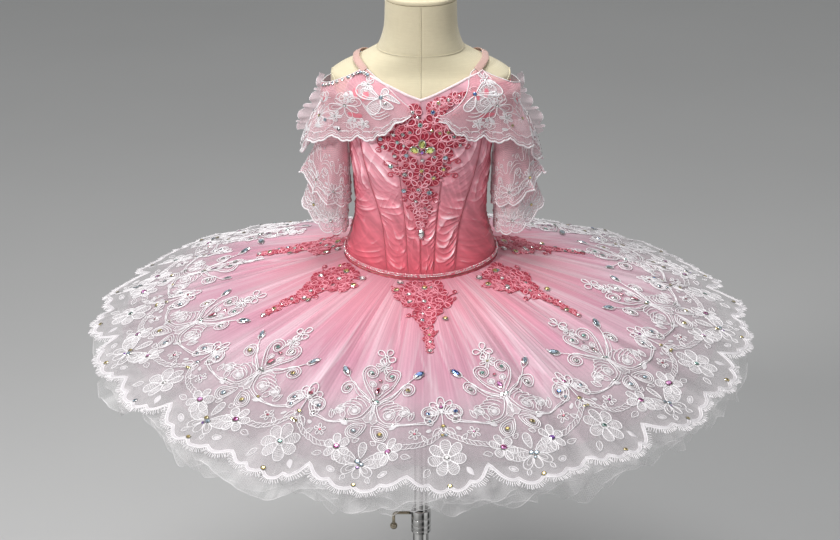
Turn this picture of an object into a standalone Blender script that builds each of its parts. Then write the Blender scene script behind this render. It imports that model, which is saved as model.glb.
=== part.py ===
"""A child's stretch-plate ballet tutu, worn by a limbless dress form on an adjustable stand.

Metres, +Z up. The origin is on the floor, under the middle of the stand. The front faces -Y.
Angles round the body are in degrees: 0 is the front, and 90 is the +X side.
"""

import math
from collections import namedtuple

import bpy
import numpy as np

# ---------------------------------------------------------------- driving sizes
CLOTH = 0.0012  # thickness of every cloth wall
SEAM_GAP = 0.0003  # between two pieces where they are sewn
LAID_GAP = 0.0006  # between a piece and the one it is sewn on top of
RELIEF = 0.0006  # how far the cords of an applique stand up
FORM_GAP = 0.0008  # between the dress form and the cloth on it

HEM_HEIGHT = 0.710  # seam between bodice and skirt, at the sides
HEM_DIP = 0.0085  # how far that seam drops at the centre front
NECK_HEIGHT = 0.934  # bottom of the V at the centre front
CORNER_ANGLE = 66.0  # where neckline and armhole meet, at the strap
CORNER_HEIGHT = 0.9610
UNDERARM_HEIGHT = 0.903
BACK_HEIGHT = 0.900  # top of the bodice at the centre back
BASQUE_DEPTH = 0.062  # hip band below the hem, which carries the net
BRAID_LIFT = 0.0022  # from the hem seam to the braid's lower edge
BRAID_HEIGHT = 0.0045
BRAID_THICKNESS = 0.0020

RIM_RADIUS = 0.4265  # outermost points of the lace
NOTCH_RADIUS = 0.392  # between two scallops
RIM_DROP = 0.1085  # from the hem to the rim
OVERLAY_RADIUS = 0.388  # edge of the soft tulle, under the lace
LACE_REPEATS = 12  # embroidery repeats, each with one wide and one narrow scallop
LACE_PHASE = -10.5  # degrees, centre of the repeat nearest the front
WIDE_SCALLOP = 16.5  # degrees
NARROW_SCALLOP = 13.5
LACE_TROUGH = 0.300  # radius of the lace's inner edge between two fleurs
LACE_FLEUR = 0.062  # how far a fleur reaches in from there
GATHERS = 30  # largest folds of the overlay
OVERLAY_COLUMNS = 120
FIRST_COLUMN = -2.5  # degrees, so that columns fall on the lace's notches

MAST_RADIUS = 0.0090
TUBE_RADIUS = 0.0110
TUBE_BORE = 0.0096
COLLAR_RADIUS = 0.0135
COLLAR_TOP = 0.3215
COLLAR_HEIGHT = 0.0355
BASE_RADIUS = 0.150
BASE_THICKNESS = 0.006
HUB_RADIUS = 0.021
HUB_TOP = 0.028
MAST_LOW = 0.090  # the mast's lower end, inside the tube

Section = namedtuple("Section", "height half_width front back")
FORM_SECTIONS = [
    Section(0.540, 0.0940, 0.0750, 0.0840),
    Section(0.610, 0.1010, 0.0800, 0.0910),
    Section(0.650, 0.1015, 0.0790, 0.0880),
    Section(0.685, 0.0995, 0.0770, 0.0820),
    Section(0.710, 0.0960, 0.0745, 0.0770),
    Section(0.730, 0.0905, 0.0710, 0.0720),
    Section(0.750, 0.0845, 0.0680, 0.0670),
    Section(0.770, 0.0810, 0.0665, 0.0640),
    Section(0.790, 0.0805, 0.0675, 0.0640),
    Section(0.815, 0.0828, 0.0700, 0.0660),
    Section(0.845, 0.0855, 0.0730, 0.0690),
    Section(0.875, 0.0880, 0.0750, 0.0715),
    Section(0.895, 0.0895, 0.0740, 0.0720),
    Section(0.910, 0.0945, 0.0715, 0.0710),
    Section(0.925, 0.1045, 0.0680, 0.0690),
    Section(0.940, 0.1120, 0.0620, 0.0645),
    Section(0.950, 0.1120, 0.0550, 0.0590),
    Section(0.958, 0.1030, 0.0490, 0.0545),
    Section(0.966, 0.0870, 0.0465, 0.0515),
    Section(0.975, 0.0680, 0.0455, 0.0495),
    Section(0.984, 0.0535, 0.0450, 0.0480),
    Section(1.015, 0.0450, 0.0430, 0.0445),
    Section(1.045, 0.0440, 0.0425, 0.0440),
]
SQUARENESS = 2.2  # exponent of the body's section; 2 is an ellipse

# Angle of each bodice seam at four heights, from the hem up to the armhole.
Seam = namedtuple("Seam", "hem waist bust top")
SEAM_HEIGHTS = (0.700, 0.774, 0.860, 0.955)
PANEL_LEVELS = (0.735, 0.765, 0.795, 0.825, 0.853, 0.880)  # heights that all panels share
PANEL_TOP_SHARES = (0.30, 0.56, 0.79, 1.0)  # from the last level up to the panel's own top edge
BODICE_SEAMS = {
    "centre_front": Seam(0.0, 0.0, 0.0, 0.0),
    "inner": Seam(11.5, 16.5, 22.0, 34.0),
    "outer": Seam(30.0, 41.0, 57.0, 66.0),
    "side": Seam(90.0, 90.0, 90.0, 90.0),
    "back": Seam(142.0, 138.0, 146.0, 150.0),
    "centre_back": Seam(180.0, 180.0, 180.0, 180.0),
}

COLOURS = {
    "satin": (0.86, 0.30, 0.38),
    "tulle": (0.90, 0.55, 0.62),
    "net": (0.86, 0.80, 0.84),
    "lace": (0.93, 0.88, 0.91),
    "applique": (0.78, 0.16, 0.25),
    "elastic": (0.80, 0.52, 0.47),
    "trim": (0.80, 0.74, 0.76),
    "form": (0.82, 0.77, 0.62),
    "steel": (0.62, 0.62, 0.63),
}


# ---------------------------------------------------------------- small helpers
def material(name):
    """The Principled material for one finish."""
    found = bpy.data.materials.get(name)
    if found:
        return found
    made = bpy.data.materials.new(name)
    made.use_nodes = True
    shader = made.node_tree.nodes["Principled BSDF"]
    shader.inputs["Base Color"].default_value = (*COLOURS[name], 1.0)
    shader.inputs["Roughness"].default_value = 0.25 if name == "steel" else 0.75
    shader.inputs["Metallic"].default_value = 1.0 if name == "steel" else 0.0
    return made


def add_object(name, points, faces, finish):
    """One named object from points and faces."""
    mesh = bpy.data.meshes.new(name)
    mesh.from_pydata([tuple(map(float, p)) for p in points], [], faces)
    mesh.materials.append(material(finish))
    mesh.shade_smooth()
    mesh.set_sharp_from_angle(angle=math.radians(40))
    made = bpy.data.objects.new(name, mesh)
    bpy.context.scene.collection.objects.link(made)
    return made


def wall(name, outer, inner, finish, round_ring=False):
    """A closed wall between two grids of points, both of shape (rows, columns, 3).

    The outer grid is seen with its columns running anticlockwise and its rows running up.
    """
    rows, columns = outer.shape[:2]
    points = np.concatenate([outer.reshape(-1, 3), inner.reshape(-1, 3)])
    size = rows * columns

    def at(side, row, column):
        return side * size + row * columns + column % columns

    faces = []
    spans = columns if round_ring else columns - 1
    for row in range(rows - 1):
        for c in range(spans):
            faces.append((at(0, row, c), at(0, row, c + 1), at(0, row + 1, c + 1), at(0, row + 1, c)))
            faces.append((at(1, row, c), at(1, row + 1, c), at(1, row + 1, c + 1), at(1, row, c + 1)))
    for c in range(spans):
        low, high = 0, rows - 1
        faces.append((at(0, low, c), at(1, low, c), at(1, low, c + 1), at(0, low, c + 1)))
        faces.append((at(0, high, c), at(0, high, c + 1), at(1, high, c + 1), at(1, high, c)))
    if not round_ring:
        last = columns - 1
        for row in range(rows - 1):
            faces.append((at(0, row, 0), at(0, row + 1, 0), at(1, row + 1, 0), at(1, row, 0)))
            faces.append((at(0, row, last), at(1, row, last), at(1, row + 1, last), at(0, row + 1, last)))
    return add_object(name, points, faces, finish)


def grid_normals(grid, round_ring=False):
    """Unit normals of a grid of points, to the side from which its columns run anticlockwise."""
    across = np.gradient(grid, axis=1)
    if round_ring:
        across = (np.roll(grid, -1, axis=1) - np.roll(grid, 1, axis=1)) / 2
    along = np.gradient(grid, axis=0)
    normals = np.cross(across, along)
    return normals / np.linalg.norm(normals, axis=2, keepdims=True)


def smooth_between(stations, values, at):
    """Monotone cubic curve through (stations, values), read at one place."""
    x = np.asarray(stations, float)
    y = np.asarray(values, float)
    slopes = np.diff(y) / np.diff(x)
    tangents = np.empty_like(y)
    tangents[0], tangents[-1] = slopes[0], slopes[-1]
    for i in range(1, len(y) - 1):
        before, after = slopes[i - 1], slopes[i]
        tangents[i] = 0.0 if before * after <= 0 else 2 * before * after / (before + after)
    i = int(np.clip(np.searchsorted(x, at) - 1, 0, len(x) - 2))
    h = x[i + 1] - x[i]
    s = float(np.clip((at - x[i]) / h, 0.0, 1.0))
    return (
        (2 * s**3 - 3 * s**2 + 1) * y[i]
        + (s**3 - 2 * s**2 + s) * h * tangents[i]
        + (3 * s**2 - 2 * s**3) * y[i + 1]
        + (s**3 - s**2) * h * tangents[i + 1]
    )


def turned(name, profile, finish, sides=24):
    """A closed solid turned about Z from a closed outline of (radius, height), run anticlockwise."""
    count = len(profile)
    points = []
    for side in range(sides):
        angle = 2 * math.pi * side / sides
        points += [(r * math.cos(angle), r * math.sin(angle), z) for r, z in profile]
    faces = []
    for side in range(sides):
        here, there = side * count, (side + 1) % sides * count
        for i in range(count):
            j = (i + 1) % count
            faces.append((here + i, there + i, there + j, here + j))
    return add_object(name, points, faces, finish)


def capped_stack(name, rings, finish):
    """A solid through rings of points from the bottom up, each run anticlockwise, with flat ends."""
    columns = len(rings[0])
    points = np.concatenate(rings)
    faces = []
    for row in range(len(rings) - 1):
        for c in range(columns):
            d = (c + 1) % columns
            low, high = row * columns, (row + 1) * columns
            faces.append((low + c, low + d, high + d, high + c))
    faces.append(tuple(reversed(range(columns))))
    faces.append(tuple(range((len(rings) - 1) * columns, len(rings) * columns)))
    return add_object(name, points, faces, finish)


def circle(radius, height, sides):
    """Points of a level circle about Z, anticlockwise."""
    turns = [2 * math.pi * i / sides for i in range(sides)]
    return np.array([(radius * math.cos(t), radius * math.sin(t), height) for t in turns])


# ---------------------------------------------------------------- the body's shape
def body_radius(angle, height):
    """Distance from the axis to the dress form's skin, at an angle and a height."""
    heights = [s.height for s in FORM_SECTIONS]
    width = smooth_between(heights, [s.half_width for s in FORM_SECTIONS], height)
    side = math.cos(math.radians(angle))
    depths = [s.front if side >= 0 else s.back for s in FORM_SECTIONS]
    depth = smooth_between(heights, depths, height)
    across = abs(math.sin(math.radians(angle))) / width
    along = abs(side) / depth
    return (across**SQUARENESS + along**SQUARENESS) ** (-1 / SQUARENESS)


def on_skin(angle, height):
    """A point on the dress form's skin."""
    radius = body_radius(angle, height)
    turn = math.radians(angle)
    return np.array([radius * math.sin(turn), -radius * math.cos(turn), height])


def off_body(angle, height, out):
    """A point that stands off the dress form's skin by out, along the skin's normal."""
    d_angle, d_height = 0.5, 0.0008
    across = on_skin(angle + d_angle, height) - on_skin(angle - d_angle, height)
    up = on_skin(angle, height + d_height) - on_skin(angle, height - d_height)
    normal = np.cross(across, up)
    return on_skin(angle, height) + out * normal / np.linalg.norm(normal)


def bodice_out(height):
    """Stand-off of the bodice's inner side, which leaves the form a little at the waist and chest."""
    at_waist = 0.0008 * math.exp(-(((height - 0.790) / 0.035) ** 2))
    at_chest = 0.0020 * min(1.0, max(0.0, (height - 0.885) / 0.045)) ** 1.5
    return FORM_GAP + at_waist + at_chest


def bodice_face(angle, height, lift=0.0):
    """A point on the bodice's outer side, or moved out from it by lift."""
    return off_body(angle, height, bodice_out(height) + CLOTH + lift)


def hem_height(angle):
    """Height of the seam between bodice and skirt, which dips at the centre front."""
    return HEM_HEIGHT - HEM_DIP * max(0.0, math.cos(math.radians(angle))) ** 2


def top_height(angle):
    """Height of the bodice's top edge: a V in front, a corner at the strap, then the armhole."""
    angle = abs(angle)
    if angle <= CORNER_ANGLE:
        share = angle / CORNER_ANGLE
        return NECK_HEIGHT + (CORNER_HEIGHT - NECK_HEIGHT) * share**1.1
    return armhole_height(angle)


def armhole_height(angle):
    """Height of the bodice's top edge at the armhole and across the back."""
    return smooth_between(
        (CORNER_ANGLE, 76, 90, 110, 140, 152, 180),
        (0.930, 0.912, UNDERARM_HEIGHT, 0.904, 0.912, 0.915, BACK_HEIGHT),
        abs(angle),
    )


# ---------------------------------------------------------------- dress form and stand
def build_form():
    """The dress form's padded torso and the cap on its neck."""
    columns = 24
    angles = [360 * c / columns for c in range(columns)]
    rings = [np.array([on_skin(a, s.height) for a in angles]) for s in FORM_SECTIONS]
    capped_stack("form_torso", rings, "form")
    top = FORM_SECTIONS[-1]
    cap_low = top.height + SEAM_GAP
    cap_high = cap_low + 0.006
    shape = [(0.97, cap_low), (1.0, cap_low + 0.0015), (1.0, cap_high - 0.002), (0.93, cap_high)]
    cap = [
        np.array([on_skin(a, top.height) * (scale, scale, 0) + (0, 0, z) for a in angles])
        for scale, z in shape
    ]
    capped_stack("neck_cap", cap, "form")


def build_stand():
    """Round base, fixed tube, clamp collar, its lever and the sliding mast."""
    plate = (
        (BASE_RADIUS, 0.0),
        (BASE_RADIUS, BASE_THICKNESS - 0.003),
        (BASE_RADIUS - 0.001, BASE_THICKNESS - 0.0015),
        (BASE_RADIUS - 0.006, BASE_THICKNESS),
    )
    capped_stack("stand_base", [circle(radius, z, 32) for radius, z in plate], "steel")
    hub_low = BASE_THICKNESS + SEAM_GAP
    turned(
        "stand_hub",
        [
            (TUBE_RADIUS + SEAM_GAP, hub_low),
            (HUB_RADIUS, hub_low),
            (HUB_RADIUS, HUB_TOP - 0.002),
            (HUB_RADIUS - 0.002, HUB_TOP),
            (TUBE_RADIUS + SEAM_GAP, HUB_TOP),
        ],
        "steel",
    )
    collar_low = COLLAR_TOP - COLLAR_HEIGHT
    lip = 0.006
    tube_top = COLLAR_TOP - lip - SEAM_GAP
    tube_low = BASE_THICKNESS + SEAM_GAP
    turned(
        "stand_tube",
        [(TUBE_BORE, tube_low), (TUBE_RADIUS, tube_low), (TUBE_RADIUS, tube_top), (TUBE_BORE, tube_top)],
        "steel",
        sides=20,
    )
    over_tube = TUBE_RADIUS + SEAM_GAP
    turned(
        "clamp_collar",
        [
            (over_tube, collar_low),
            (COLLAR_RADIUS - 0.001, collar_low),
            (COLLAR_RADIUS, collar_low + 0.001),
            (COLLAR_RADIUS, COLLAR_TOP - 0.001),
            (COLLAR_RADIUS - 0.001, COLLAR_TOP),
            (TUBE_BORE, COLLAR_TOP),
            (TUBE_BORE, COLLAR_TOP - lip),
            (over_tube, COLLAR_TOP - lip),
        ],
        "steel",
        sides=20,
    )
    build_lever()
    mast_top = FORM_SECTIONS[0].height - SEAM_GAP
    capped_stack("mast", [circle(MAST_RADIUS, z, 16) for z in (MAST_LOW, mast_top)], "steel")


def build_lever():
    """The clamp's bent rod, which leaves the collar sideways and hangs down to a ball."""
    rod, ball = 0.0021, 0.0052
    height = COLLAR_TOP - 0.0075
    start = -(COLLAR_RADIUS + SEAM_GAP)
    bend, reach, drop = 0.005, 0.0375, 0.0205
    path = [(start, height), (-reach + bend, height)]
    path += [
        (-reach + bend - bend * math.sin(a), height - bend + bend * math.cos(a))
        for a in (math.radians(30), math.radians(60), math.radians(90))
    ]
    ball_centre = height - drop
    path.append((-reach, ball_centre + ball * 0.86))
    radii = [rod] * len(path)
    for lift, share in ((0.5, 0.87), (0.0, 1.0), (-0.5, 0.87), (-0.86, 0.5)):
        path.append((-reach, ball_centre + ball * lift))
        radii.append(ball * share)
    sides = 10
    rings = []
    for i, ((x, z), radius) in enumerate(zip(path, radii)):
        before, after = path[max(i - 1, 0)], path[min(i + 1, len(path) - 1)]
        run = np.array([after[0] - before[0], 0.0, after[1] - before[1]])
        run /= np.linalg.norm(run)
        across = np.array([0.0, 1.0, 0.0])
        lift = np.cross(run, across)
        turns = [2 * math.pi * k / sides for k in range(sides)]
        centre = np.array([x, 0.0, z])
        rings.append(
            np.array([centre + radius * (math.cos(t) * across + math.sin(t) * lift) for t in turns])
        )
    capped_stack("clamp_lever", rings, "steel")


# ---------------------------------------------------------------- bodice
def seam_angle(seam, height):
    """Angle of a bodice seam at a height."""
    return smooth_between(SEAM_HEIGHTS, BODICE_SEAMS[seam], min(max(height, 0.700), 0.955))


def panel_column(left, right, share, side, edge):
    """The angles and heights of one upright line of a panel, from hem to top."""

    def angle_at(height, inset):
        low = seam_angle(left, height) + inset
        high = seam_angle(right, height) - inset
        return low + (high - low) * share

    half_gap = math.degrees(SEAM_GAP / 2 / 0.085)
    top = NECK_HEIGHT
    for _ in range(12):
        top = edge(angle_at(top, half_gap))
    low = hem_height(angle_at(HEM_HEIGHT, half_gap)) + SEAM_GAP
    last = PANEL_LEVELS[-1]
    heights = [low, *PANEL_LEVELS] + [last + (top - last) * share for share in PANEL_TOP_SHARES]
    return [(side * angle_at(height, half_gap), height) for height in heights]


def build_bodice():
    """Ten satin panels, five on each side, and the placket that closes the back."""
    panels = (
        ("front_centre", "centre_front", "inner", 2, top_height),
        ("front", "inner", "outer", 3, top_height),
        ("side_front", "outer", "side", 4, armhole_height),
        ("side_back", "side", "back", 5, armhole_height),
        ("back", "back", "centre_back", 4, armhole_height),
    )
    for side, hand in ((-1, "right"), (1, "left")):
        for name, start, end, spans, edge in panels:
            shares = [k / spans for k in range(spans + 1)]
            if side < 0:
                shares.reverse()
            lines = [panel_column(start, end, share, side, edge) for share in shares]
            grids = []
            for lift in (0.0, -CLOTH):
                grid = np.array([[bodice_face(a, z, lift) for a, z in line] for line in lines])
                grids.append(grid.transpose(1, 0, 2))
            wall(f"bodice_{name}_{hand}", grids[0], grids[1], "satin")
    build_placket()


def build_placket():
    """A flat strip that covers the hooks along the centre back."""
    rows, half_angle = 8, 5.0
    low, high = hem_height(180) + BRAID_LIFT + BRAID_HEIGHT + SEAM_GAP, BACK_HEIGHT - 0.001
    angles = (180 - half_angle, 180, 180 + half_angle)
    heights = [low + (high - low) * row / rows for row in range(rows + 1)]
    outer, inner = (
        np.array([[bodice_face(a, z, LAID_GAP + d) for a in angles] for z in heights])
        for d in (CLOTH, 0.0)
    )
    wall("back_placket", outer, inner, "satin")


APPLIQUE_GAP = 0.0009  # the medallion bridges the bodice's seams
BODICE_APPLIQUE = [
    # height, half width
    (0.9290, 0.020),
    (0.9160, 0.034),
    (0.9000, 0.046),
    (0.8850, 0.050),
    (0.8680, 0.046),
    (0.8520, 0.037),
    (0.8380, 0.040),
    (0.8220, 0.027),
    (0.8050, 0.020),
    (0.7820, 0.013),
    (0.7560, 0.004),
]


def build_bodice_applique():
    """The corded medallion on the centre front, with a raised face over a plain back."""
    spans = 10
    outer, inner = [], []
    for row, (height, half_width) in enumerate(reversed(BODICE_APPLIQUE)):
        half_angle = math.degrees(math.asin(half_width / body_radius(0, height)))
        outer_row, inner_row = [], []
        for k in range(spans + 1):
            angle = half_angle * (2 * k / spans - 1)
            relief = RELIEF * ((row + k) % 2)
            outer_row.append(bodice_face(angle, height, APPLIQUE_GAP + CLOTH + relief))
            inner_row.append(bodice_face(angle, height, APPLIQUE_GAP))
        outer.append(outer_row)
        inner.append(inner_row)
    wall("bodice_applique", np.array(outer), np.array(inner), "applique")


# ---------------------------------------------------------------- skirt
def root_radius(angle, below_hem=0.0):
    """Where the skirt's cloth starts, just outside the hip band, at a depth below the hem."""
    return body_radius(angle, hem_height(angle) - below_hem - 0.004) + FORM_GAP + CLOTH + LAID_GAP


def bell_height(angle, radius, below_hem=0.0):
    """The skirt's bell without its gathers: it dips most at the back, then the front."""
    root = root_radius(angle)
    share = max(0.0, (radius - root) / (RIM_RADIUS - root))
    turn = math.radians(angle)
    drop = RIM_DROP - HEM_HEIGHT + hem_height(angle)
    sag = share**1.5 * (0.0056 * math.cos(turn) - 0.0114 * math.cos(2 * turn))
    swell = 0.004 * share**2 * (0.6 * math.sin(5 * turn + 0.4) + 0.4 * math.sin(8 * turn + 1.9))
    return hem_height(angle) - below_hem - drop * (0.80 * share + 0.20 * share**2) + sag + swell


def skirt_share(angle, radius):
    """How far a radius lies from the hem (0) to the rim (1)."""
    root = root_radius(angle)
    return (radius - root) / (RIM_RADIUS - root)


def skirt_height(angle, radius):
    """Height of the overlay's upper side: the bell with its radiating gathers."""
    share = max(0.0, skirt_share(angle, radius))
    turn = math.radians(angle)
    uneven = 1 + 0.35 * math.sin(3 * turn + 0.8) + 0.25 * math.sin(7 * turn + 2.1)
    depth = 0.0005 + 0.0033 * min(1.0, share / 0.35) ** 0.7
    gather = depth * uneven * math.cos(GATHERS * (turn - math.radians(FIRST_COLUMN)))
    return bell_height(angle, radius, 0.0015) + gather


def skirt_point(angle, radius, lift=0.0):
    """A point on the overlay, or above it by lift."""
    turn = math.radians(angle)
    height = skirt_height(angle, radius) + lift
    return np.array([radius * math.sin(turn), -radius * math.cos(turn), height])


def skirt_columns():
    """The angles of the overlay's upright lines, which every piece laid on it shares."""
    return [FIRST_COLUMN + 360 * c / OVERLAY_COLUMNS for c in range(OVERLAY_COLUMNS)]


def build_overlay():
    """The soft tulle that covers the net, gathered into the hem seam."""
    shares = (1.0, 0.68, 0.40, 0.18, 0.05, 0.0)
    upper, lower = [], []
    for share in shares:
        radii = [root_radius(a) + (OVERLAY_RADIUS - root_radius(a)) * share for a in skirt_columns()]
        upper.append([skirt_point(a, r) for a, r in zip(skirt_columns(), radii)])
        lower.append([skirt_point(a, r, -CLOTH) for a, r in zip(skirt_columns(), radii)])
    wall("skirt_overlay", np.array(upper), np.array(lower), "tulle", round_ring=True)


def scallop_edge(angle):
    """Radius of the lace's edge: wide and narrow scallops by turns."""
    repeat = 360 / LACE_REPEATS
    place = (angle - LACE_PHASE + WIDE_SCALLOP / 2) % repeat
    if place < WIDE_SCALLOP:
        off_centre = place / WIDE_SCALLOP * 2 - 1
    else:
        off_centre = (place - WIDE_SCALLOP) / NARROW_SCALLOP * 2 - 1
    return NOTCH_RADIUS + (RIM_RADIUS - NOTCH_RADIUS) * math.sqrt(max(0.0, 1 - off_centre**2))


def lace_top(angle):
    """Radius of the lace's inner edge, which follows the tops of the embroidery."""
    repeat = 360 / LACE_REPEATS
    place = ((angle - LACE_PHASE + repeat / 2) % repeat) / repeat * 2 - 1
    return LACE_TROUGH - LACE_FLEUR * math.cos(math.pi * place / 2) ** 2


def build_lace_border():
    """The wide embroidered border, sewn on the overlay and scalloped at its edge."""
    gap = LAID_GAP + 0.0004
    upper, lower = [], []
    for angle in skirt_columns():
        top, edge = lace_top(angle), scallop_edge(angle)
        radii = (edge, OVERLAY_RADIUS, (top + OVERLAY_RADIUS) / 2, top)
        upper.append([skirt_point(angle, radius, gap + CLOTH) for radius in radii])
        lower.append([skirt_point(angle, radius, gap) for radius in radii])
    upper, lower = (np.array(grid).transpose(1, 0, 2) for grid in (upper, lower))
    wall("lace_border", upper, lower, "lace", round_ring=True)


Tier = namedtuple("Tier", "name radius ruffles columns below_root below_rim")
NET_TIERS = [
    Tier("net_tier_1", 0.428, 20, 80, 0.0060, 0.0170),
    Tier("net_tier_2", 0.415, 16, 64, 0.0160, 0.0320),
    Tier("net_tier_3", 0.345, 12, 48, 0.0270, 0.0470),
]


def tier_point(tier, angle, share):
    """A point on a net tier's upper side, at a share of the way from its seam to its cut edge."""
    turn = math.radians(angle)
    root = root_radius(angle, tier.below_root)
    cut = tier.radius + 0.005 * math.sin(11 * turn + tier.ruffles)
    radius = root + (cut - root) * share
    below = tier.below_root + (tier.below_rim - tier.below_root) * share
    ruffle = (0.0004 + 0.0040 * share) * math.cos(tier.ruffles * turn)
    height = bell_height(angle, radius, below) + ruffle
    return np.array([radius * math.sin(turn), -radius * math.cos(turn), height])


def build_net_tiers():
    """Stiff net under the overlay, each tier ruffled and sewn lower on the hip band."""
    for tier in NET_TIERS:
        angles = [360 * c / tier.columns for c in range(tier.columns)]
        upper = np.array([[tier_point(tier, a, share) for a in angles] for share in (1.0, 0.5, 0.0)])
        wall(tier.name, upper, upper - (0, 0, CLOTH), "net", round_ring=True)


def build_basque():
    """The satin hip band below the hem, to which the net is sewn."""
    columns = 24
    angles = [360 * c / columns for c in range(columns)]
    rows = (1.0, 0.5, 0.0)
    grids = []
    for out in (FORM_GAP + CLOTH, FORM_GAP):
        grid = []
        for share in rows:
            line = []
            for a in angles:
                low = hem_height(a) - share * BASQUE_DEPTH
                line.append(off_body(a, low - SEAM_GAP * (1 - share), out))
            grid.append(line)
        grids.append(np.array(grid))
    wall("basque", grids[0], grids[1], "satin", round_ring=True)


def build_waist_braid():
    """The beaded braid over the hem seam."""
    columns = 36
    angles = [360 * c / columns for c in range(columns)]
    outer, inner = [], []
    for lift in (BRAID_LIFT, BRAID_LIFT + BRAID_HEIGHT):
        low = FORM_GAP + CLOTH + LAID_GAP
        outer.append([off_body(a, hem_height(a) + lift, low + BRAID_THICKNESS) for a in angles])
        inner.append([off_body(a, hem_height(a) + lift, low) for a in angles])
    wall("waist_braid", np.array(outer), np.array(inner), "trim", round_ring=True)


SkirtApplique = namedtuple("SkirtApplique", "name angle length reach")
SKIRT_APPLIQUES = [
    # name, angle of its middle, radius of its tip, columns to each side
    SkirtApplique("applique_front", 1, 0.210, 7),
    SkirtApplique("applique_front_left", 59, 0.232, 5),
    SkirtApplique("applique_side_left", 107, 0.228, 5),
    SkirtApplique("applique_back_left", 155, 0.226, 5),
    SkirtApplique("applique_front_right", -59, 0.232, 5),
    SkirtApplique("applique_side_right", -107, 0.228, 5),
    SkirtApplique("applique_back_right", -155, 0.226, 5),
]


def build_skirt_appliques():
    """Seven pointed corded motifs that fan out from the hem, raised over a plain back."""
    step = 360 / OVERLAY_COLUMNS
    rows = 4
    for motif in SKIRT_APPLIQUES:
        middle = round((motif.angle - FIRST_COLUMN) / step) * step + FIRST_COLUMN
        upper, lower = [], []
        for row in range(rows, -1, -1):
            share = row / rows
            top_row, low_row = [], []
            for k in range(-motif.reach, motif.reach + 1):
                angle = middle + k * step
                off_middle = abs(k) / (motif.reach + 0.5)
                start = root_radius(angle) + 0.008 + 0.012 * off_middle**2
                tip = start + (motif.length - start) * (1 - off_middle) ** 1.35 + 0.007
                radius = start + (tip - start) * share
                relief = RELIEF * ((row + k) % 2)
                top_row.append(skirt_point(angle, radius, LAID_GAP + CLOTH + relief))
                low_row.append(skirt_point(angle, radius, LAID_GAP))
            upper.append(top_row)
            lower.append(low_row)
        wall(motif.name, np.array(upper), np.array(lower), "applique")


# ---------------------------------------------------------------- sleeves and straps
# Each row is one section of the lace bertha, from the centre front round the arm to the back.
# Angle, height and stand-off from the dress form, at its top edge and at its scalloped edge.
Drape = namedtuple("Drape", "top_angle top_height top_out low_angle low_height low_out")
BERTHA = [
    Drape(19, 0.9365, 0.0084, 17, 0.9270, 0.0088),
    Drape(34, 0.9430, 0.0080, 24, 0.9060, 0.0092),
    Drape(49, 0.9500, 0.0078, 38, 0.8880, 0.0098),
    Drape(62, 0.9560, 0.0078, 54, 0.8830, 0.0150),
    Drape(72, 0.9500, 0.0090, 68, 0.8790, 0.0370),
    Drape(83, 0.9420, 0.0105, 80, 0.8640, 0.0570),
    Drape(96, 0.9360, 0.0120, 95, 0.8380, 0.0690),
    Drape(112, 0.9360, 0.0120, 112, 0.8440, 0.0620),
    Drape(128, 0.9380, 0.0100, 128, 0.8700, 0.0400),
    Drape(142, 0.9330, 0.0085, 142, 0.8840, 0.0180),
    Drape(152, 0.9240, 0.0080, 153, 0.8950, 0.0090),
]
# Each row is a point of the sleeve tube's top ring and hem ring, turning from the front outwards.
Cuff = namedtuple("Cuff", "turn top_x top_y top_height hem_x hem_y hem_height")
SLEEVE_TUBE = [
    Cuff(0, 0.1000, -0.0360, 0.9040, 0.1160, -0.0340, 0.7470),
    Cuff(45, 0.1110, -0.0260, 0.9120, 0.1380, -0.0250, 0.7620),
    Cuff(90, 0.1160, 0.0000, 0.9150, 0.1490, 0.0000, 0.7820),
    Cuff(135, 0.1110, 0.0260, 0.9120, 0.1380, 0.0250, 0.7660),
    Cuff(180, 0.1000, 0.0360, 0.9040, 0.1160, 0.0340, 0.7540),
    Cuff(225, 0.0928, 0.0260, 0.8940, 0.0990, 0.0250, 0.7480),
    Cuff(270, 0.0917, 0.0000, 0.8890, 0.0940, 0.0000, 0.7450),
    Cuff(315, 0.0928, -0.0260, 0.8940, 0.0990, -0.0250, 0.7450),
]
FLARE = {"right": 1.0, "left": 1.10}  # the left sleeve has fallen wider
FALL = {"right": 0.0, "left": 0.010}  # and its bertha lower


def bertha_grid(hand, columns, rows):
    """Points on the bertha's outer side: rows from the scalloped edge up, columns front to back."""
    stations = np.linspace(0, 1, len(BERTHA))
    grid = np.empty((rows + 1, columns + 1, 3))
    for c in range(columns + 1):
        u = c / columns
        d = Drape(*(smooth_between(stations, column, u) for column in zip(*BERTHA)))
        free = math.sin(math.pi * min(1.0, max(0.0, (u - 0.30) / 0.60)))
        low_height = d.low_height - FALL[hand] * free
        for r in range(rows + 1):
            down = 1 - r / rows
            angle = d.top_angle + (d.low_angle - d.top_angle) * down
            height = d.top_height + (low_height - d.top_height) * down
            out = d.top_out + (d.low_out - d.top_out) * down
            out += free * (0.009 * math.sin(math.pi * down) + 0.0030 * down * math.sin(2 * math.pi * 7 * u))
            point = off_body(angle, height, out)
            grid[r, c] = (point[0], point[1], height - 0.0022 * (c % 2) * down**6)
    return grid


def freedom(turn):
    """How free the sleeve hangs at a turn: 0 against the body, 1 on the outside of the arm."""
    return 0.5 + 0.5 * math.cos(math.radians(turn - 90))


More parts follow.
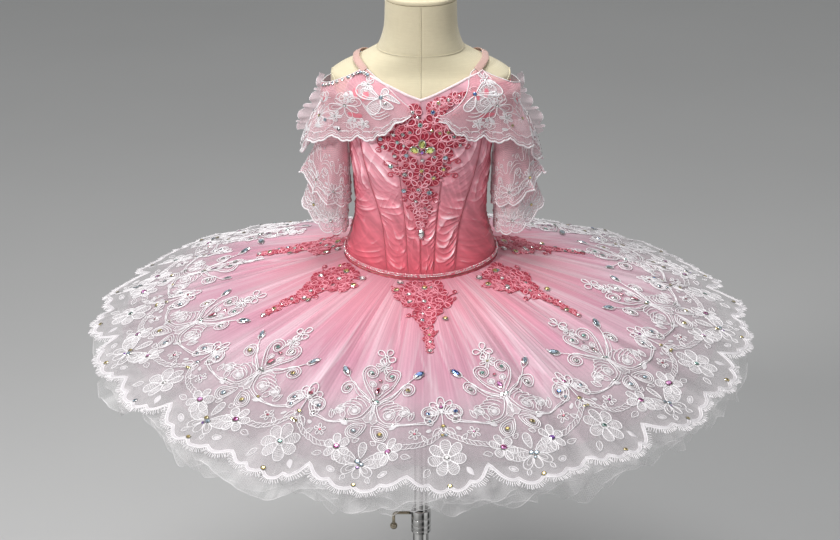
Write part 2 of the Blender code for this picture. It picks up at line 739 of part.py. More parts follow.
def tube_ring(down, hand, columns, out=0.0, flare=0.0):
    """One ring of the sleeve tube, at a share of the way down, moved out from it."""
    turns = [row.turn for row in SLEEVE_TUBE] + [360]
    values = [list(column) + [column[0]] for column in zip(*SLEEVE_TUBE)][1:]
    ring = []
    for c in range(columns):
        turn = 360 * c / columns
        top_x, top_y, top_z, hem_x, hem_y, hem_z = (periodic(turns, v, turn) for v in values)
        hem_x = 0.094 + (hem_x - 0.094) * FLARE[hand]
        turn_radians = math.radians(turn)
        outward = np.array([math.sin(turn_radians), -math.cos(turn_radians), 0.0])
        ruffle = 0.0034 * down**2 * freedom(turn) * math.sin(6 * turn_radians)
        top, hem = np.array([top_x, top_y, top_z]), np.array([hem_x, hem_y, hem_z])
        spread = out + freedom(turn) * (flare * (1 + 0.4 * math.sin(5 * turn_radians)) + ruffle)
        along = np.array([down**1.3, down**1.3, down])
        ring.append(top + (hem - top) * along + outward * spread)
    return ring


def periodic(turns, values, at):
    """Smooth closed curve through values at evenly spaced turns, read at one turn."""
    count = len(turns) - 1
    step = 360 / count
    i = int(at // step) % count
    s = (at % step) / step
    a, b, c, d = (values[(i + k) % count] for k in (-1, 0, 1, 2))
    return b + 0.5 * s * (c - a + s * (2 * a - 5 * b + 4 * c - d + s * (3 * (b - c) + d - a)))


def mirrored(grid, side):
    """The grid for the +X side, or its mirror image with columns reversed for the -X side."""
    if side > 0:
        return grid
    return (grid * (-1, 1, 1))[:, ::-1]


def build_sleeves():
    """For each arm: lace bertha, sleeve tube, flounce, pleated frill."""
    for side, hand in ((-1, "right"), (1, "left")):
        outer = bertha_grid(hand, 30, 4)
        inner = outer - CLOTH * grid_normals(outer)
        wall(f"bertha_{hand}", mirrored(outer, side), mirrored(inner, side), "lace")
        build_sleeve_ring("sleeve_tube", side, hand, ((1.0, 0.0), (0.70, 0.0), (0.35, 0.0), (0.0, 0.0)))
        laid = CLOTH + LAID_GAP
        steps = ((0.72, 0.0050), (0.50, 0.0020), (0.30, 0.0))
        build_sleeve_ring("sleeve_flounce", side, hand, steps, laid)
        build_frill(side, hand, outer)


def build_sleeve_ring(name, side, hand, steps, out=0.0):
    """A round net wall: the sleeve itself, or the flounce sewn round it, from its edge up."""
    outer = np.array([tube_ring(down, hand, 24, out, flare) for down, flare in steps])
    inner = outer - CLOTH * grid_normals(outer, round_ring=True)
    finish = "lace"
    wall(f"{name}_{hand}", mirrored(outer, side), mirrored(inner, side), finish, round_ring=True)


def build_frill(side, hand, bertha):
    """Pleated net that stands out along the back of the bertha's arm."""
    pleats, spans, width = 8, 4, 0.014
    column = 18
    line = bertha[:, column]
    normals = grid_normals(bertha)[:, column]
    count = pleats * spans // 2
    outer = np.empty((2, count + 1, 3))
    for k in range(count + 1):
        place = (0.40 + 0.60 * k / count) * (len(line) - 1)
        i = min(int(place), len(line) - 2)
        f = place - i
        root = line[i] * (1 - f) + line[i + 1] * f
        normal = normals[i] * (1 - f) + normals[i + 1] * f
        pleat = 0.0035 * (1 if k % 2 else -1)
        back = np.array([0.0, 1.0, 0.0])
        outer[0, k] = root + normal * LAID_GAP
        outer[1, k] = root + normal * width + back * (pleat + 0.004)
    lift = np.array([0.0, CLOTH, 0.0])
    a, b = outer + lift / 2, outer - lift / 2
    wall(f"frill_{hand}", mirrored(a, side), mirrored(b, side), "net")


Rest = namedtuple("Rest", "angle height out")
STRAP_PATH = [
    # the middle of the strap's inner side: angle, height and stand-off from the dress form
    Rest(62, 0.9629, 0.0034),
    Rest(68, 0.9646, 0.0037),
    Rest(77, 0.9655, 0.0038),
    Rest(90, 0.9665, 0.0038),
    Rest(104, 0.9655, 0.0036),
    Rest(118, 0.9610, 0.0032),
    Rest(130, 0.9500, 0.0028),
    Rest(139, 0.9350, 0.0026),
    Rest(146, 0.9151, 0.0026),
]


def build_straps():
    """An elastic over each shoulder, sewn to the bodice's edge at both ends."""
    width, thickness = 0.0075, 0.0012
    for side, hand in ((-1, "right"), (1, "left")):
        path = np.array([off_body(*rest) for rest in STRAP_PATH])
        runs = np.gradient(path, axis=0)
        outer = np.empty((2, len(path), 3))
        inner = np.empty((2, len(path), 3))
        for i, (rest, run) in enumerate(zip(STRAP_PATH, runs)):
            out = off_body(rest.angle, rest.height, 0.01) - on_skin(rest.angle, rest.height)
            out /= np.linalg.norm(out)
            across = np.cross(out, run / np.linalg.norm(run))
            for row, share in enumerate((-0.5, 0.5)):
                inner[row, i] = path[i] + across * width * share
                outer[row, i] = inner[row, i] + out * thickness
        wall(f"strap_{hand}", mirrored(outer, side), mirrored(inner, side), "elastic")


# ---------------------------------------------------------------- the whole
def main():
    """Clears the scene and builds every piece."""
    for old in list(bpy.data.objects):
        bpy.data.objects.remove(old)
    build_form()
    build_stand()
    build_bodice()
    build_bodice_applique()
    build_basque()
    build_net_tiers()
    build_overlay()
    build_lace_border()
    build_waist_braid()
    build_skirt_appliques()
    build_sleeves()
    build_straps()


main()
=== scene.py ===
"""Looks of a child's ballet tutu on a limbless dress form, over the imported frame.

The garment is built in cloth-thin layers over the frame's own shapes: bodice, hip band, soft
overlay, embroidered lace, stiff net, sleeves and straps. Needlework is drawn flat, in
millimetres, and then laid on the cloth that carries it. Metres, +Z up, front towards -Y.
Angles round the body are in degrees: 0 is the front and 90 is the +X side.
"""

from __future__ import annotations

import logging
import math
from collections.abc import Callable, Iterable, Sequence
from dataclasses import dataclass, field, replace
from enum import Enum
from typing import Any, Protocol

import bpy
import numpy as np
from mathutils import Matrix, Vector

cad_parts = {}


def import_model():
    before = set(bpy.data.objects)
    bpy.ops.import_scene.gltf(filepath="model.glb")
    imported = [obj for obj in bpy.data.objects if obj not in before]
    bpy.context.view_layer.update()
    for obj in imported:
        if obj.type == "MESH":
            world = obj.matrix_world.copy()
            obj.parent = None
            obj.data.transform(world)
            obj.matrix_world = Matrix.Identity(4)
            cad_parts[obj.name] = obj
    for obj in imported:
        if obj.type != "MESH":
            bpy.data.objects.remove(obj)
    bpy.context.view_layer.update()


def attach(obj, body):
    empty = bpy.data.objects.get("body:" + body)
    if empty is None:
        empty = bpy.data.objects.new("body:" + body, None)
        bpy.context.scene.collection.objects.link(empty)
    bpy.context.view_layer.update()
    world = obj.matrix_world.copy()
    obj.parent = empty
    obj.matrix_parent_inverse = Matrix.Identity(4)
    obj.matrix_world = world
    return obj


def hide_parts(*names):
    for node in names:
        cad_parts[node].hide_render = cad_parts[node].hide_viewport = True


LOG = logging.getLogger("tutu")
SEED = 20
Array = np.ndarray
Colour = tuple[float, float, float]


# ---------------------------------------------------------------- sizes
@dataclass(frozen=True)
class ClothSizes:
    """Thin distances that every layer of the garment shares, in metres."""

    cloth: float = 0.0012
    seam_gap: float = 0.0003
    laid_gap: float = 0.0006
    form_gap: float = 0.0008
    lace_lift: float = 0.0002
    stone_lift: float = 0.0011


@dataclass(frozen=True)
class BodiceSizes:
    """Heights and corners of the bodice, in metres and degrees."""

    hem: float = 0.710
    hem_dip: float = 0.0085
    neck: float = 0.934
    corner_angle: float = 66.0
    corner: float = 0.9610
    underarm: float = 0.903
    back: float = 0.900
    basque: float = 0.062
    braid_lift: float = 0.0022
    braid_height: float = 0.0045
    seam_radius: float = 0.085


@dataclass(frozen=True)
class SkirtSizes:
    """Radii and counts of the skirt, in metres and degrees."""

    rim: float = 0.4265
    notch: float = 0.3955
    small_notch: float = 0.4085
    drop: float = 0.1085
    overlay: float = 0.388
    repeats: int = 12
    phase: float = -10.5
    wide: float = 16.5
    narrow: float = 13.5
    trough: float = 0.292
    fleur: float = 0.082
    gathers: int = 30
    first_column: float = -2.5


@dataclass(frozen=True)
class StandSizes:
    """Radii and heights of the stand, in metres."""

    mast: float = 0.0090
    mast_low: float = 0.090
    tube: float = 0.0110
    bore: float = 0.0096
    collar: float = 0.0135
    collar_top: float = 0.3215
    collar_height: float = 0.0355
    base: float = 0.150
    base_thickness: float = 0.006
    hub: float = 0.021
    hub_top: float = 0.028


CLOTH = ClothSizes()
BODICE = BodiceSizes()
SKIRT = SkirtSizes()
STAND = StandSizes()


# ---------------------------------------------------------------- curves and noise
class Curve:
    """Monotone cubic curve through stations and values, read at many places at once."""

    def __init__(self, stations: Sequence[float], values: Sequence[float]) -> None:
        self.x = np.asarray(stations, float)
        self.y = np.asarray(values, float)
        slopes = np.diff(self.y) / np.diff(self.x)
        self.tangents = np.empty_like(self.y)
        self.tangents[0], self.tangents[-1] = slopes[0], slopes[-1]
        before, after = slopes[:-1], slopes[1:]
        total = np.where(before + after == 0, 1.0, before + after)
        self.tangents[1:-1] = np.where(before * after <= 0, 0.0, 2 * before * after / total)

    def __call__(self, at: Any) -> Array:
        """The curve's value at each place."""
        at = np.asarray(at, float)
        i = np.clip(np.searchsorted(self.x, at) - 1, 0, len(self.x) - 2)
        h = self.x[i + 1] - self.x[i]
        s = np.clip((at - self.x[i]) / h, 0.0, 1.0)
        return (
            (2 * s**3 - 3 * s**2 + 1) * self.y[i]
            + (s**3 - 2 * s**2 + s) * h * self.tangents[i]
            + (3 * s**2 - 2 * s**3) * self.y[i + 1]
            + (s**3 - s**2) * h * self.tangents[i + 1]
        )


class Ripple:
    """Smooth, seeded noise of one closed turn: a few sines with random phases."""

    def __init__(self, seed: int, waves: Sequence[int], fade: float = 0.5) -> None:
        rng = np.random.default_rng(SEED * 1000 + seed)
        self.waves = np.asarray(waves, float)
        self.phases = rng.uniform(0, 2 * math.pi, len(waves))
        self.weights = rng.uniform(0.5, 1.0, len(waves)) * (self.waves / self.waves[0]) ** -fade
        self.weights /= np.sqrt((self.weights**2).sum() / 2)

    def __call__(self, turn: Any, drift: Any = 0.0) -> Array:
        """Noise at each turn in radians, its phases drifting with a second coordinate."""
        turn = np.asarray(turn, float)[..., None]
        drift = np.asarray(drift, float)[..., None]
        slide = drift * (1 + 0.37 * np.arange(len(self.waves)))
        return (self.weights * np.sin(self.waves * turn + self.phases + slide)).sum(axis=-1)


def unit(vectors: Array) -> Array:
    """Vectors of length one."""
    length = np.linalg.norm(vectors, axis=-1, keepdims=True)
    return vectors / np.maximum(length, 1e-12)


def crease(wave: Array, sharp: float = 2.2) -> Array:
    """A wave from -1 to 1 with narrow crests and broad hollows, as gathered cloth has."""
    return 2 * ((wave + 1) / 2) ** sharp - 0.75


def pleat(phase: Array, rise: float = 0.16, fall: float = 2.2) -> Array:
    """A row of laid folds, one for each unit of phase: a sharp step up and a slow fall, from 0 to
    about 0.8."""
    t = np.mod(phase, 1.0)
    return smooth_step(t, 0.0, rise) * (1 - t) ** fall


def bump_between(x: Array, low: float, high: float) -> Array:
    """A smooth hump: 0 at low and high, 1 halfway."""
    s = np.clip((np.asarray(x, float) - low) / (high - low), 0.0, 1.0)
    return np.sin(math.pi * s) ** 2


def smooth_step(x: Array, low: float, high: float) -> Array:
    """0 below low, 1 above high, and smooth between."""
    s = np.clip((np.asarray(x, float) - low) / (high - low), 0.0, 1.0)
    return s * s * (3 - 2 * s)


# ---------------------------------------------------------------- the body's shape
class BodyShape:
    """The dress form's skin, which every layer of the garment stands off."""

    # height, half width, front depth, back depth
    SECTIONS = (
        (0.540, 0.0940, 0.0750, 0.0840),
        (0.610, 0.1010, 0.0800, 0.0910),
        (0.650, 0.1015, 0.0790, 0.0880),
        (0.685, 0.0995, 0.0770, 0.0820),
        (0.710, 0.0960, 0.0745, 0.0770),
        (0.730, 0.0905, 0.0710, 0.0720),
        (0.750, 0.0845, 0.0680, 0.0670),
        (0.770, 0.0810, 0.0665, 0.0640),
        (0.790, 0.0805, 0.0675, 0.0640),
        (0.815, 0.0828, 0.0700, 0.0660),
        (0.845, 0.0855, 0.0730, 0.0690),
        (0.875, 0.0880, 0.0750, 0.0715),
        (0.895, 0.0895, 0.0740, 0.0720),
        (0.910, 0.0945, 0.0715, 0.0710),
        (0.925, 0.1045, 0.0680, 0.0690),
        (0.940, 0.1120, 0.0620, 0.0645),
        (0.950, 0.1120, 0.0550, 0.0590),
        (0.958, 0.1030, 0.0490, 0.0545),
        (0.966, 0.0870, 0.0465, 0.0515),
        (0.975, 0.0680, 0.0455, 0.0495),
        (0.984, 0.0535, 0.0450, 0.0480),
        (1.015, 0.0450, 0.0430, 0.0445),
        (1.045, 0.0440, 0.0425, 0.0440),
    )
    SQUARENESS = 2.2

    def __init__(self) -> None:
        heights, widths, fronts, backs = zip(*self.SECTIONS)
        self.heights = np.array(heights)
        self.width = Curve(heights, widths)
        self.front = Curve(heights, fronts)
        self.back = Curve(heights, backs)

    def radius(self, angle: Any, height: Any) -> Array:
        """Distance from the axis to the skin."""
        turn = np.radians(np.asarray(angle, float))
        facing = np.cos(turn)
        depth = np.where(facing >= 0, self.front(height), self.back(height))
        across = np.abs(np.sin(turn)) / self.width(height)
        along = np.abs(facing) / depth
        p = self.SQUARENESS
        return (across**p + along**p) ** (-1 / p)

    def skin(self, angle: Any, height: Any) -> Array:
        """Points on the skin."""
        radius = self.radius(angle, height)
        return polar(angle, radius, height)

    def normal(self, angle: Any, height: Any) -> Array:
        """The skin's outward normals."""
        angle, height = np.asarray(angle, float), np.asarray(height, float)
        across = self.skin(angle + 0.5, height) - self.skin(angle - 0.5, height)
        up = self.skin(angle, height + 0.0008) - self.skin(angle, height - 0.0008)
        return unit(np.cross(across, up))

    def off(self, angle: Any, height: Any, out: Any) -> Array:
        """Points that stand off the skin by out, along its normal."""
        return self.skin(
            angle, height
        ) + np.asarray(out, float)[..., None] * self.normal(angle, height)


def polar(angle: Any, radius: Any, height: Any) -> Array:
    """Points from an angle, a distance from the axis and a height."""
    angle, radius, height = np.broadcast_arrays(
        np.asarray(angle, float), np.asarray(radius, float), np.asarray(height, float)
    )
    turn = np.radians(angle)
    return np.stack([radius * np.sin(turn), -radius * np.cos(turn), height], axis=-1)


BODY = BodyShape()


class BodiceShape:
    """Edges, seams and outer side of the satin bodice."""

    SEAM_HEIGHTS = (0.700, 0.774, 0.860, 0.955)
    # angle of each seam at those heights
    SEAMS = {
        "centre_front": (0.0, 0.0, 0.0, 0.0),
        "inner": (11.5, 16.5, 22.0, 34.0),
        "outer": (30.0, 41.0, 57.0, 66.0),
        "side": (90.0, 90.0, 90.0, 90.0),
        "back": (142.0, 138.0, 146.0, 150.0),
        "centre_back": (180.0, 180.0, 180.0, 180.0),
    }

    def __init__(self) -> None:
        self.seams = {name: Curve(self.SEAM_HEIGHTS, row) for name, row in self.SEAMS.items()}
        self.armhole = Curve(
            (BODICE.corner_angle, 76, 90, 110, 140, 152, 180),
            (0.930, 0.912, BODICE.underarm, 0.904, 0.912, 0.915, BODICE.back),
        )

    def seam(self, name: str, height: Any) -> Array:
        """Angle of a seam at a height."""
        return self.seams[name](np.clip(height, 0.700, 0.955))

    def hem(self, angle: Any) -> Array:
        """Height of the hem seam, which dips at the centre front."""
        facing = np.maximum(0.0, np.cos(np.radians(angle)))
        return BODICE.hem - BODICE.hem_dip * facing**2

    def neckline(self, angle: Any) -> Array:
        """Height of the V-shaped neckline, up to the strap's corner."""
        share = np.clip(np.abs(angle) / BODICE.corner_angle, 0, 1)
        return BODICE.neck + (BODICE.corner - BODICE.neck) * share**1.1

    def top(self, angle: Any, front: bool) -> Array:
        """Height of the top edge of a front panel or of a side and back panel."""
        if front:
            return np.where(
                np.abs(angle) <= BODICE.corner_angle, self.neckline(angle), self.armhole(
                    np.abs(angle)
                )
            )
        return self.armhole(np.abs(angle))

    def inside(self, height: Any) -> Array:
        """Stand-off of the bodice's inner side, which leaves the form a little at waist and
        chest."""
        height = np.asarray(height, float)
        at_waist = 0.0008 * np.exp(-(((height - 0.790) / 0.035) ** 2))
        at_chest = 0.0020 * np.clip((height - 0.885) / 0.045, 0.0, 1.0) ** 1.5
        return CLOTH.form_gap + at_waist + at_chest

    def face(self, angle: Any, height: Any, lift: Any = 0.0) -> Array:
        """Points on the bodice's outer side, or moved out from it by lift."""
        return BODY.off(angle, height, self.inside(height) + CLOTH.cloth + np.asarray(lift, float))


SATIN = BodiceShape()


class SkirtShape:
    """The bell of the skirt, its gathers and the edges of its lace and net."""

    def __init__(self) -> None:
        self.fine = Ripple(1, (131, 149, 163, 187, 211), 0.2)
        self.middle = Ripple(2, (61, 67, 79, 88, 97), 0.3)
        self.broad = Ripple(3, (23, 31, 37, 43), 0.2)
        self.strength = Ripple(4, (5, 9, 14, 22, 31), 0.1)
        rng = np.random.default_rng(SEED + 5)
        count = 210
        low = rng.uniform(-0.15, 0.45, count)
        self.pleats = np.stack([
            rng.uniform(-180, 180, count),
            rng.choice((-1, 1), count) * rng.uniform(0.30, 1.0, count) ** 2 * 4.6,
            rng.normal(0, 7.0, count),
            rng.normal(0, 11.0, count),
            low,
            low + rng.uniform(0.35, 0.9, count),
            rng.uniform(0.25, 1.0, count),
        ], axis=1)
        count = 72
        low = rng.uniform(-0.1, 0.45, count)
        creases = np.stack([
            rng.uniform(-180, 180, count),
            rng.choice((-1, 1), count) * rng.uniform(0.30, 0.60, count),
            rng.normal(0, 11.0, count),
            rng.normal(0, 16.0, count),
            low,
            low + rng.uniform(0.25, 0.55, count),
            rng.uniform(1.2, 2.2, count),
        ], axis=1)
        self.pleats = np.concatenate([self.pleats, creases])
        angles = np.linspace(-180, 180, 721)
        self._angles = angles
        self._root = BODY.radius(angles, SATIN.hem(angles) - 0.004)

    def root(self, angle: Any, below: float = 0.0) -> Array:
        """Where the skirt's cloth starts, just outside the hip band."""
        if below == 0.0:
            bare = np.interp(wrap(angle), self._angles, self._root)
        else:
            bare = BODY.radius(angle, SATIN.hem(angle) - below - 0.004)
        return bare + CLOTH.form_gap + CLOTH.cloth + CLOTH.laid_gap

    def share(self, angle: Any, radius: Any) -> Array:
        """How far a radius lies from the hem (0) to the rim (1)."""
        root = self.root(angle)
        return np.maximum(0.0, (radius - root) / (SKIRT.rim - root))

    def bell(self, angle: Any, radius: Any, below: Any = 0.0) -> Array:
        """Height of the skirt without its gathers."""
        share = self.share(angle, radius)
        turn = np.radians(angle)
        drop = SKIRT.drop - BODICE.hem + SATIN.hem(angle)
        sag = share**1.5 * (0.0056 * np.cos(turn) - 0.0114 * np.cos(2 * turn))
        swell = 0.004 * share**2 * (0.6 * np.sin(5 * turn + 0.4) + 0.4 * np.sin(8 * turn + 1.9))
        fall = drop * (0.80 * share + 0.20 * share**2)
        return SATIN.hem(angle) - below - fall + sag + swell

    def gather(self, angle: Any, radius: Any) -> Array:
        """The frame's own broad gathers, which the lace and the trims follow too."""
        share = self.share(angle, radius)
        turn = np.radians(angle)
        uneven = 1 + 0.35 * np.sin(3 * turn + 0.8) + 0.25 * np.sin(7 * turn + 2.1)
        depth = 0.0005 + 0.0033 * np.minimum(1.0, share / 0.35) ** 0.7
        return depth * uneven * np.cos(SKIRT.gathers * (turn - math.radians(SKIRT.first_column)))

    def folds(self, angle: Any, radius: Any) -> Array:
        """Fine creases of gathered tulle, from -1 to about 1.5, deepest near the hem."""
        share = self.share(angle, radius)
        turn = np.radians(angle)
        drift = 0.9 * np.sqrt(share)
        fine = crease(np.sin(1.4 * self.fine(turn, drift))) * np.exp(-(share / 0.55) ** 2)
        middle = crease(
            np.sin(1.2 * self.middle(turn, 0.7 * drift))
        ) * (0.35 + 0.65 * smooth_step(share, 0.0, 0.3))
        broad = crease(
            np.sin(1.1 * self.broad(turn, 0.4 * drift)), 1.8
        ) * smooth_step(share, 0.1, 0.6)
        lively = 0.75 + 0.35 * self.strength(turn, 0.5 * drift)
        return lively * (0.20 * fine + 0.50 * middle + 0.70 * broad)

    def pleat_highlight(self, angle: Any, radius: Any) -> Array:
        """Painted highlight streaks along the soft pleats of the tulle: crisp at one side of each pleat
        and fading at its other."""
        share = self.share(angle, radius)
        total = np.zeros_like(share)
        for middle, width, slant, bend, low, high, weight in self.pleats:
            off = wrap(angle - middle - slant * share - bend * share**2) / width
            strip = smooth_step(off, -0.16, 0.0) * np.exp(-1.4 * np.maximum(off, 0))
            ends = smooth_step(share, low, low + 0.12) * (1 - smooth_step(share, high - 0.2, high))
            total += weight * strip * ends
        return total

    def point(self, angle: Any, radius: Any, lift: Any = 0.0) -> Array:
        """Points on the overlay's upper side, or above it by lift."""
        depth = 0.0003 + 0.0010 * smooth_step(self.share(angle, radius), 0.0, 0.3)
        gathers = 0.40 * self.gather(angle, radius) + depth * self.folds(angle, radius)
        return polar(angle, radius, self.bell(angle, radius, 0.0015) + gathers + lift)

    def scallop(self, angle: Any) -> Array:
        """Radius of the lace's edge: a wide and a narrow scallop by turns, each of four small
        ones."""
        repeat = 360 / SKIRT.repeats
        place = np.mod(np.asarray(angle, float) - SKIRT.phase + SKIRT.wide / 2, repeat)
        t = np.where(place < SKIRT.wide, place / SKIRT.wide, (repeat - place) / SKIRT.narrow)
        arch = (1 - np.abs(2 * t - 1) ** 2.3) ** 0.72
        floor = SKIRT.notch + (SKIRT.small_notch - SKIRT.notch) * t
        small = np.mod(np.where(place < SKIRT.wide, 4 * t, 4 * (1 - t)), 1.0)
        cusp = 0.0062 * np.abs(2 * small - 1) ** 2.4
        return floor + (SKIRT.rim - floor) * arch - cusp * smooth_step(arch, 0.0, 0.5)

    def lace_top(self, angle: Any) -> Array:
        """Radius of the lace's inner edge, which follows the tops of the embroidery."""
        repeat = 360 / SKIRT.repeats
        place = np.mod(np.asarray(angle, float) - SKIRT.phase + repeat / 2, repeat) / repeat * 2 - 1
        return SKIRT.trough - SKIRT.fleur * np.cos(math.pi * place / 2) ** 2


def wrap(angle: Any) -> Array:
    """Angles brought between -180 and 180 degrees."""
    return np.mod(np.asarray(angle, float) + 180, 360) - 180


TULLE = SkirtShape()


class SleeveShape:
    """One arm's bertha and sleeve. Everything is worked out for the +X side and then mirrored."""

    # top edge and low edge at each station, from the centre front round the arm to the back:
    # angle, height and stand-off from the dress form
    BERTHA = (
        (11, 0.9270, 0.0084, 9, 0.9190, 0.0088),
        (34, 0.9430, 0.0080, 24, 0.9060, 0.0092),
        (49, 0.9500, 0.0078, 38, 0.8880, 0.0098),
        (62, 0.9560, 0.0078, 54, 0.8830, 0.0150),
        (72, 0.9500, 0.0090, 68, 0.8790, 0.0370),
        (83, 0.9420, 0.0105, 80, 0.8640, 0.0570),
        (96, 0.9360, 0.0120, 95, 0.8380, 0.0690),
        (112, 0.9360, 0.0120, 112, 0.8440, 0.0620),
        (128, 0.9380, 0.0100, 128, 0.8700, 0.0400),
        (142, 0.9330, 0.0085, 142, 0.8840, 0.0180),
        (152, 0.9240, 0.0080, 153, 0.8950, 0.0090),
    )
    # turn, then x, y and height of the sleeve's top ring and of its hem ring
    TUBE = (
        (0, 0.1000, -0.0360, 0.9040, 0.1160, -0.0340, 0.7470),
        (45, 0.1110, -0.0260, 0.9120, 0.1380, -0.0250, 0.7620),
        (90, 0.1160, 0.0000, 0.9150, 0.1490, 0.0000, 0.7820),
        (135, 0.1110, 0.0260, 0.9120, 0.1380, 0.0250, 0.7660),
        (180, 0.1000, 0.0360, 0.9040, 0.1160, 0.0340, 0.7540),
        (225, 0.0928, 0.0260, 0.8940, 0.0990, 0.0250, 0.7480),
        (270, 0.0917, 0.0000, 0.8890, 0.0940, 0.0000, 0.7450),
        (315, 0.0928, -0.0260, 0.8940, 0.0990, -0.0250, 0.7450),
    )

    def __init__(self, side: int) -> None:
        self.side = side
        self.hand = "left" if side > 0 else "right"
        self.flare = 1.10 if side > 0 else 1.0
        self.fall = 0.010 if side > 0 else 0.0
        stations = np.linspace(0, 1, len(self.BERTHA))
        self.edges = [Curve(stations, column) for column in zip(*self.BERTHA)]
        self.columns = [np.array(column) for column in zip(*self.TUBE)][1:]
        self.wobble = Ripple(40 + side, (3, 5, 8, 13), 0.4)

    def mirror(self, points: Array) -> Array:
        """The points for this arm."""
        return points if self.side > 0 else points * (-1, 1, 1)

    def bertha(self, u: Any, down: Any, out: Any = 0.0) -> Array:
        """Points on the bertha, at a share of its length and of its depth."""
        u, down = np.broadcast_arrays(np.asarray(u, float), np.asarray(down, float))
        top_angle, top_height, top_out, low_angle, low_height, low_out = (
            edge(u) for edge in self.edges
        )
        free = np.sin(math.pi * np.clip((u - 0.30) / 0.60, 0.0, 1.0))
        low_height = low_height - self.fall * free
        angle = top_angle + (low_angle - top_angle) * down
        height = top_height + (low_height - top_height) * down
        off = top_out + (low_out - top_out) * down
        ruffle = 0.0030 * down * np.sin(2 * math.pi * 7 * u)
        off = off + free * (0.009 * np.sin(math.pi * np.clip(down, 0, 1)) + ruffle) + out
        point = BODY.off(angle, height, off)
        point[..., 2] = height
        return self.mirror(point)

    def periodic(self, values: Array, turn: Array) -> Array:
        """A smooth closed curve through evenly spaced values."""
        count = len(values)
        step = 360 / count
        i = np.floor(turn / step).astype(int) % count
        s = np.mod(turn, step) / step
        a, b, c, d = (values[(i + k) % count] for k in (-1, 0, 1, 2))
        return b + 0.5 * s * (c - a + s * (2 * a - 5 * b + 4 * c - d + s * (3 * (b - c) + d - a)))

    def tube(self, turn: Any, down: Any, out: Any = 0.0, flare: Any = 0.0) -> Array:
        """Points on the sleeve at a turn round the arm and a share of the way down."""
        turn, down, out, flare = np.broadcast_arrays(
            *(np.asarray(v, float) for v in (turn, down, out, flare))
        )
        turn = np.mod(turn, 360)
        top_x, top_y, top_z, hem_x, hem_y, hem_z = (self.periodic(v, turn) for v in self.columns)
        hem_x = 0.094 + (hem_x - 0.094) * self.flare
        t = np.radians(turn)
        freedom = 0.5 + 0.5 * np.cos(t - math.pi / 2)
        ruffle = 0.0034 * down**2 * freedom * np.sin(6 * t)
        spread = out + freedom * (flare * (1 + 0.4 * np.sin(5 * t)) + ruffle)
        bow = np.sign(down) * np.abs(down) ** 1.3
        x = top_x + (hem_x - top_x) * bow + np.sin(t) * spread
        y = top_y + (hem_y - top_y) * bow - np.cos(t) * spread
        z = top_z + (hem_z - top_z) * down
        return self.mirror(np.stack([x, y, z], axis=-1))


# ---------------------------------------------------------------- node trees
class Graph:
    """Adds nodes to one node tree and links them."""

    def __init__(self, tree: bpy.types.NodeTree) -> None:
        self.tree = tree
        self.count = 0

    def add(
        self, kind: str, inputs: dict[Any, Any] | None = None, **settings: Any
    ) -> bpy.types.Node:
        """Add one node.

        Args:
            kind: the node's class name.
            inputs: by socket name or index, a number, a colour, or a socket to link from.
            settings: the node's own properties.

        Returns:
            The node.
        """
        node = self.tree.nodes.new(kind)
        node.location = (190 * (self.count // 4), -220 * (self.count % 4))
        self.count += 1
        for name, value in settings.items():
            setattr(node, name, value)
        for key, value in (inputs or {}).items():
            self.put(node.inputs[key], value)
        return node

    def put(self, socket: bpy.types.NodeSocket, value: Any) -> None:
        """Link a socket from another, or set its own value."""
        if isinstance(value, bpy.types.NodeSocket):
            self.tree.links.new(value, socket)
        else:
            socket.default_value = value

    def math(self, operation: str, *values: Any, clamp: bool = False) -> bpy.types.NodeSocket:
        """One Math node's result."""
        node = self.add(
            "ShaderNodeMath", dict(enumerate(values)), operation=operation, use_clamp=clamp
        )
        return node.outputs[0]

    def mix(self, share: Any, first: Any, second: Any) -> bpy.types.NodeSocket:
        """A colour between two, by a share."""
        node = self.add("ShaderNodeMix", data_type="RGBA")
        self.put(node.inputs["Factor"], share)
        colour_inputs = [socket for socket in node.inputs if socket.type == "RGBA"]
        self.put(colour_inputs[0], rgba(first))
        self.put(colour_inputs[1], rgba(second))
        return next(socket for socket in node.outputs if socket.type == "RGBA")

    def ramp(self, share: Any, *stops: tuple[float, Any]) -> bpy.types.NodeSocket:
        """A colour ramp's colour."""
        node = self.add("ShaderNodeValToRGB", {"Fac": share})
        elements = node.color_ramp.elements
        while len(elements) < len(stops):
            elements.new(0.5)
        for element, (place, colour) in zip(elements, stops):
            element.position = place
            element.color = rgba(colour)
        return node.outputs["Color"]

    def noise(
        self, vector: Any, scale: float, detail: float = 3.0, rough: float = 0.5
    ) -> bpy.types.NodeSocket:
        """A noise texture's value."""
        inputs = {"Scale": scale, "Detail": detail, "Roughness": rough}
        if vector is not None:
            inputs["Vector"] = vector
        return self.add("ShaderNodeTexNoise", inputs).outputs["Fac"]


def rgba(colour: Any) -> Any:
    """A colour with its alpha, or the socket that was given."""
    if isinstance(colour, bpy.types.NodeSocket):
        return colour
    if isinstance(colour, (int, float)):
        return (colour, colour, colour, 1.0)
    return (*colour[:3], 1.0)


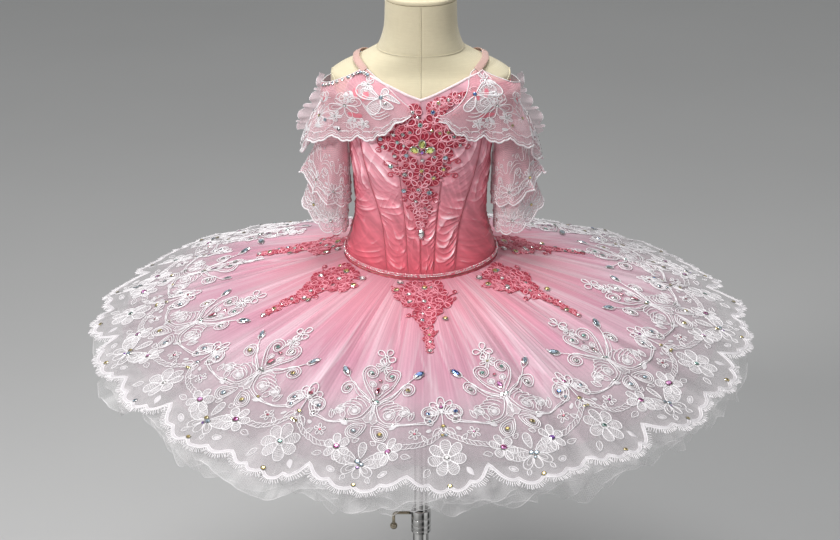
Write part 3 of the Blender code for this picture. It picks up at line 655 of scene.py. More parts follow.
def shader_group(
    name: str,
    inputs: Sequence[tuple[str, str, float]],
    outputs: Sequence[str],
    build: Callable[[Graph, bpy.types.Node, bpy.types.Node], None],
) -> bpy.types.NodeTree:
    """A shared shader node group, made once.

    Args:
        name: the group's name.
        inputs: name, socket kind and default of each input.
        outputs: names of its number outputs.
        build: fills the group between its input and output nodes.

    Returns:
        The node group.
    """
    found = bpy.data.node_groups.get(name)
    if found:
        return found
    tree = bpy.data.node_groups.new(name, "ShaderNodeTree")
    for label, kind, default in inputs:
        socket = tree.interface.new_socket(label, in_out="INPUT", socket_type=kind)
        if kind == "NodeSocketFloat":
            socket.default_value = default
    for label in outputs:
        tree.interface.new_socket(label, in_out="OUTPUT", socket_type="NodeSocketFloat")
    graph = Graph(tree)
    build(graph, graph.add("NodeGroupInput"), graph.add("NodeGroupOutput"))
    return tree


def build_net(graph: Graph, given: bpy.types.Node, result: bpy.types.Node) -> None:
    """Six-sided net from three directions of thread, read in metres."""
    bands = []
    for turn in (0, 60, 120):
        way = (math.cos(math.radians(turn)), math.sin(math.radians(turn)), 0.0)
        along = graph.add(
            "ShaderNodeVectorMath", {0: given.outputs["Vector"], 1: way}, operation="DOT_PRODUCT"
        ).outputs["Value"]
        cells = graph.math("DIVIDE", along, given.outputs["Cell"])
        bands.append(graph.math("PINGPONG", cells, 0.5))
    nearest = graph.math("MINIMUM", graph.math("MINIMUM", bands[0], bands[1]), bands[2])
    thread = graph.add(
        "ShaderNodeMapRange",
        {
            "Value": nearest,
            "From Min": given.outputs["Thread"],
            "From Max": 0.0,
            "To Min": 0.0,
            "To Max": 1.0
        },
        interpolation_type="SMOOTHSTEP",
    )
    graph.put(result.inputs["Thread"], thread.outputs[0])


def build_weave(graph: Graph, given: bpy.types.Node, result: bpy.types.Node) -> None:
    """Crossing threads of a woven or knitted cloth, read in metres."""
    parts = graph.add("ShaderNodeSeparateXYZ", {0: given.outputs["Vector"]})
    warp = graph.math(
        "PINGPONG", graph.math("DIVIDE", parts.outputs["X"], given.outputs["Pitch"]), 0.5
    )
    half_row = graph.math("MULTIPLY", warp, given.outputs["Slant"])
    rows = graph.math(
        "ADD", graph.math("DIVIDE", parts.outputs["Y"], given.outputs["Pitch"]), half_row
    )
    weft = graph.math("PINGPONG", rows, 0.5)
    graph.put(result.inputs["Height"], graph.math("MULTIPLY", graph.math("ADD", warp, weft), 1.0))
    graph.put(result.inputs["Row"], graph.math("MULTIPLY", weft, 2.0))


def build_thread(graph: Graph, given: bpy.types.Node, result: bpy.types.Node) -> None:
    """Slanting stitches along a sewn cord, from the attributes its sweep leaves on it."""
    along = graph.add("ShaderNodeAttribute", attribute_name="along").outputs["Fac"]
    around = graph.add("ShaderNodeAttribute", attribute_name="around").outputs["Fac"]
    stitch = graph.math("ADD", graph.math("DIVIDE", along, given.outputs["Stitch"]), around)
    ridge = graph.math("PINGPONG", stitch, 0.5)
    graph.put(result.inputs["Height"], ridge)
    graph.put(result.inputs["Tone"], graph.math("MULTIPLY", ridge, 2.0))


def build_mottle(graph: Graph, given: bpy.types.Node, result: bpy.types.Node) -> None:
    """Soft unevenness of dye and handling over two scales."""
    where = graph.add("ShaderNodeTexCoord").outputs["Object"]
    broad = graph.noise(where, 14.0, 2.0)
    fine = graph.noise(where, 160.0, 3.0)
    total = graph.math(
        "ADD", graph.math("MULTIPLY", broad, 0.65), graph.math("MULTIPLY", fine, 0.35)
    )
    centred = graph.math("MULTIPLY", graph.math("SUBTRACT", total, 0.5), given.outputs["Amount"])
    graph.put(result.inputs["Tone"], graph.math("ADD", centred, 1.0))


def net_group() -> bpy.types.NodeTree:
    """The shared net pattern."""
    inputs = (
        ("Vector", "NodeSocketVector", 0),
        ("Cell", "NodeSocketFloat", 0.0016),
        ("Thread", "NodeSocketFloat", 0.2)
    )
    return shader_group("net_pattern", inputs, ("Thread",), build_net)


def weave_group() -> bpy.types.NodeTree:
    """The shared weave pattern."""
    inputs = (
        ("Vector", "NodeSocketVector", 0),
        ("Pitch", "NodeSocketFloat", 0.0008),
        ("Slant", "NodeSocketFloat", 0.0)
    )
    return shader_group("weave_pattern", inputs, ("Height", "Row"), build_weave)


def thread_group() -> bpy.types.NodeTree:
    """The shared stitch pattern."""
    return shader_group(
        "thread_pattern", (("Stitch", "NodeSocketFloat", 0.0012),), ("Height", "Tone"), build_thread
    )


def mottle_group() -> bpy.types.NodeTree:
    """The shared unevenness of dye."""
    return shader_group("mottle", (("Amount", "NodeSocketFloat", 0.2),), ("Tone",), build_mottle)


class Paint(Graph):
    """One material's graph round its Principled shader."""

    def __init__(self, name: str, **values: Any) -> None:
        self.material = bpy.data.materials.new(name)
        self.material.use_nodes = True
        super().__init__(self.material.node_tree)
        self.shader = self.tree.nodes["Principled BSDF"]
        for key, value in values.items():
            self.shader.inputs[
                key.replace("_", " ").title().replace("Ior", "IOR")
            ].default_value = value

    def use(self, tree: bpy.types.NodeTree, **values: Any) -> bpy.types.Node:
        """One of the shared groups."""
        node = self.add("ShaderNodeGroup", node_tree=tree)
        for key, value in values.items():
            self.put(node.inputs[key.title()], value)
        return node

    def uv(self) -> bpy.types.NodeSocket:
        """The piece's own flat coordinates, in metres."""
        return self.add("ShaderNodeUVMap", uv_map="UVMap").outputs[0]

    def value(self, name: str) -> bpy.types.NodeSocket:
        """A number that the piece carries on its points."""
        return self.add("ShaderNodeAttribute", attribute_name=name).outputs["Fac"]

    def toned(self, colour: Any, tone: Any) -> bpy.types.NodeSocket:
        """A colour made lighter or darker by a number about one."""
        node = self.add("ShaderNodeVectorMath", operation="SCALE")
        self.put(
            node.inputs[0],
            colour if isinstance(colour, bpy.types.NodeSocket) else tuple(colour[:3])
        )
        self.put(node.inputs["Scale"], tone)
        return node.outputs[0]

    def colour(self, socket: Any) -> None:
        """Set the base colour."""
        self.put(
            self.shader.inputs["Base Color"],
            socket if isinstance(socket, bpy.types.NodeSocket) else rgba(socket)
        )

    def bump(self, height: Any, distance: float, strength: float = 1.0) -> None:
        """Raise the surface by a height from 0 to 1 times a distance in metres, over any earlier
        bump."""
        node = self.add(
            "ShaderNodeBump", {"Height": height, "Distance": distance, "Strength": strength}
        )
        for link in self.shader.inputs["Normal"].links:
            self.put(node.inputs["Normal"], link.from_socket)
        self.put(self.shader.inputs["Normal"], node.outputs[0])


# ---------------------------------------------------------------- finishes
class Finish:
    """A surface's look. Each kind builds its own material, once."""

    name: str
    _made: dict[str, bpy.types.Material] = {}

    def material(self) -> bpy.types.Material:
        """The finish's material."""
        if self.name not in self._made:
            self._made[self.name] = self.build()
        return self._made[self.name]

    def build(self) -> bpy.types.Material:
        """Make the material."""
        raise NotImplementedError


@dataclass(frozen=True)
class SatinFinish(Finish):
    """Glossy satin, dyed from a pale top to a coral hem, with painted light: highlights and lighter tone
    on wrinkle crests, sheen bands, and shade towards edges turned from view.
    """

    name: str
    pale: Colour
    deep: Colour
    # painted highlight colour, mixed in on the wrinkle crests
    crest_highlight: Colour = (0.95, 0.74, 0.79)
    # painted shade: a deeper crimson towards edges that turn away from the view
    edge: Colour = (0.60, 0.035, 0.085)
    # strength of the painted sheen bands
    painted_sheen: float = 1.1
    low: float = 0.715
    high: float = 0.900

    def build(self) -> bpy.types.Material:
        """Make the material."""
        paint = Paint(self.name, roughness=0.34, sheen_weight=0.0, specular_ior_level=0.55)
        height = paint.add(
            "ShaderNodeSeparateXYZ", {0: paint.add("ShaderNodeTexCoord").outputs["Object"]}
        )
        share = paint.add(
            "ShaderNodeMapRange", {
                "Value": height.outputs["Z"], "From Min": self.low, "From Max": self.high
            }
        )
        dyed = paint.mix(share.outputs[0], self.deep, self.pale)
        fold = paint.value("fold")
        stretched = paint.add(
            "ShaderNodeMapping", {"Vector": paint.uv(), "Scale": (26.0, 92.0, 1.0)}
        ).outputs[0]
        creases = paint.noise(stretched, 1.0, 3.0, 0.55)
        # painted highlight: the crests of the folds and noise creases turn whitish pink
        crest_highlight_share = paint.math(
            "MULTIPLY",
            paint.math("SUBTRACT", paint.math("ADD", fold, creases), 0.84, clamp=True),
            1.35
        )
        crest_highlighted = paint.mix(crest_highlight_share, dyed, self.crest_highlight)
        # painted shade: the colour darkens towards edges that turn away from the view
        turned = paint.add("ShaderNodeLayerWeight", {"Blend": 0.5}).outputs["Facing"]
        edge_shaded = paint.mix(
            paint.math("MULTIPLY", paint.math("POWER", turned, 2.0), 0.95), crest_highlighted, self.edge
        )
        # painted reflection: slanting bands of lighter and darker sheen across the satin
        turned_cloth = paint.add(
            "ShaderNodeMapping", {"Vector": paint.uv(), "Rotation": (0.0, 0.0, 0.7)}
        ).outputs[0]
        slanting = paint.add(
            "ShaderNodeMapping", {"Vector": turned_cloth, "Scale": (16.0, 70.0, 1.0)}
        ).outputs[0]
        bands = paint.math(
            "MULTIPLY",
            paint.math("SUBTRACT", paint.noise(slanting, 1.0, 2.0, 0.6), 0.5),
            self.painted_sheen
        )
        tone = paint.math("ADD", bands, 0.89)
        # painted light and shade: the dye lightens with each wrinkle's fold height
        paint.colour(
            paint.toned(edge_shaded, paint.math("ADD", tone, paint.math("MULTIPLY", fold, 0.46)))
        )
        weave = paint.use(weave_group(), vector=paint.uv(), pitch=0.0006, slant=2.0)
        paint.bump(creases, 0.0016, 0.6)
        paint.bump(weave.outputs["Height"], 0.00004, 0.35)
        rough = paint.math("ADD", paint.math("MULTIPLY", weave.outputs["Row"], 0.06), 0.20)
        paint.put(paint.shader.inputs["Roughness"], rough)
        return paint.material


@dataclass(frozen=True)
class TulleFinish(Finish):
    """Soft gathered tulle whose dye fades from the hem to the rim, with painted light: highlight streaks
    along its pleats, lighter fold ridges and darker fold hollows.
    """

    name: str
    hem: Colour
    middle: Colour
    rim: Colour
    # painted highlight colour along the pleats
    pleat_highlight: Colour = (0.95, 0.84, 0.87)
    whiten: float = 0.62
    cover: float = 0.93
    rim_cover: float = 0.12

    def build(self) -> bpy.types.Material:
        """Make the material."""
        paint = Paint(
            self.name,
            roughness=0.75,
            sheen_weight=0.45,
            sheen_roughness=0.4,
            specular_ior_level=0.2
        )
        share, fold, pleat_highlight = paint.value("share"), paint.value("fold"), paint.value("pleat_highlight")
        dyed = paint.ramp(
            share, (0.0, self.hem), (0.14, self.hem), (0.46, self.middle), (0.84, self.rim)
        )
        # painted light and shade: fold ridges lighter, hollows darker
        lit = paint.math("MULTIPLY", fold, 0.07)
        streak = paint.math("ADD", paint.math("MULTIPLY", paint.value("streak"), 0.035), 1.0)
        # painted highlight: how strongly whitish streaks lie along the soft pleats
        doubled = paint.math("MULTIPLY", pleat_highlight, self.whiten)
        pleat_highlight_share = paint.math("DIVIDE", doubled, paint.math("ADD", doubled, 1.0))
        pale = paint.mix(pleat_highlight_share, dyed, self.pleat_highlight)
        paint.colour(paint.toned(pale, paint.math("ADD", streak, lit)))
        net = paint.use(net_group(), vector=paint.uv(), cell=0.0013, thread=0.22)
        thin = paint.add(
            "ShaderNodeMapRange", {"Value": share, "From Min": 0.62, "From Max": 0.905}
        )
        solid = paint.math(
            "SUBTRACT",
            self.cover,
            paint.math("MULTIPLY", thin.outputs[0], self.cover - self.rim_cover)
        )
        holes = paint.math("MULTIPLY", paint.math("SUBTRACT", 1.0, net.outputs["Thread"]), 0.12)
        dense = paint.math("ADD", solid, paint.math("MULTIPLY", fold, 0.08))
        paint.put(paint.shader.inputs["Alpha"], paint.math("SUBTRACT", dense, holes, clamp=True))
        paint.bump(net.outputs["Thread"], 0.00008, 0.4)
        return paint.material


@dataclass(frozen=True)
class NetFinish(Finish):
    """See-through net: stiff under-skirt net, and the fine ground of the lace, with painted light and
    shade on its folds.
    """

    name: str
    tint: Colour
    cover: float
    thread_cover: float
    cell: float = 0.0018
    inner: Colour | None = None
    fades: bool = False

    def build(self) -> bpy.types.Material:
        """Make the material."""
        paint = Paint(
            self.name, roughness=0.6, sheen_weight=0.3, sheen_roughness=0.4, specular_ior_level=0.3
        )
        net = paint.use(net_group(), vector=paint.uv(), cell=self.cell, thread=0.2)
        tone = paint.use(mottle_group(), amount=0.2).outputs["Tone"]
        tint: Any = self.tint
        if self.inner:
            tint = paint.mix(paint.value("share"), self.inner, self.tint)
        # painted light and shade: lighter on fold crests, darker in their hollows
        fold = paint.math("MULTIPLY", paint.value("fold"), 0.15)
        paint.colour(paint.toned(tint, paint.math("ADD", tone, fold)))
        cover = paint.math(
            "ADD", paint.math("MULTIPLY", net.outputs["Thread"], self.thread_cover), self.cover
        )
        dense = paint.math(
            "ADD", cover, paint.math("MULTIPLY", paint.value("dense"), 0.5), clamp=True
        )
        if self.fades:
            faded = paint.math("MULTIPLY", paint.value("share"), 2.5, clamp=True)
            dense = paint.math("MULTIPLY", dense, paint.math("SMOOTH_MIN", faded, 1.0, 0.1))
        paint.put(paint.shader.inputs["Alpha"], dense)
        paint.bump(net.outputs["Thread"], 0.0001, 0.4)
        return paint.material


@dataclass(frozen=True)
class ThreadFinish(Finish):
    """Twisted embroidery thread, with a brighter one where a cord's own dye asks for it."""

    name: str
    light: Colour
    shade: Colour
    stitch: float = 0.0012
    bright: Colour | None = None

    def build(self) -> bpy.types.Material:
        """Make the material."""
        paint = Paint(
            self.name, roughness=0.5, sheen_weight=0.5, sheen_roughness=0.3, specular_ior_level=0.45
        )
        thread = paint.use(thread_group(), stitch=self.stitch)
        dyed = paint.mix(thread.outputs["Tone"], self.shade, self.light)
        if self.bright:
            dyed = paint.mix(paint.value("dye"), dyed, self.bright)
        paint.colour(paint.toned(dyed, paint.use(mottle_group(), amount=0.35).outputs["Tone"]))
        paint.bump(thread.outputs["Height"], 0.0002, 0.5)
        return paint.material


@dataclass(frozen=True)
class FillFinish(Finish):
    """Close satin stitch or woven petals, raised over their edges."""

    name: str
    light: Colour
    shade: Colour
    pitch: float = 0.0007

    def build(self) -> bpy.types.Material:
        """Make the material."""
        paint = Paint(self.name, roughness=0.45, sheen_weight=0.4, sheen_roughness=0.3)
        weave = paint.use(weave_group(), vector=paint.uv(), pitch=self.pitch, slant=0.4)
        dyed = paint.mix(weave.outputs["Row"], self.shade, self.light)
        paint.colour(paint.toned(dyed, paint.use(mottle_group(), amount=0.3).outputs["Tone"]))
        paint.bump(weave.outputs["Height"], 0.00018, 0.6)
        return paint.material


@dataclass(frozen=True)
class StoneFinish(Finish):
    """Foil-backed cut glass in a metal cup. Tint and facets come with each stone; each facet's random
    brightness and tint shift is a painted glint.
    """

    name: str

    def build(self) -> bpy.types.Material:
        """Make the material."""
        paint = Paint(
            self.name, roughness=0.08, coat_weight=1.0, coat_roughness=0.02, specular_ior_level=0.9
        )
        tint = paint.add("ShaderNodeAttribute", attribute_name="tint").outputs["Color"]
        second = paint.add("ShaderNodeAttribute", attribute_name="glint").outputs["Color"]
        facet_glint, cup = paint.value("facet_glint"), paint.value("cup")
        shifted = paint.mix(
            paint.math("MULTIPLY", paint.math("SUBTRACT", facet_glint, 0.45, clamp=True), 1.6),
            tint,
            second
        )
        # painted glints: each facet gets its own random brightness
        lit = paint.toned(
            shifted,
            paint.math("ADD", paint.math("MULTIPLY", paint.math("POWER", facet_glint, 2.4), 2.3), 0.14)
        )
        paint.colour(paint.mix(cup, lit, (0.62, 0.60, 0.58)))
        paint.put(
            paint.shader.inputs["Metallic"],
            paint.math("ADD", paint.math("MULTIPLY", cup, 0.4), 0.6)
        )
        return paint.material


@dataclass(frozen=True)
class JerseyFinish(Finish):
    """Fine knitted cover of the dress form."""

    name: str
    tint: Colour
    shade: Colour

    def build(self) -> bpy.types.Material:
        """Make the material."""
        paint = Paint(
            self.name,
            roughness=0.85,
            sheen_weight=0.25,
            sheen_roughness=0.5,
            specular_ior_level=0.2
        )
        knit = paint.use(weave_group(), vector=paint.uv(), pitch=0.0011, slant=1.0)
        slubs = paint.add(
            "ShaderNodeMapping", {"Vector": paint.uv(), "Scale": (30.0, 900.0, 1.0)}
        ).outputs[0]
        streaks = paint.noise(slubs, 1.0, 3.0)
        dyed = paint.mix(
            paint.math("MULTIPLY", streaks, knit.outputs["Row"]), self.shade, self.tint
        )
        worn = paint.use(mottle_group(), amount=0.22).outputs["Tone"]
        paint.colour(paint.toned(dyed, worn))
        paint.bump(knit.outputs["Height"], 0.00022, 0.5)
        return paint.material


@dataclass(frozen=True)
class MetalFinish(Finish):
    """Polished, brass or painted metal with fine scratches and smudges; polished steel also gets painted
    reflection streaks.
    """

    name: str
    tint: Colour
    rough: float = 0.16
    metallic: float = 1.0
    speckle: float = 0.0
    bands: bool = False

    def build(self) -> bpy.types.Material:
        """Make the material."""
        paint = Paint(self.name, metallic=self.metallic, roughness=self.rough)
        where = paint.add("ShaderNodeTexCoord").outputs["Object"]
        drawn = paint.add(
            "ShaderNodeMapping", {"Vector": where, "Scale": (900.0, 900.0, 12.0)}
        ).outputs[0]
        scratches = paint.noise(drawn, 1.0, 2.0)
        smudges = paint.noise(where, 38.0, 4.0, 0.6)
        rough = paint.math(
            "ADD",
            paint.math(
                "ADD",
                paint.math("MULTIPLY", smudges, 0.16),
                paint.math("MULTIPLY", scratches, 0.10)
            ),
            self.rough - 0.12,
            clamp=True,
        )
        paint.put(paint.shader.inputs["Roughness"], rough)
        grain = paint.noise(where, 900.0, 1.0)
        tone = paint.math("ADD", paint.math("MULTIPLY", smudges, 0.22), 0.88)
        if self.speckle:
            tone = paint.math(
                "ADD",
                tone,
                paint.math("MULTIPLY", paint.math("SUBTRACT", grain, 0.5), self.speckle)
            )
        # banded steel: painted reflection streaks of the room in the base colour
        paint.colour(paint.toned(self.banded(paint) if self.bands else self.tint, tone))
        paint.bump(scratches, 0.00003, 0.25)
        return paint.material

    def banded(self, paint: Paint) -> bpy.types.NodeSocket:
        """Upright streaks, light and dark, such as a polished tube shows of the room round it."""
        facing = paint.add(
            "ShaderNodeSeparateXYZ", {0: paint.add("ShaderNodeTexCoord").outputs["Normal"]}
        )
        azimuth = paint.math("ARCTAN2", facing.outputs["Y"], facing.outputs["X"])
        share = paint.math("FRACT", paint.math("ADD", paint.math("DIVIDE", azimuth, math.pi), 1.0))
        stops = (
            (0.0, 0.08), (0.19, 0.07), (0.23, 0.62), (0.38, 0.78), (0.45, 0.34), (0.52, 0.26),
            (0.535, 0.03),
            (0.595, 0.02), (0.62, 1.00), (0.725, 0.90), (0.75, 0.06), (0.80, 0.05), (0.83, 0.75),
            (1.0, 0.55),
        )
        streaks = paint.ramp(
            share, *((place, tuple(tone * part for part in self.tint)) for place, tone in stops)
        )
        level = paint.math("MULTIPLY", paint.math("ABSOLUTE", facing.outputs["Z"]), 1.4, clamp=True)
        return paint.mix(level, streaks, self.tint)


@dataclass(frozen=True)
class ElasticFinish(Finish):
    """Ribbed elastic webbing."""

    name: str
    tint: Colour
    shade: Colour

    def build(self) -> bpy.types.Material:
        """Make the material."""
        paint = Paint(self.name, roughness=0.6, sheen_weight=0.3, sheen_roughness=0.4)
        weave = paint.use(weave_group(), vector=paint.uv(), pitch=0.0012, slant=0.0)
        dyed = paint.mix(weave.outputs["Row"], self.shade, self.tint)
        paint.colour(paint.toned(dyed, paint.use(mottle_group(), amount=0.25).outputs["Tone"]))
        paint.bump(weave.outputs["Height"], 0.0003, 0.6)
        return paint.material


@dataclass(frozen=True)
class FloorFinish(Finish):
    """Plain pale studio floor."""

    name: str
    tint: Colour

    def build(self) -> bpy.types.Material:
        """Make the material."""
        paint = Paint(self.name, roughness=0.7, specular_ior_level=0.2)
        where = paint.add("ShaderNodeTexCoord").outputs["Object"]
        cloudy = paint.noise(where, 1.3, 4.0)
        paint.colour(
            paint.toned(self.tint, paint.math("ADD", paint.math("MULTIPLY", cloudy, 0.10), 0.95))
        )
        return paint.material


BODICE_SATIN = SatinFinish("bodice_satin", (0.82, 0.45, 0.53), (0.78, 0.14, 0.19))
# the fourth colour is the painted highlight along the tulle's pleats
SKIRT_TULLE = TulleFinish(
    "skirt_tulle", (0.76, 0.31, 0.39), (0.60, 0.28, 0.38), (0.58, 0.42, 0.49), (0.82, 0.70, 0.75)
)
STIFF_NET = NetFinish("stiff_net", (0.78, 0.77, 0.78), 0.03, 0.16, 0.0024, (0.76, 0.52, 0.58))
LACE_GROUND = NetFinish("lace_ground", (0.66, 0.60, 0.63), 0.12, 0.26, 0.0013, fades=True)
SLEEVE_GROUND = NetFinish(
    "sleeve_ground", (0.84, 0.60, 0.65), 0.28, 0.46, 0.0024, (0.84, 0.42, 0.48)
)
PUFF_TULLE = NetFinish("puff_tulle", (0.86, 0.66, 0.71), 0.30, 0.30, 0.0014)
PETAL_NET = NetFinish("petal_net", (0.84, 0.81, 0.83), 0.10, 0.45, 0.0016)
WHITE_THREAD = ThreadFinish("white_thread", (0.96, 0.95, 0.96), (0.76, 0.72, 0.75))
CORAL_THREAD = ThreadFinish(
    "coral_thread", (0.80, 0.11, 0.17), (0.34, 0.012, 0.035), 0.0012, (1.0, 0.56, 0.64)
)
SEAM_THREAD = ThreadFinish("seam_thread", (0.56, 0.14, 0.17), (0.36, 0.07, 0.09), 0.0022)
FORM_THREAD = ThreadFinish("form_thread", (0.70, 0.64, 0.48), (0.54, 0.48, 0.34), 0.0025)
WHITE_FILL = FillFinish("white_fill", (0.82, 0.80, 0.82), (0.52, 0.48, 0.51), 0.0010)
CORAL_FILL = FillFinish("coral_fill", (0.84, 0.42, 0.48), (0.66, 0.20, 0.26))
MOTIF_THREAD = ThreadFinish(
    "motif_thread", (0.68, 0.10, 0.16), (0.32, 0.015, 0.04), 0.0012, (0.86, 0.34, 0.42)
)
BLUSH_FILL = FillFinish("blush_fill", (0.78, 0.24, 0.30), (0.62, 0.13, 0.18))
GLASS = StoneFinish("cut_glass")
JERSEY = JerseyFinish("form_jersey", (0.78, 0.72, 0.54), (0.62, 0.55, 0.38))
STEEL = MetalFinish("polished_steel", (0.80, 0.80, 0.79), 0.14, bands=True)
BRASS = MetalFinish("lever_brass", (0.42, 0.37, 0.28), 0.22)
BASE_PAINT = MetalFinish("base_paint", (0.34, 0.34, 0.35), 0.42, 0.6, 0.35)
STRAP_ELASTIC = ElasticFinish("strap_elastic", (0.70, 0.46, 0.41), (0.54, 0.33, 0.29))
HOOK_STEEL = MetalFinish("hook_steel", (0.60, 0.60, 0.61), 0.28)
BINDING = ThreadFinish("edge_binding", (0.93, 0.80, 0.82), (0.86, 0.64, 0.68), 0.005)
CORAL_NET = NetFinish("coral_net", (0.40, 0.022, 0.050), 0.74, 0.26, 0.0019)
RUBBER = MetalFinish("rubber_ring", (0.05, 0.05, 0.05), 0.6, 0.0)
FLOOR = FloorFinish("floor", (0.60, 0.60, 0.60))


# ---------------------------------------------------------------- meshes
def mesh_object(
    name: str,
    points: Array,
    faces: Iterable[Sequence[int]],
    finishes: Sequence[Finish],
    smooth: bool = True,
) -> bpy.types.Object:
    """One object from points and faces."""
    mesh = bpy.data.meshes.new(name)
    mesh.from_pydata(np.asarray(points, float).tolist(), [], [tuple(face) for face in faces])
    for finish in finishes:
        mesh.materials.append(finish.material())
    if smooth:
        mesh.shade_smooth()
    made = bpy.data.objects.new(name, mesh)
    bpy.context.scene.collection.objects.link(made)
    return made


def set_field(obj: bpy.types.Object, name: str, values: Array, kind: str = "FLOAT") -> None:
    """Store one value for each of the piece's points."""
    attribute = obj.data.attributes.new(name, kind, "POINT")
    key = {"FLOAT": "value", "FLOAT_VECTOR": "vector", "FLOAT_COLOR": "color"}[kind]
    attribute.data.foreach_set(key, np.ascontiguousarray(values, np.float32).ravel())


def corner_vertices(made: bpy.types.Object) -> Array:
    """The vertex at each corner of each face."""
    index = np.empty(len(made.data.loops), np.int64)
    made.data.loops.foreach_get("vertex_index", index)
    return index


def cloth_surface(
    name: str,
    points: Array,
    finish: Finish,
    ring: bool = False,
    flat: tuple[float, float] | None = None,
    fields: dict[str, Array] | None = None,
    uv: Array | None = None,
) -> bpy.types.Object:
    """One layer of cloth over a grid of points.

    Args:
        name: the piece's name.
        points: grid of shape (rows, columns, 3). Seen from outside,
        columns run anticlockwise and rows up.
        finish: its look.
        ring: whether the last column joins the first.
        flat: width and length that the piece's flat coordinates span,
        in metres; measured if left out.
        fields: numbers for each point, of shape (rows, columns).
        uv: the piece's flat coordinates themselves, of shape (rows, columns, 2).

    Returns:
        The piece.
    """
    rows, columns = points.shape[:2]
    index = np.arange(rows * columns).reshape(rows, columns)
    if uv is None:
        if flat is None:
            middle = points[rows // 2]
            flat = (
                float(np.linalg.norm(np.diff(middle, axis=0), axis=1).sum()),
                float(np.linalg.norm(np.diff(points[:, columns // 2], axis=0), axis=1).sum()),
            )
        spans = columns if ring else columns - 1
        across, along = np.meshgrid(
            np.arange(spans + 1) / spans * flat[0], np.linspace(0, flat[1], rows)
        )
        uv = np.stack([across, along], axis=-1)
    elif ring:
        last = uv[:, -1:] * 2 - uv[:, -2:-1]
        uv = np.concatenate([uv, last], axis=1)
    if ring:
        index = np.concatenate([index, index[:, :1]], axis=1)
    corners = [(slice(None, -1), slice(None, -1)), (slice(None, -1), slice(1, None))]
    corners += [(slice(1, None), slice(1, None)), (slice(1, None), slice(None, -1))]
    quads = np.stack([index[c] for c in corners], axis=-1).reshape(-1, 4)
    made = mesh_object(name, points.reshape(-1, 3), quads.tolist(), [finish])
    layer = made.data.uv_layers.new(name="UVMap")
    flat_corners = np.stack([uv[c] for c in corners], axis=2).reshape(-1, 2)
    layer.data.foreach_set("uv", np.ascontiguousarray(flat_corners, np.float32).ravel())
    for key, values in (fields or {}).items():
        set_field(made, key, np.broadcast_to(values, (rows, columns)))
    return made


def lathe(
    name: str,
    profile: Sequence[tuple[float, float]],
    finish: Finish,
    sides: int = 96,
    closed: bool = True,
    bevel: float = 0.0004,
) -> bpy.types.Object:
    """A turned solid from its outline of (radius, height), run anticlockwise, with its corners
    eased."""
    outline = eased(profile, bevel, closed)
    turn = np.linspace(0, 2 * math.pi, sides, endpoint=False)
    radius, height = outline[:, 0], outline[:, 1]
    points = np.stack(
        [
            np.outer(np.cos(turn), radius),
            np.outer(np.sin(turn), radius),
            np.tile(height, (sides, 1))
        ], axis=-1
    )
    count = len(outline)
    faces = []
    for side in range(sides):
        here, there = side * count, (side + 1) % sides * count
        for i in range(count if closed else count - 1):
            j = (i + 1) % count
            faces.append((here + i, there + i, there + j, here + j))
    if not closed:
        faces.append(tuple(side * count for side in reversed(range(sides))))
        faces.append(tuple(side * count + count - 1 for side in range(sides)))
    made = mesh_object(name, points.reshape(-1, 3), faces, [finish])
    made.data.set_sharp_from_angle(angle=math.radians(50))
    return made


def eased(profile: Sequence[tuple[float, float]], bevel: float, closed: bool) -> Array:
    """The outline with each corner cut back to a small three-point round."""
    points = np.asarray(profile, float)
    count = len(points)
    out = []
    for i in range(count):
        if not closed and i in (0, count - 1):
            out.append(points[i])
            continue
        before, here, after = points[i - 1], points[i], points[(i + 1) % count]
        room = 0.4 * min(np.linalg.norm(before - here), np.linalg.norm(after - here))
        cut = min(bevel, room)
        a = here + unit(before - here) * cut
        b = here + unit(after - here) * cut
        out += [a, (a + b) / 4 + here / 2, b]
    return np.array(out)


def swept(
    name: str,
    path: Array,
    radii: Array,
    finish: Finish,
    sides: int = 24,
) -> bpy.types.Object:
    """A closed round bar along a path that lies in one upright plane, with a radius at each
    point."""
    runs = unit(np.gradient(path, axis=0))
    across = np.array([0.0, 1.0, 0.0])
    lifts = np.cross(runs, across)
    turn = np.linspace(0, 2 * math.pi, sides, endpoint=False)
    rings = (
        path[:, None]
        + radii[:, None, None] * (
            np.cos(turn)[None, :, None] * across + np.sin(turn)[None, :, None] * lifts[:, None]
        )
    )
    rows = len(path)
    faces = []
    for row in range(rows - 1):
        for c in range(sides):
            d = (c + 1) % sides
            faces.append(
                (row * sides + c, row * sides + d, (row + 1) * sides + d, (row + 1) * sides + c)
            )
    faces.append(tuple(reversed(range(sides))))
    faces.append(tuple(range((rows - 1) * sides, rows * sides)))
    return mesh_object(name, rings.reshape(-1, 3), faces, [finish])


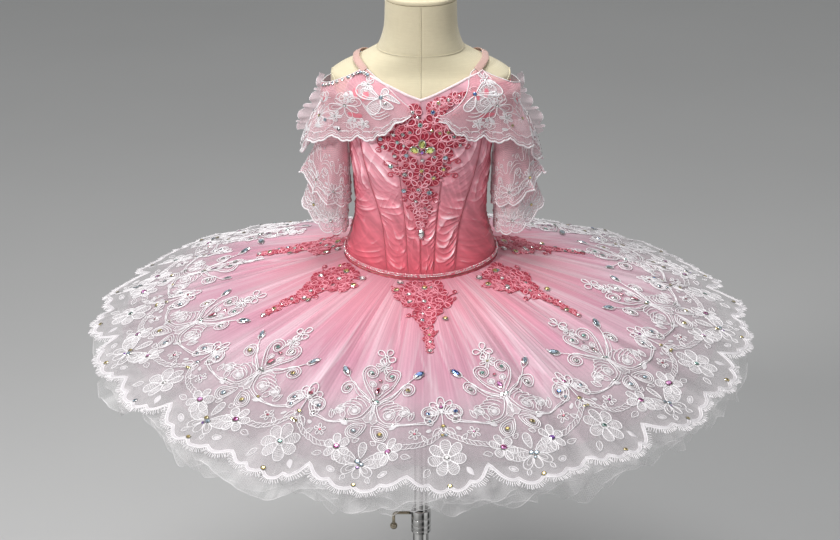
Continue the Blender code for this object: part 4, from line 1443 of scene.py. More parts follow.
# ---------------------------------------------------------------- repeated shapes by geometry nodes
def growing_tree(
    name: str,
    inputs: Sequence[tuple[str, str]],
    build: Callable[[Graph, bpy.types.Node], bpy.types.NodeSocket],
) -> bpy.types.NodeTree:
    """A geometry node tree, made once, that ends by realizing its instances and setting a material.

    Args:
        name: the tree's name.
        inputs: name and socket kind of each input after the geometry.
        build: builds the shapes and returns their socket.

    Returns:
        The tree.
    """
    found = bpy.data.node_groups.get(name)
    if found:
        return found
    tree = bpy.data.node_groups.new(name, "GeometryNodeTree")
    tree.interface.new_socket("Geometry", in_out="INPUT", socket_type="NodeSocketGeometry")
    for label, kind in (*inputs, ("Material", "NodeSocketMaterial")):
        tree.interface.new_socket(label, in_out="INPUT", socket_type=kind)
    tree.interface.new_socket("Geometry", in_out="OUTPUT", socket_type="NodeSocketGeometry")
    graph = Graph(tree)
    given = graph.add("NodeGroupInput")
    shapes = build(graph, given)
    real = graph.add("GeometryNodeRealizeInstances", {"Geometry": shapes})
    painted = graph.add(
        "GeometryNodeSetMaterial", {
            "Geometry": real.outputs[0], "Material": given.outputs["Material"]
        }
    )
    graph.add("NodeGroupOutput", {"Geometry": painted.outputs[0]})
    return tree


def grow(
    obj: bpy.types.Object, tree: bpy.types.NodeTree, finish: Finish, **values: Any
) -> bpy.types.Object:
    """Replace a guide's mesh by what a geometry node tree makes of it."""
    modifier = obj.modifiers.new("grow", "NODES")
    modifier.node_group = tree
    named = {item.name: item.identifier for item in tree.interface.items_tree if item.item_type ==
    "SOCKET"
             and item.in_out == "INPUT"}
    modifier[named["Material"]] = finish.material()
    for key, value in values.items():
        modifier[named[key.replace("_", " ").title()]] = value
    graph = bpy.context.evaluated_depsgraph_get()
    graph.update()
    mesh = bpy.data.meshes.new_from_object(obj.evaluated_get(graph))
    old = obj.data
    obj.modifiers.clear()
    obj.data = mesh
    mesh.name = obj.name
    bpy.data.meshes.remove(old)
    if not len(mesh.polygons):
        raise RuntimeError(f"{obj.name} grew nothing")
    return obj


def named_value(graph: Graph, name: str, kind: str) -> bpy.types.NodeSocket:
    """An attribute of the guide, by name."""
    node = graph.add("GeometryNodeInputNamedAttribute", {"Name": name}, data_type=kind)
    return node.outputs["Attribute"]


def stored(
    graph: Graph, geometry: Any, name: str, value: Any, kind: str, domain: str
) -> bpy.types.NodeSocket:
    """The geometry with a value stored on it by name."""
    node = graph.add("GeometryNodeStoreNamedAttribute", data_type=kind, domain=domain)
    graph.put(node.inputs["Geometry"], geometry)
    graph.put(node.inputs["Name"], name)
    graph.put(node.inputs["Value"], value)
    return node.outputs[0]


def build_cords(graph: Graph, given: bpy.types.Node) -> bpy.types.NodeSocket:
    """Round cords along the guide's edges."""
    curve = graph.add("GeometryNodeMeshToCurve", {"Mesh": given.outputs["Geometry"]}).outputs[0]
    length = graph.add("GeometryNodeSplineParameter").outputs["Length"]
    marked = stored(graph, curve, "along", length, "FLOAT", "POINT")
    circle = graph.add(
        "GeometryNodeCurvePrimitiveCircle", {
            "Resolution": given.outputs["Sides"], "Radius": 1.0
        }, mode="RADIUS"
    ).outputs[0]
    factor = graph.add("GeometryNodeSplineParameter").outputs["Factor"]
    profile = stored(graph, circle, "around", factor, "FLOAT", "POINT")
    sized = {"Scale": named_value(graph, "girth", "FLOAT"), "Fill Caps": True}
    return graph.add(
        "GeometryNodeCurveToMesh", {"Curve": marked, "Profile Curve": profile, **sized}
    ).outputs[0]


def build_stones(graph: Graph, given: bpy.types.Node) -> bpy.types.NodeSocket:
    """A faceted stone in a metal cup on each point of the guide."""
    rings = []
    for radius, height, turn in (
        (1.24, 0.0, 0.0), (1.20, 0.24, 0.0), (1.0, 0.40, 0.0), (0.80, 0.60, 0.39), (0.48, 0.74, 0.0)
    ):
        circle = graph.add(
            "GeometryNodeMeshCircle", {"Vertices": 8, "Radius": radius}, fill_type="NONE"
        ).outputs[0]
        placed = graph.add("GeometryNodeTransform", {"Geometry": circle})
        placed.inputs["Translation"].default_value = (0, 0, height)
        placed.inputs["Rotation"].default_value = (0, 0, turn)
        rings.append(placed.outputs[0])
    joined = graph.add("GeometryNodeJoinGeometry")
    for ring in rings:
        graph.tree.links.new(ring, joined.inputs[0])
    hull = graph.add("GeometryNodeConvexHull", {"Geometry": joined.outputs[0]}).outputs[0]
    place = graph.add(
        "ShaderNodeSeparateXYZ", {0: graph.add("GeometryNodeInputPosition").outputs[0]}
    )
    across, along = (
        graph.add("ShaderNodeMath", {0: place.outputs[k], 1: 2.0}, operation="POWER") for k in "XY"
    )
    distance = graph.add(
        "ShaderNodeMath", {0: across.outputs[0], 1: along.outputs[0]}, operation="ADD"
    ).outputs[0]
    side = graph.add(
        "FunctionNodeCompare", {0: distance, 1: 0.90}, data_type="FLOAT", operation="GREATER_THAN"
    ).outputs[0]
    cupped = stored(graph, hull, "cup", side, "FLOAT", "FACE")
    rotation = graph.add(
        "FunctionNodeAxesToRotation",
        {
            "Primary Axis": named_value(graph, "aim", "FLOAT_VECTOR"),
            "Secondary Axis": named_value(graph, "heading", "FLOAT_VECTOR"),
        },
        primary_axis="Z",
        secondary_axis="X",
    ).outputs[0]
    placed = graph.add(
        "GeometryNodeInstanceOnPoints",
        {
            "Points": given.outputs["Geometry"],
            "Instance": cupped,
            "Rotation": rotation,
            "Scale": named_value(graph, "size", "FLOAT_VECTOR"),
        },
    ).outputs[0]
    real = graph.add("GeometryNodeRealizeInstances", {"Geometry": placed}).outputs[0]
    # a random painted glint brightness for each facet
    chance = graph.add("FunctionNodeRandomValue", data_type="FLOAT")
    chance.inputs["Seed"].default_value = SEED
    number = next(socket for socket in chance.outputs if socket.enabled)
    flat = graph.add(
        "GeometryNodeSetShadeSmooth", {"Geometry": real, "Shade Smooth": False}
    ).outputs[0]
    return stored(graph, flat, "facet_glint", number, "FLOAT", "FACE")


def build_beads(graph: Graph, given: bpy.types.Node) -> bpy.types.NodeSocket:
    """A small round bead on each point of the guide."""
    ball = graph.add(
        "GeometryNodeMeshIcoSphere", {"Radius": 1.0, "Subdivisions": 2}
    ).outputs["Mesh"]
    plain = stored(graph, ball, "cup", 0.0, "FLOAT", "FACE")
    placed = graph.add(
        "GeometryNodeInstanceOnPoints",
        {
            "Points": given.outputs["Geometry"],
            "Instance": plain,
            "Scale": named_value(graph, "size", "FLOAT_VECTOR"),
        },
    ).outputs[0]
    real = graph.add("GeometryNodeRealizeInstances", {"Geometry": placed}).outputs[0]
    # one painted glint brightness for every bead face
    return stored(graph, real, "facet_glint", 0.78, "FLOAT", "FACE")


def build_fringe(graph: Graph, given: bpy.types.Node) -> bpy.types.NodeSocket:
    """A curled lash of thread on each point of the guide, along its own direction."""
    bow = graph.add("GeometryNodeCurveQuadraticBezier", {"Resolution": 3})
    bow.inputs["Start"].default_value = (0, 0, 0)
    bow.inputs["Middle"].default_value = (0.50, -0.06, 0.06)
    bow.inputs["End"].default_value = (1.0, 0.06, -0.08)
    length = graph.add("GeometryNodeSplineParameter").outputs["Length"]
    marked = stored(graph, bow.outputs[0], "along", length, "FLOAT", "POINT")
    circle = graph.add(
        "GeometryNodeCurvePrimitiveCircle", {"Resolution": 4, "Radius": 0.090}, mode="RADIUS"
    ).outputs[0]
    lash = graph.add(
        "GeometryNodeCurveToMesh", {"Curve": marked, "Profile Curve": circle, "Fill Caps": True}
    ).outputs[0]
    rotation = graph.add(
        "FunctionNodeAxesToRotation",
        {
            "Primary Axis": named_value(graph, "heading", "FLOAT_VECTOR"),
            "Secondary Axis": named_value(graph, "aim", "FLOAT_VECTOR"),
        },
        primary_axis="X",
        secondary_axis="Z",
    ).outputs[0]
    return graph.add(
        "GeometryNodeInstanceOnPoints",
        {
            "Points": given.outputs["Geometry"],
            "Instance": lash,
            "Rotation": rotation,
            "Scale": named_value(graph, "size", "FLOAT_VECTOR"),
        },
    ).outputs[0]


def cord_object(
    name: str,
    lines: Sequence[Array],
    radii: Sequence[float],
    finish: Finish,
    sides: int = 5,
    dyes: Sequence[float] | None = None,
) -> bpy.types.Object:
    """One object of round cords along lines of points, each with its radius in metres and its
    dye."""
    points = np.concatenate(lines)
    edges = []
    start = 0
    for line in lines:
        steps = np.arange(start, start + len(line) - 1)
        edges.append(np.stack([steps, steps + 1], axis=1))
        start += len(line)
    mesh = bpy.data.meshes.new(name)
    mesh.from_pydata(points.tolist(), np.concatenate(edges).tolist(), [])
    made = bpy.data.objects.new(name, mesh)
    bpy.context.scene.collection.objects.link(made)
    set_field(
        made, "girth", np.concatenate([tapered(len(line), r) for line, r in zip(lines, radii)])
    )
    if dyes:
        set_field(made, "dye", np.repeat(dyes, [len(line) for line in lines]))
    grow(
        made,
        growing_tree("sewn_cords", (("Sides", "NodeSocketInt"),), build_cords),
        finish,
        sides=sides
    )
    made.data.shade_smooth()
    return made


def tapered(count: int, radius: float) -> Array:
    """A radius along a cord that narrows at its two ends."""
    t = np.linspace(0, 1, count)
    return radius * (0.55 + 0.45 * np.clip(np.minimum(t, 1 - t) * 8, 0, 1))


def point_object(
    name: str, points: Array, fields: dict[str, tuple[str, Array]]
) -> bpy.types.Object:
    """A guide of loose points that carry values."""
    mesh = bpy.data.meshes.new(name)
    mesh.from_pydata(points.tolist(), [], [])
    made = bpy.data.objects.new(name, mesh)
    bpy.context.scene.collection.objects.link(made)
    for key, (kind, values) in fields.items():
        set_field(made, key, values, kind)
    return made


# ---------------------------------------------------------------- needlework drawn flat
class Stone(Enum):
    """Tints of the glass stones: the body colour, and the colour that its other facets show."""

    CLEAR = ((0.97, 0.95, 0.93), (0.62, 0.60, 0.62))
    AURORA = ((0.94, 0.90, 0.24), (0.50, 0.66, 0.20))
    GOLD = ((0.78, 0.58, 0.20), (0.46, 0.36, 0.14))
    SKY = ((0.56, 0.70, 0.82), (0.24, 0.33, 0.42))
    SAPPHIRE = ((0.05, 0.16, 0.72), (0.35, 0.55, 0.92))
    EMERALD = ((0.22, 0.50, 0.42), (0.52, 0.72, 0.70))
    RUBY = ((0.62, 0.03, 0.12), (0.90, 0.35, 0.42))
    FUCHSIA = ((0.85, 0.12, 0.42), (0.62, 0.42, 0.80))
    VIOLET = ((0.20, 0.06, 0.36), (0.42, 0.22, 0.72))
    PEARL = ((0.88, 0.66, 0.68), (0.90, 0.80, 0.80))
    BLACK = ((0.03, 0.03, 0.04), (0.16, 0.16, 0.20))


class Cut(Enum):
    """Outlines of the stones: length over width, and height over width."""

    ROUND = (1.0, 0.80)
    OVAL = (1.3, 0.75)
    MARQUISE = (1.9, 0.85)


@dataclass
class Stroke:
    """A sewn cord: its points in the drawing and its radius, in millimetres, and how bright its
    dye is."""

    points: Array
    radius: float
    dye: float = 0.0


@dataclass
class Gem:
    """A glass stone in a drawing, its radius in millimetres."""

    x: float
    y: float
    size: float
    stone: Stone
    cut: Cut = Cut.ROUND
    heading: float = 90.0


@dataclass
class Drawing:
    """Needlework drawn flat in millimetres: cords, filled satin stitch, patches of net and
    stones."""

    cords: list[Stroke] = field(default_factory=list)
    fills: list[Array] = field(default_factory=list)
    nets: list[Array] = field(default_factory=list)
    gems: list[Gem] = field(default_factory=list)

    def cord(self, points: Array, radius: float = 0.62, dye: float = 0.0) -> Drawing:
        """Add a cord."""
        self.cords.append(Stroke(np.asarray(points, float), radius, dye))
        return self

    def fill(self, outline: Array, edge: float = 0.0) -> Drawing:
        """Add a filled shape, with a cord round it if its edge has a radius."""
        self.fills.append(np.asarray(outline, float))
        return self.cord(closed(outline), edge) if edge else self

    def gem(self, *gems: Gem) -> Drawing:
        """Add stones."""
        self.gems += gems
        return self

    def add(self, *others: Drawing) -> Drawing:
        """Add what other drawings hold."""
        for other in others:
            self.cords += other.cords
            self.fills += other.fills
            self.nets += other.nets
            self.gems += other.gems
        return self

    def moved(self, x: float, y: float, turn: float = 0.0, scale: float = 1.0) -> Drawing:
        """A copy, scaled, turned and moved."""
        c, s = math.cos(math.radians(turn)) * scale, math.sin(math.radians(turn)) * scale
        matrix = np.array([[c, s], [-s, c]])
        place = np.array([x, y])
        out = Drawing()
        out.cords = [replace(k, points=k.points @ matrix + place) for k in self.cords]
        out.fills = [shape @ matrix + place for shape in self.fills]
        out.nets = [shape @ matrix + place for shape in self.nets]
        for g in self.gems:
            gx, gy = np.array([g.x, g.y]) @ matrix + place
            out.gems.append(Gem(gx, gy, g.size, g.stone, g.cut, g.heading + turn))
        return out

    def worked(
        self, across: float = 1.0, up: float = 1.0, heavier: float = 1.0, stones: float = 1.0
    ) -> Drawing:
        """A copy stretched across and up, with heavier cords and larger stones."""
        stretch = np.array([across, up])
        out = Drawing()
        out.cords = [
            replace(k, points=k.points * stretch, radius=k.radius * heavier) for k in self.cords
        ]
        out.fills = [shape * stretch for shape in self.fills]
        out.nets = [shape * stretch for shape in self.nets]
        out.gems = [replace(g, x=g.x * across, y=g.y * up, size=g.size * stones) for g in self.gems]
        return out

    def mirrored(self) -> Drawing:
        """A copy turned over left to right."""
        flip = np.array([-1.0, 1.0])
        out = Drawing()
        out.cords = [replace(k, points=k.points * flip) for k in self.cords]
        out.fills = [(shape * flip)[::-1] for shape in self.fills]
        out.nets = [(shape * flip)[::-1] for shape in self.nets]
        out.gems = [Gem(-g.x, g.y, g.size, g.stone, g.cut, 180 - g.heading) for g in self.gems]
        return out


def facing(heading: float) -> Array:
    """A unit step in a heading, in degrees from +x."""
    return np.array([math.cos(math.radians(heading)), math.sin(math.radians(heading))])


def ring(x: float, y: float, across: float, up: float, count: int = 20, turn: float = 0.0) -> Array:
    """An ellipse, without its first point repeated."""
    t = np.linspace(0, 2 * math.pi, count, endpoint=False)
    local = np.stack([across * np.cos(t), up * np.sin(t)], axis=1)
    a, b = facing(turn), facing(turn + 90)
    return local @ np.array([a, b]) + (x, y)


def closed(points: Array) -> Array:
    """The outline with its first point repeated at the end."""
    return np.vstack([points, points[:1]])


def bow(start: Sequence[float], heading: float, end: Sequence[float], arrive: float,
slack: float = 0.4,
        count: int = 12) -> Array:
    """A smooth line that leaves one place in a heading and arrives at another in a heading."""
    a, b = np.array(start, float), np.array(end, float)
    reach = np.linalg.norm(b - a) * slack
    c, d = a + facing(heading) * reach, b - facing(arrive) * reach
    t = np.linspace(0, 1, count)[:, None]
    return (1 - t) ** 3 * a + 3 * (1 - t) ** 2 * t * c + 3 * (1 - t) * t**2 * d + t**3 * b


def volute(
    start: Sequence[float],
    heading: float,
    centre: Sequence[float],
    radius: float,
    arrive: float,
    turns: float = 1.3,
    spin: int = 1,
    tight: float = 0.72,
) -> Array:
    """A stem that runs into a scroll.

    Args:
        start: where the stem begins.
        heading: the way it leaves, in degrees.
        centre: the middle of the scroll.
        radius: the scroll's outer radius.
        arrive: the angle on the scroll where the stem meets it.
        turns: how often the scroll goes round.
        spin: 1 for anticlockwise, -1 for clockwise.
        tight: how much of its radius the scroll loses.

    Returns:
        The line's points.
    """
    t = np.linspace(0, 1, max(10, int(16 * turns)))
    angle = np.radians(arrive + spin * 360 * turns * t)
    radii = radius * (1 - tight * t)
    scroll = np.stack(
        [centre[0] + radii * np.cos(angle), centre[1] + radii * np.sin(angle)], axis=1
    )
    stem = bow(start, heading, scroll[0], arrive + spin * 90)
    return np.vstack([stem[:-1], scroll])


def leaf_outline(
    x: float, y: float, heading: float, length: float, width: float, count: int = 8
) -> Array:
    """A pointed leaf from its stalk to its tip and back."""
    t = np.linspace(0, 1, count)
    side = width / 2 * np.sin(math.pi * t**0.8)
    along = np.concatenate([t, t[-2:0:-1]]) * length
    across = np.concatenate([-side, side[-2:0:-1]])
    a, b = facing(heading), facing(heading + 90)
    return (x, y) + np.outer(along, a) + np.outer(across, b)


def petal_outline(
    x: float, y: float, heading: float, length: float, width: float, count: int = 14
) -> Array:
    """A round-ended petal that starts at a point."""
    t = np.linspace(0, 2 * math.pi, count, endpoint=False)
    along = length * (1 - np.cos(t)) / 2
    across = -width / 2 * np.sin(t) * np.sin(t / 2) ** 0.7
    a, b = facing(heading), facing(heading + 90)
    return (x, y) + np.outer(along, a) + np.outer(across, b)


def leaf(x: float, y: float, heading: float, length: float, width: float, filled: bool = False,
         radius: float = 0.55) -> Drawing:
    """A leaf: outlined with a vein, or filled with satin stitch."""
    outline = leaf_outline(x, y, heading, length, width)
    if filled:
        return Drawing().fill(outline)
    tip = np.array([x, y]) + 0.8 * length * facing(heading)
    return Drawing().cord(closed(outline), radius).cord(np.array([[x, y], tip]), radius * 0.6)


def blossom(
    x: float,
    y: float,
    reach: float,
    petals: int,
    turn: float = 90.0,
    stone: Stone | None = None,
    size: float = 2.0,
    inner: bool = True,
    radius: float = 0.6,
    filled: bool = False,
) -> Drawing:
    """A flower of round petals, each with a smaller loop inside, round a ring or a stone."""
    out = Drawing()
    width = reach * min(1.0, 2.6 / petals) * 1.15
    for k in range(petals):
        heading = turn + 360 * k / petals
        px, py = np.array([x, y]) + reach * 0.16 * facing(heading)
        outline = petal_outline(px, py, heading, reach * 0.86, width)
        if filled:
            out.fill(outline)
        out.cord(closed(outline), radius)
        if inner:
            out.cord(
                closed(petal_outline(px, py, heading, reach * 0.58, width * 0.55, 10)), radius * 0.7
            )
    if stone:
        out.gem(Gem(x, y, size, stone))
    else:
        out.cord(closed(ring(x, y, reach * 0.16, reach * 0.16, 10)), radius)
    return out


def dot(x: float, y: float, across: float, up: float, turn: float = 0.0) -> Drawing:
    """An oval filled with satin stitch, or a large one of net round a smaller filled one."""
    if across * up < 9:
        return Drawing().fill(ring(x, y, across, up, 16, turn))
    oval = ring(x, y, across, up, 16, turn)
    return Drawing(nets=[oval]).cord(closed(oval), 0.5).fill(
        ring(x, y, across * 0.55, up * 0.55, 12, turn)
    )


def ladder(start: Sequence[float], end: Sequence[float], rise: float, width: float = 4.2,
rungs: int = 12,
           radius: float = 0.5) -> Drawing:
    """A garland between two places: two edges and slanting rungs."""
    t = np.linspace(0, 1, rungs * 2 + 1)
    a, b = np.array(start, float), np.array(end, float)
    across = unit(np.array([-(b - a)[1], (b - a)[0]]))
    middle = a + np.outer(t, b - a) + np.outer(4 * rise * t * (1 - t), across)
    run = np.gradient(middle, axis=0)
    side = unit(np.stack([-run[:, 1], run[:, 0]], axis=1))
    swell = (0.75 + 0.25 * np.abs(np.sin(math.pi * rungs / 2 * t)))[:, None]
    upper, lower = middle + side * width / 2 * swell, middle - side * width / 2 * swell
    out = Drawing().cord(upper, radius).cord(lower, radius)
    for k in range(0, rungs * 2 - 1, 2):
        out.cord(np.array([lower[k], middle[k + 1], upper[k + 2]]), radius * 0.9)
    return out


def drop(
    x: float, y: float, heading: float, length: float, width: float, stone: Stone, size: float
) -> Drawing:
    """A round-ended loop with two more inside it and a stone in the middle."""
    d = Drawing()
    for share in (1.0, 0.76, 0.50):
        px, py = np.array([x, y]) + length * (1 - share) * 0.62 * facing(heading)
        d.cord(
            closed(petal_outline(px, py, heading, length * share, width * share, 18)),
            0.66 * (0.6 + 0.4 * share)
        )
    gx, gy = np.array([x, y]) + 0.62 * length * facing(heading)
    return d.gem(Gem(gx, gy, size, stone))


def netted_petal(
    x: float, y: float, heading: float, length: float, width: float, bars: int = 4
) -> Drawing:
    """A petal whose middle is crossed with slanting threads."""
    outline = petal_outline(x, y, heading, length, width, 18)
    d = Drawing(nets=[outline]).cord(closed(outline), 0.66)
    a, b = facing(heading), facing(heading + 90)
    for slant in (-1, 1):
        for k in range(bars):
            t = 0.34 + 0.50 * k / bars
            half = 0.34 * width * math.sin(math.pi * min(1.0, t) ** 1.3) + 0.5
            foot = (x, y) + a * length * (t - 0.07 * slant) - b * half
            d.cord(np.array([foot, foot + 2 * b * half + a * length * 0.14 * slant]), 0.36)
    return d


def half_fleur() -> Drawing:
    """The +x half of the scrollwork over a wide scallop. y runs from the scallop's peak inwards."""
    d = Drawing()
    d.cord(volute((1.2, 110), 42, (12.0, 143), 11.0, -20, 1.3, 1), 0.70)
    d.cord(volute((1.0, 115), 50, (12.0, 143), 8.0, -10, 1.0, 1), 0.46)
    d.cord(volute((1.8, 106), 30, (36.0, 121), 10.0, 150, 1.5, -1), 0.70)
    d.cord(volute((2.6, 104), 24, (36.0, 121), 7.4, 160, 1.1, -1), 0.46)
    d.cord(bow((2.2, 108), 32, (39.5, 139), 58), 0.62)
    d.cord(bow((0.6, 112), 60, (6.5, 132), 100), 0.42)
    d.add(leaf(39.0, 137.5, 50, 15, 8.0, radius=0.6))
    for k in range(5):
        foot = (3.0 + 4.2 * k, 102 - 3.0 * k)
        tip = (20.0 + 6.4 * k, 110.5 - 4.6 * k)
        hook = bow(tip, -20, (tip[0] + 1.6, tip[1] - 5.0), -120, 0.5, 5)
        d.cord(np.vstack([bow(foot, 66, tip, -20), hook]), 0.56)
    d.add(
        dot(20.0, 92.0, 6.4, 5.2, -20),
        dot(37.5, 92.5, 5.4, 4.8, -20),
        dot(7.4, 129.5, 4.4, 3.2, 25)
    )
    for x, y, size in ((20.0, 92.0, 8.8), (37.5, 92.5, 7.6)):
        d.cord(ring(x, y, size, size * 0.84, 26, -60)[:15], 0.52)
    d.cord(bow((0.8, 107), -84, (1.4, 90), -96), 0.66)
    d.cord(bow((1.6, 107), -70, (36.0, 79), -8, 0.55), 0.66)
    d.cord(volute((5.5, 86), -30, (66.0, 94), 13.0, -75, 1.55, 1, 0.8), 0.72)
    d.cord(volute((8.5, 82), -26, (66.0, 94), 9.8, -70, 1.0, 1, 0.5), 0.50)
    d.cord(bow((30, 79.5), -12, (62, 82.5), 22), 0.42)
    d.add(leaf(31, 81, 66, 13, 6.2), leaf(46, 82, 74, 12, 6.0), leaf(24, 74, 20, 12, 5.4, True))
    d.add(drop(3.0, 78, -40, 26, 20, Stone.GOLD, 2.3))
    flower = Drawing()
    for k in range(6):
        flower.add(netted_petal(*(2.4 * facing(20 + 60 * k)), 20 + 60 * k, 13.5, 11.0, 3))
    d.add(flower.moved(30, 46), Drawing().cord(closed(ring(30, 46, 4.4, 4.4, 14)), 0.6))
    d.gem(Gem(30, 46, 2.9, Stone.FUCHSIA))
    d.add(ladder((43, 50), (90, 80), -9, 6.2, 12), leaf(46, 39, -8, 12, 6), leaf(14, 55, 150, 9, 5))
    d.add(blossom(56, 66, 7.0, 5, 10, Stone.RUBY, 1.5, False, 0.55), dot(71, 73, 3.2, 2.2, 30))
    return d.gem(
        Gem(12.0, 143, 2.1, Stone.EMERALD),
        Gem(44.4, 144.0, 2.5, Stone.SKY, Cut.MARQUISE, 50),
        Gem(36.2, 121.0, 2.0, Stone.CLEAR),
        Gem(65.5, 94.0, 2.0, Stone.SKY),
        Gem(27.5, 79.5, 1.5, Stone.CLEAR),
        Gem(92, 68, 1.6, Stone.GOLD),
    )


def fleur() -> Drawing:
    """Scrollwork over a wide scallop, with a bow-shaped flower at its foot."""
    half = half_fleur()
    d = Drawing().add(half, half.mirrored())
    d.add(blossom(0, 169, 11.5, 4, 70, None, 0, False, 0.74))
    d.add(blossom(0, 155.0, 9.5, 6, 60, Stone.CLEAR, 1.2, True, 0.56))
    foot = np.array(
        [[-2.4, 96], [2.4, 96], [9.0, 84], [4.0, 80.0], [0, 82.5], [-4.0, 80.0], [-9.0, 84]]
    )[::-1]
    d.nets.append(foot)
    d.cord(closed(foot), 0.6).fill(ring(0, 88, 1.8, 4.0, 12))
    d.fill(ring(0, 101, 2.1, 4.2, 12))
    for side in (-1, 1):
        d.add(netted_petal(side * 2.0, 32, 90 - side * 76, 29, 21, 4))
        d.cord(closed(petal_outline(side * 3.0, 32, 90 - side * 76, 15, 9, 12)), 0.50)
        d.cord(closed(petal_outline(side * 2.0, 30, 90 - side * 128, 19, 12)), 0.62)
        d.cord(closed(petal_outline(side * 3.0, 29, 90 - side * 128, 12, 6, 12)), 0.42)
        d.add(dot(side * 30, 20, 5.2, 3.0, side * 20), leaf(side * 12, 16, -90 + side * 40, 8, 5))
    d.add(netted_petal(0, 38, 90, 19, 11, 3))
    d.cord(closed(petal_outline(0, 28, -90, 14, 11)), 0.60)
    return d.gem(
        Gem(0, 122, 2.0, Stone.RUBY, Cut.MARQUISE, 90),
        Gem(0, 136, 1.6, Stone.RUBY),
        Gem(-2.3, 110, 1.8, Stone.CLEAR),
        Gem(2.3, 109, 1.8, Stone.EMERALD),
        Gem(-2.2, 33.5, 2.4, Stone.GOLD),
        Gem(3.0, 31.0, 2.4, Stone.SKY),
        Gem(-0.5, 27.0, 1.6, Stone.VIOLET),
        Gem(0, 7.0, 2.1, Stone.GOLD),
    )


def between() -> Drawing:
    """What stands between two fleurs, over a narrow scallop: a bud, and a daisy under it."""
    d = Drawing()
    for heading, length in ((90, 21), (48, 18), (132, 18)):
        d.cord(closed(petal_outline(0, 96, heading, length, 11)), 0.70)
        d.cord(closed(petal_outline(0, 98, heading, length * 0.6, 5.5, 10)), 0.46)
    d.add(dot(-11.0, 97, 5.8, 4.0, 150), dot(11.0, 97, 5.8, 4.0, 30))
    d.cord(bow((0, 97), -90, (0, 76), -90), 0.60)
    for side in (-1, 1):
        d.cord(
            volute((side * 1.0, 95), 0 if side > 0 else 180, (side * 15, 85), 7.2, 90, 1.2, -side),
            0.6
        )
        d.add(leaf(side * 3, 76, -90 + side * 50, 14, 7))
    for k in range(7):
        heading = 90 + 360 * k / 7
        d.add(netted_petal(*((0, 40) + 2.6 * facing(heading)), heading, 19.5, 15.0, 4))
    d.cord(closed(ring(0, 40, 4.6, 4.6, 14)), 0.6)
    for side in (-1, 1):
        d.add(leaf(side * 21, 26, -90 + side * 35, 13, 6.5, side > 0))
        d.add(leaf(side * 20, 58, 90 - side * 40, 10, 5))
    return d.gem(
        Gem(0, 40, 2.3, Stone.EMERALD),
        Gem(0, 103, 2.0, Stone.RUBY),
        Gem(0, 79, 1.9, Stone.GOLD),
        Gem(15, 85, 1.5, Stone.CLEAR),
        Gem(-15, 85, 1.5, Stone.SKY),
        Gem(0, 7, 2.1, Stone.GOLD),
    )


def bow_flower(scale: float = 1.0, stone: Stone = Stone.SAPPHIRE) -> Drawing:
    """A flower with two big side loops, a top leaf and two lower loops, round one stone."""
    d = Drawing()
    for side in (-1, 1):
        d.cord(closed(petal_outline(side * 1.5, 0, 90 - side * 80, 19, 13)), 0.62)
        d.cord(closed(petal_outline(side * 2.5, 0, 90 - side * 80, 13, 7, 12)), 0.42)
        d.cord(closed(petal_outline(side * 1.5, -1, 90 - side * 135, 14, 9)), 0.56)
        d.cord(closed(petal_outline(side * 1.0, 2, 90 - side * 30, 12, 6, 12)), 0.46)
    d.cord(closed(petal_outline(0, -2, -90, 15, 8)), 0.56)
    d.add(leaf(0, 3, 90, 12, 6))
    d.gem(Gem(0, 0, 2.0, stone))
    return d.moved(0, 0, 0, scale)


def spray(length: float, side: int) -> Drawing:
    """A curling stem with filled petals beside it."""
    d = Drawing()
    d.cord(volute((0, 0), 20 * side, (length, 5 * side), 5.5, -90 * side, 1.2, side), 0.52)
    for k, share in enumerate((0.25, 0.45, 0.65)):
        foot = np.array([length * share, 2.5 * side * share])
        d.add(leaf(foot[0], foot[1], (60 + 8 * k) * side, 9 - k, 4.2, k % 2 == 0))
        d.add(leaf(foot[0], foot[1] - side, -(50 - 6 * k) * side, 8 - k, 4.0))
    return d


def corded_flower(
    x: float, y: float, reach: float, turn: float, petals: int = 5, heavy: float = 0.8
) -> Drawing:
    """One flower of corded lace on a dark disc of net: bold bright petals with a rib each, round a
    coil."""
    d = Drawing(nets=[ring(x, y, reach, reach, 14)])
    for k in range(petals):
        heading = turn + 360 * k / petals
        foot = (x, y) + reach * 0.12 * facing(heading)
        outline = petal_outline(*foot, heading, reach * 0.90, reach * 3.3 / petals, 14)
        d.cord(closed(outline), heavy, (0.35, 0.95, 0.6)[k % 3])
        rib = [
            foot + reach * t * facing(heading + 8 * (-1) ** n) for n,
            t in enumerate((0.2, 0.45, 0.70))
        ]
        d.cord(np.array(rib), heavy * 0.85, 0.15)
    return d.cord(coil(x, y, reach * 0.24, turn, 1), heavy * 0.9, 0.8)


def corded_lace(
    flowers: Sequence[tuple[float, float, float]], seed: int, stems: Sequence[Sequence[float]] = ()
) -> Drawing:
    """Open corded lace: flowers that touch, leaves in the gaps and curling stems beyond them.

    Args:
        flowers: x, y and reach of each flower.
        seed: picks their turns, petals and leaves.
        stems: start x, y, heading, then end x, y of each curling stem.

    Returns:
        The drawing.
    """
    rng = np.random.default_rng(SEED * 100 + seed)
    d = Drawing()
    for number, (x, y, reach) in enumerate(flowers):
        d.add(corded_flower(
            x, y, reach, rng.uniform(0, 360), int(rng.integers(4, 6)), 0.58 + 0.016 * reach
        ))
        heading = rng.uniform(0, 360)
        foot = (x, y) + reach * 0.85 * facing(heading)
        d.add(leaf(
            *foot, heading + rng.uniform(-50, 50), reach * 0.60, reach * 0.38, number % 2 == 0, 0.6
        ))
    for x, y, heading, end_x, end_y in stems:
        side = 1 if end_x > x else -1
        d.cord(volute((x, y), heading, (end_x, end_y), 3.6, 90, 1.1, -side), 0.66)
        d.add(leaf(end_x, end_y, heading, 6.0, 4.2, True))
    return d


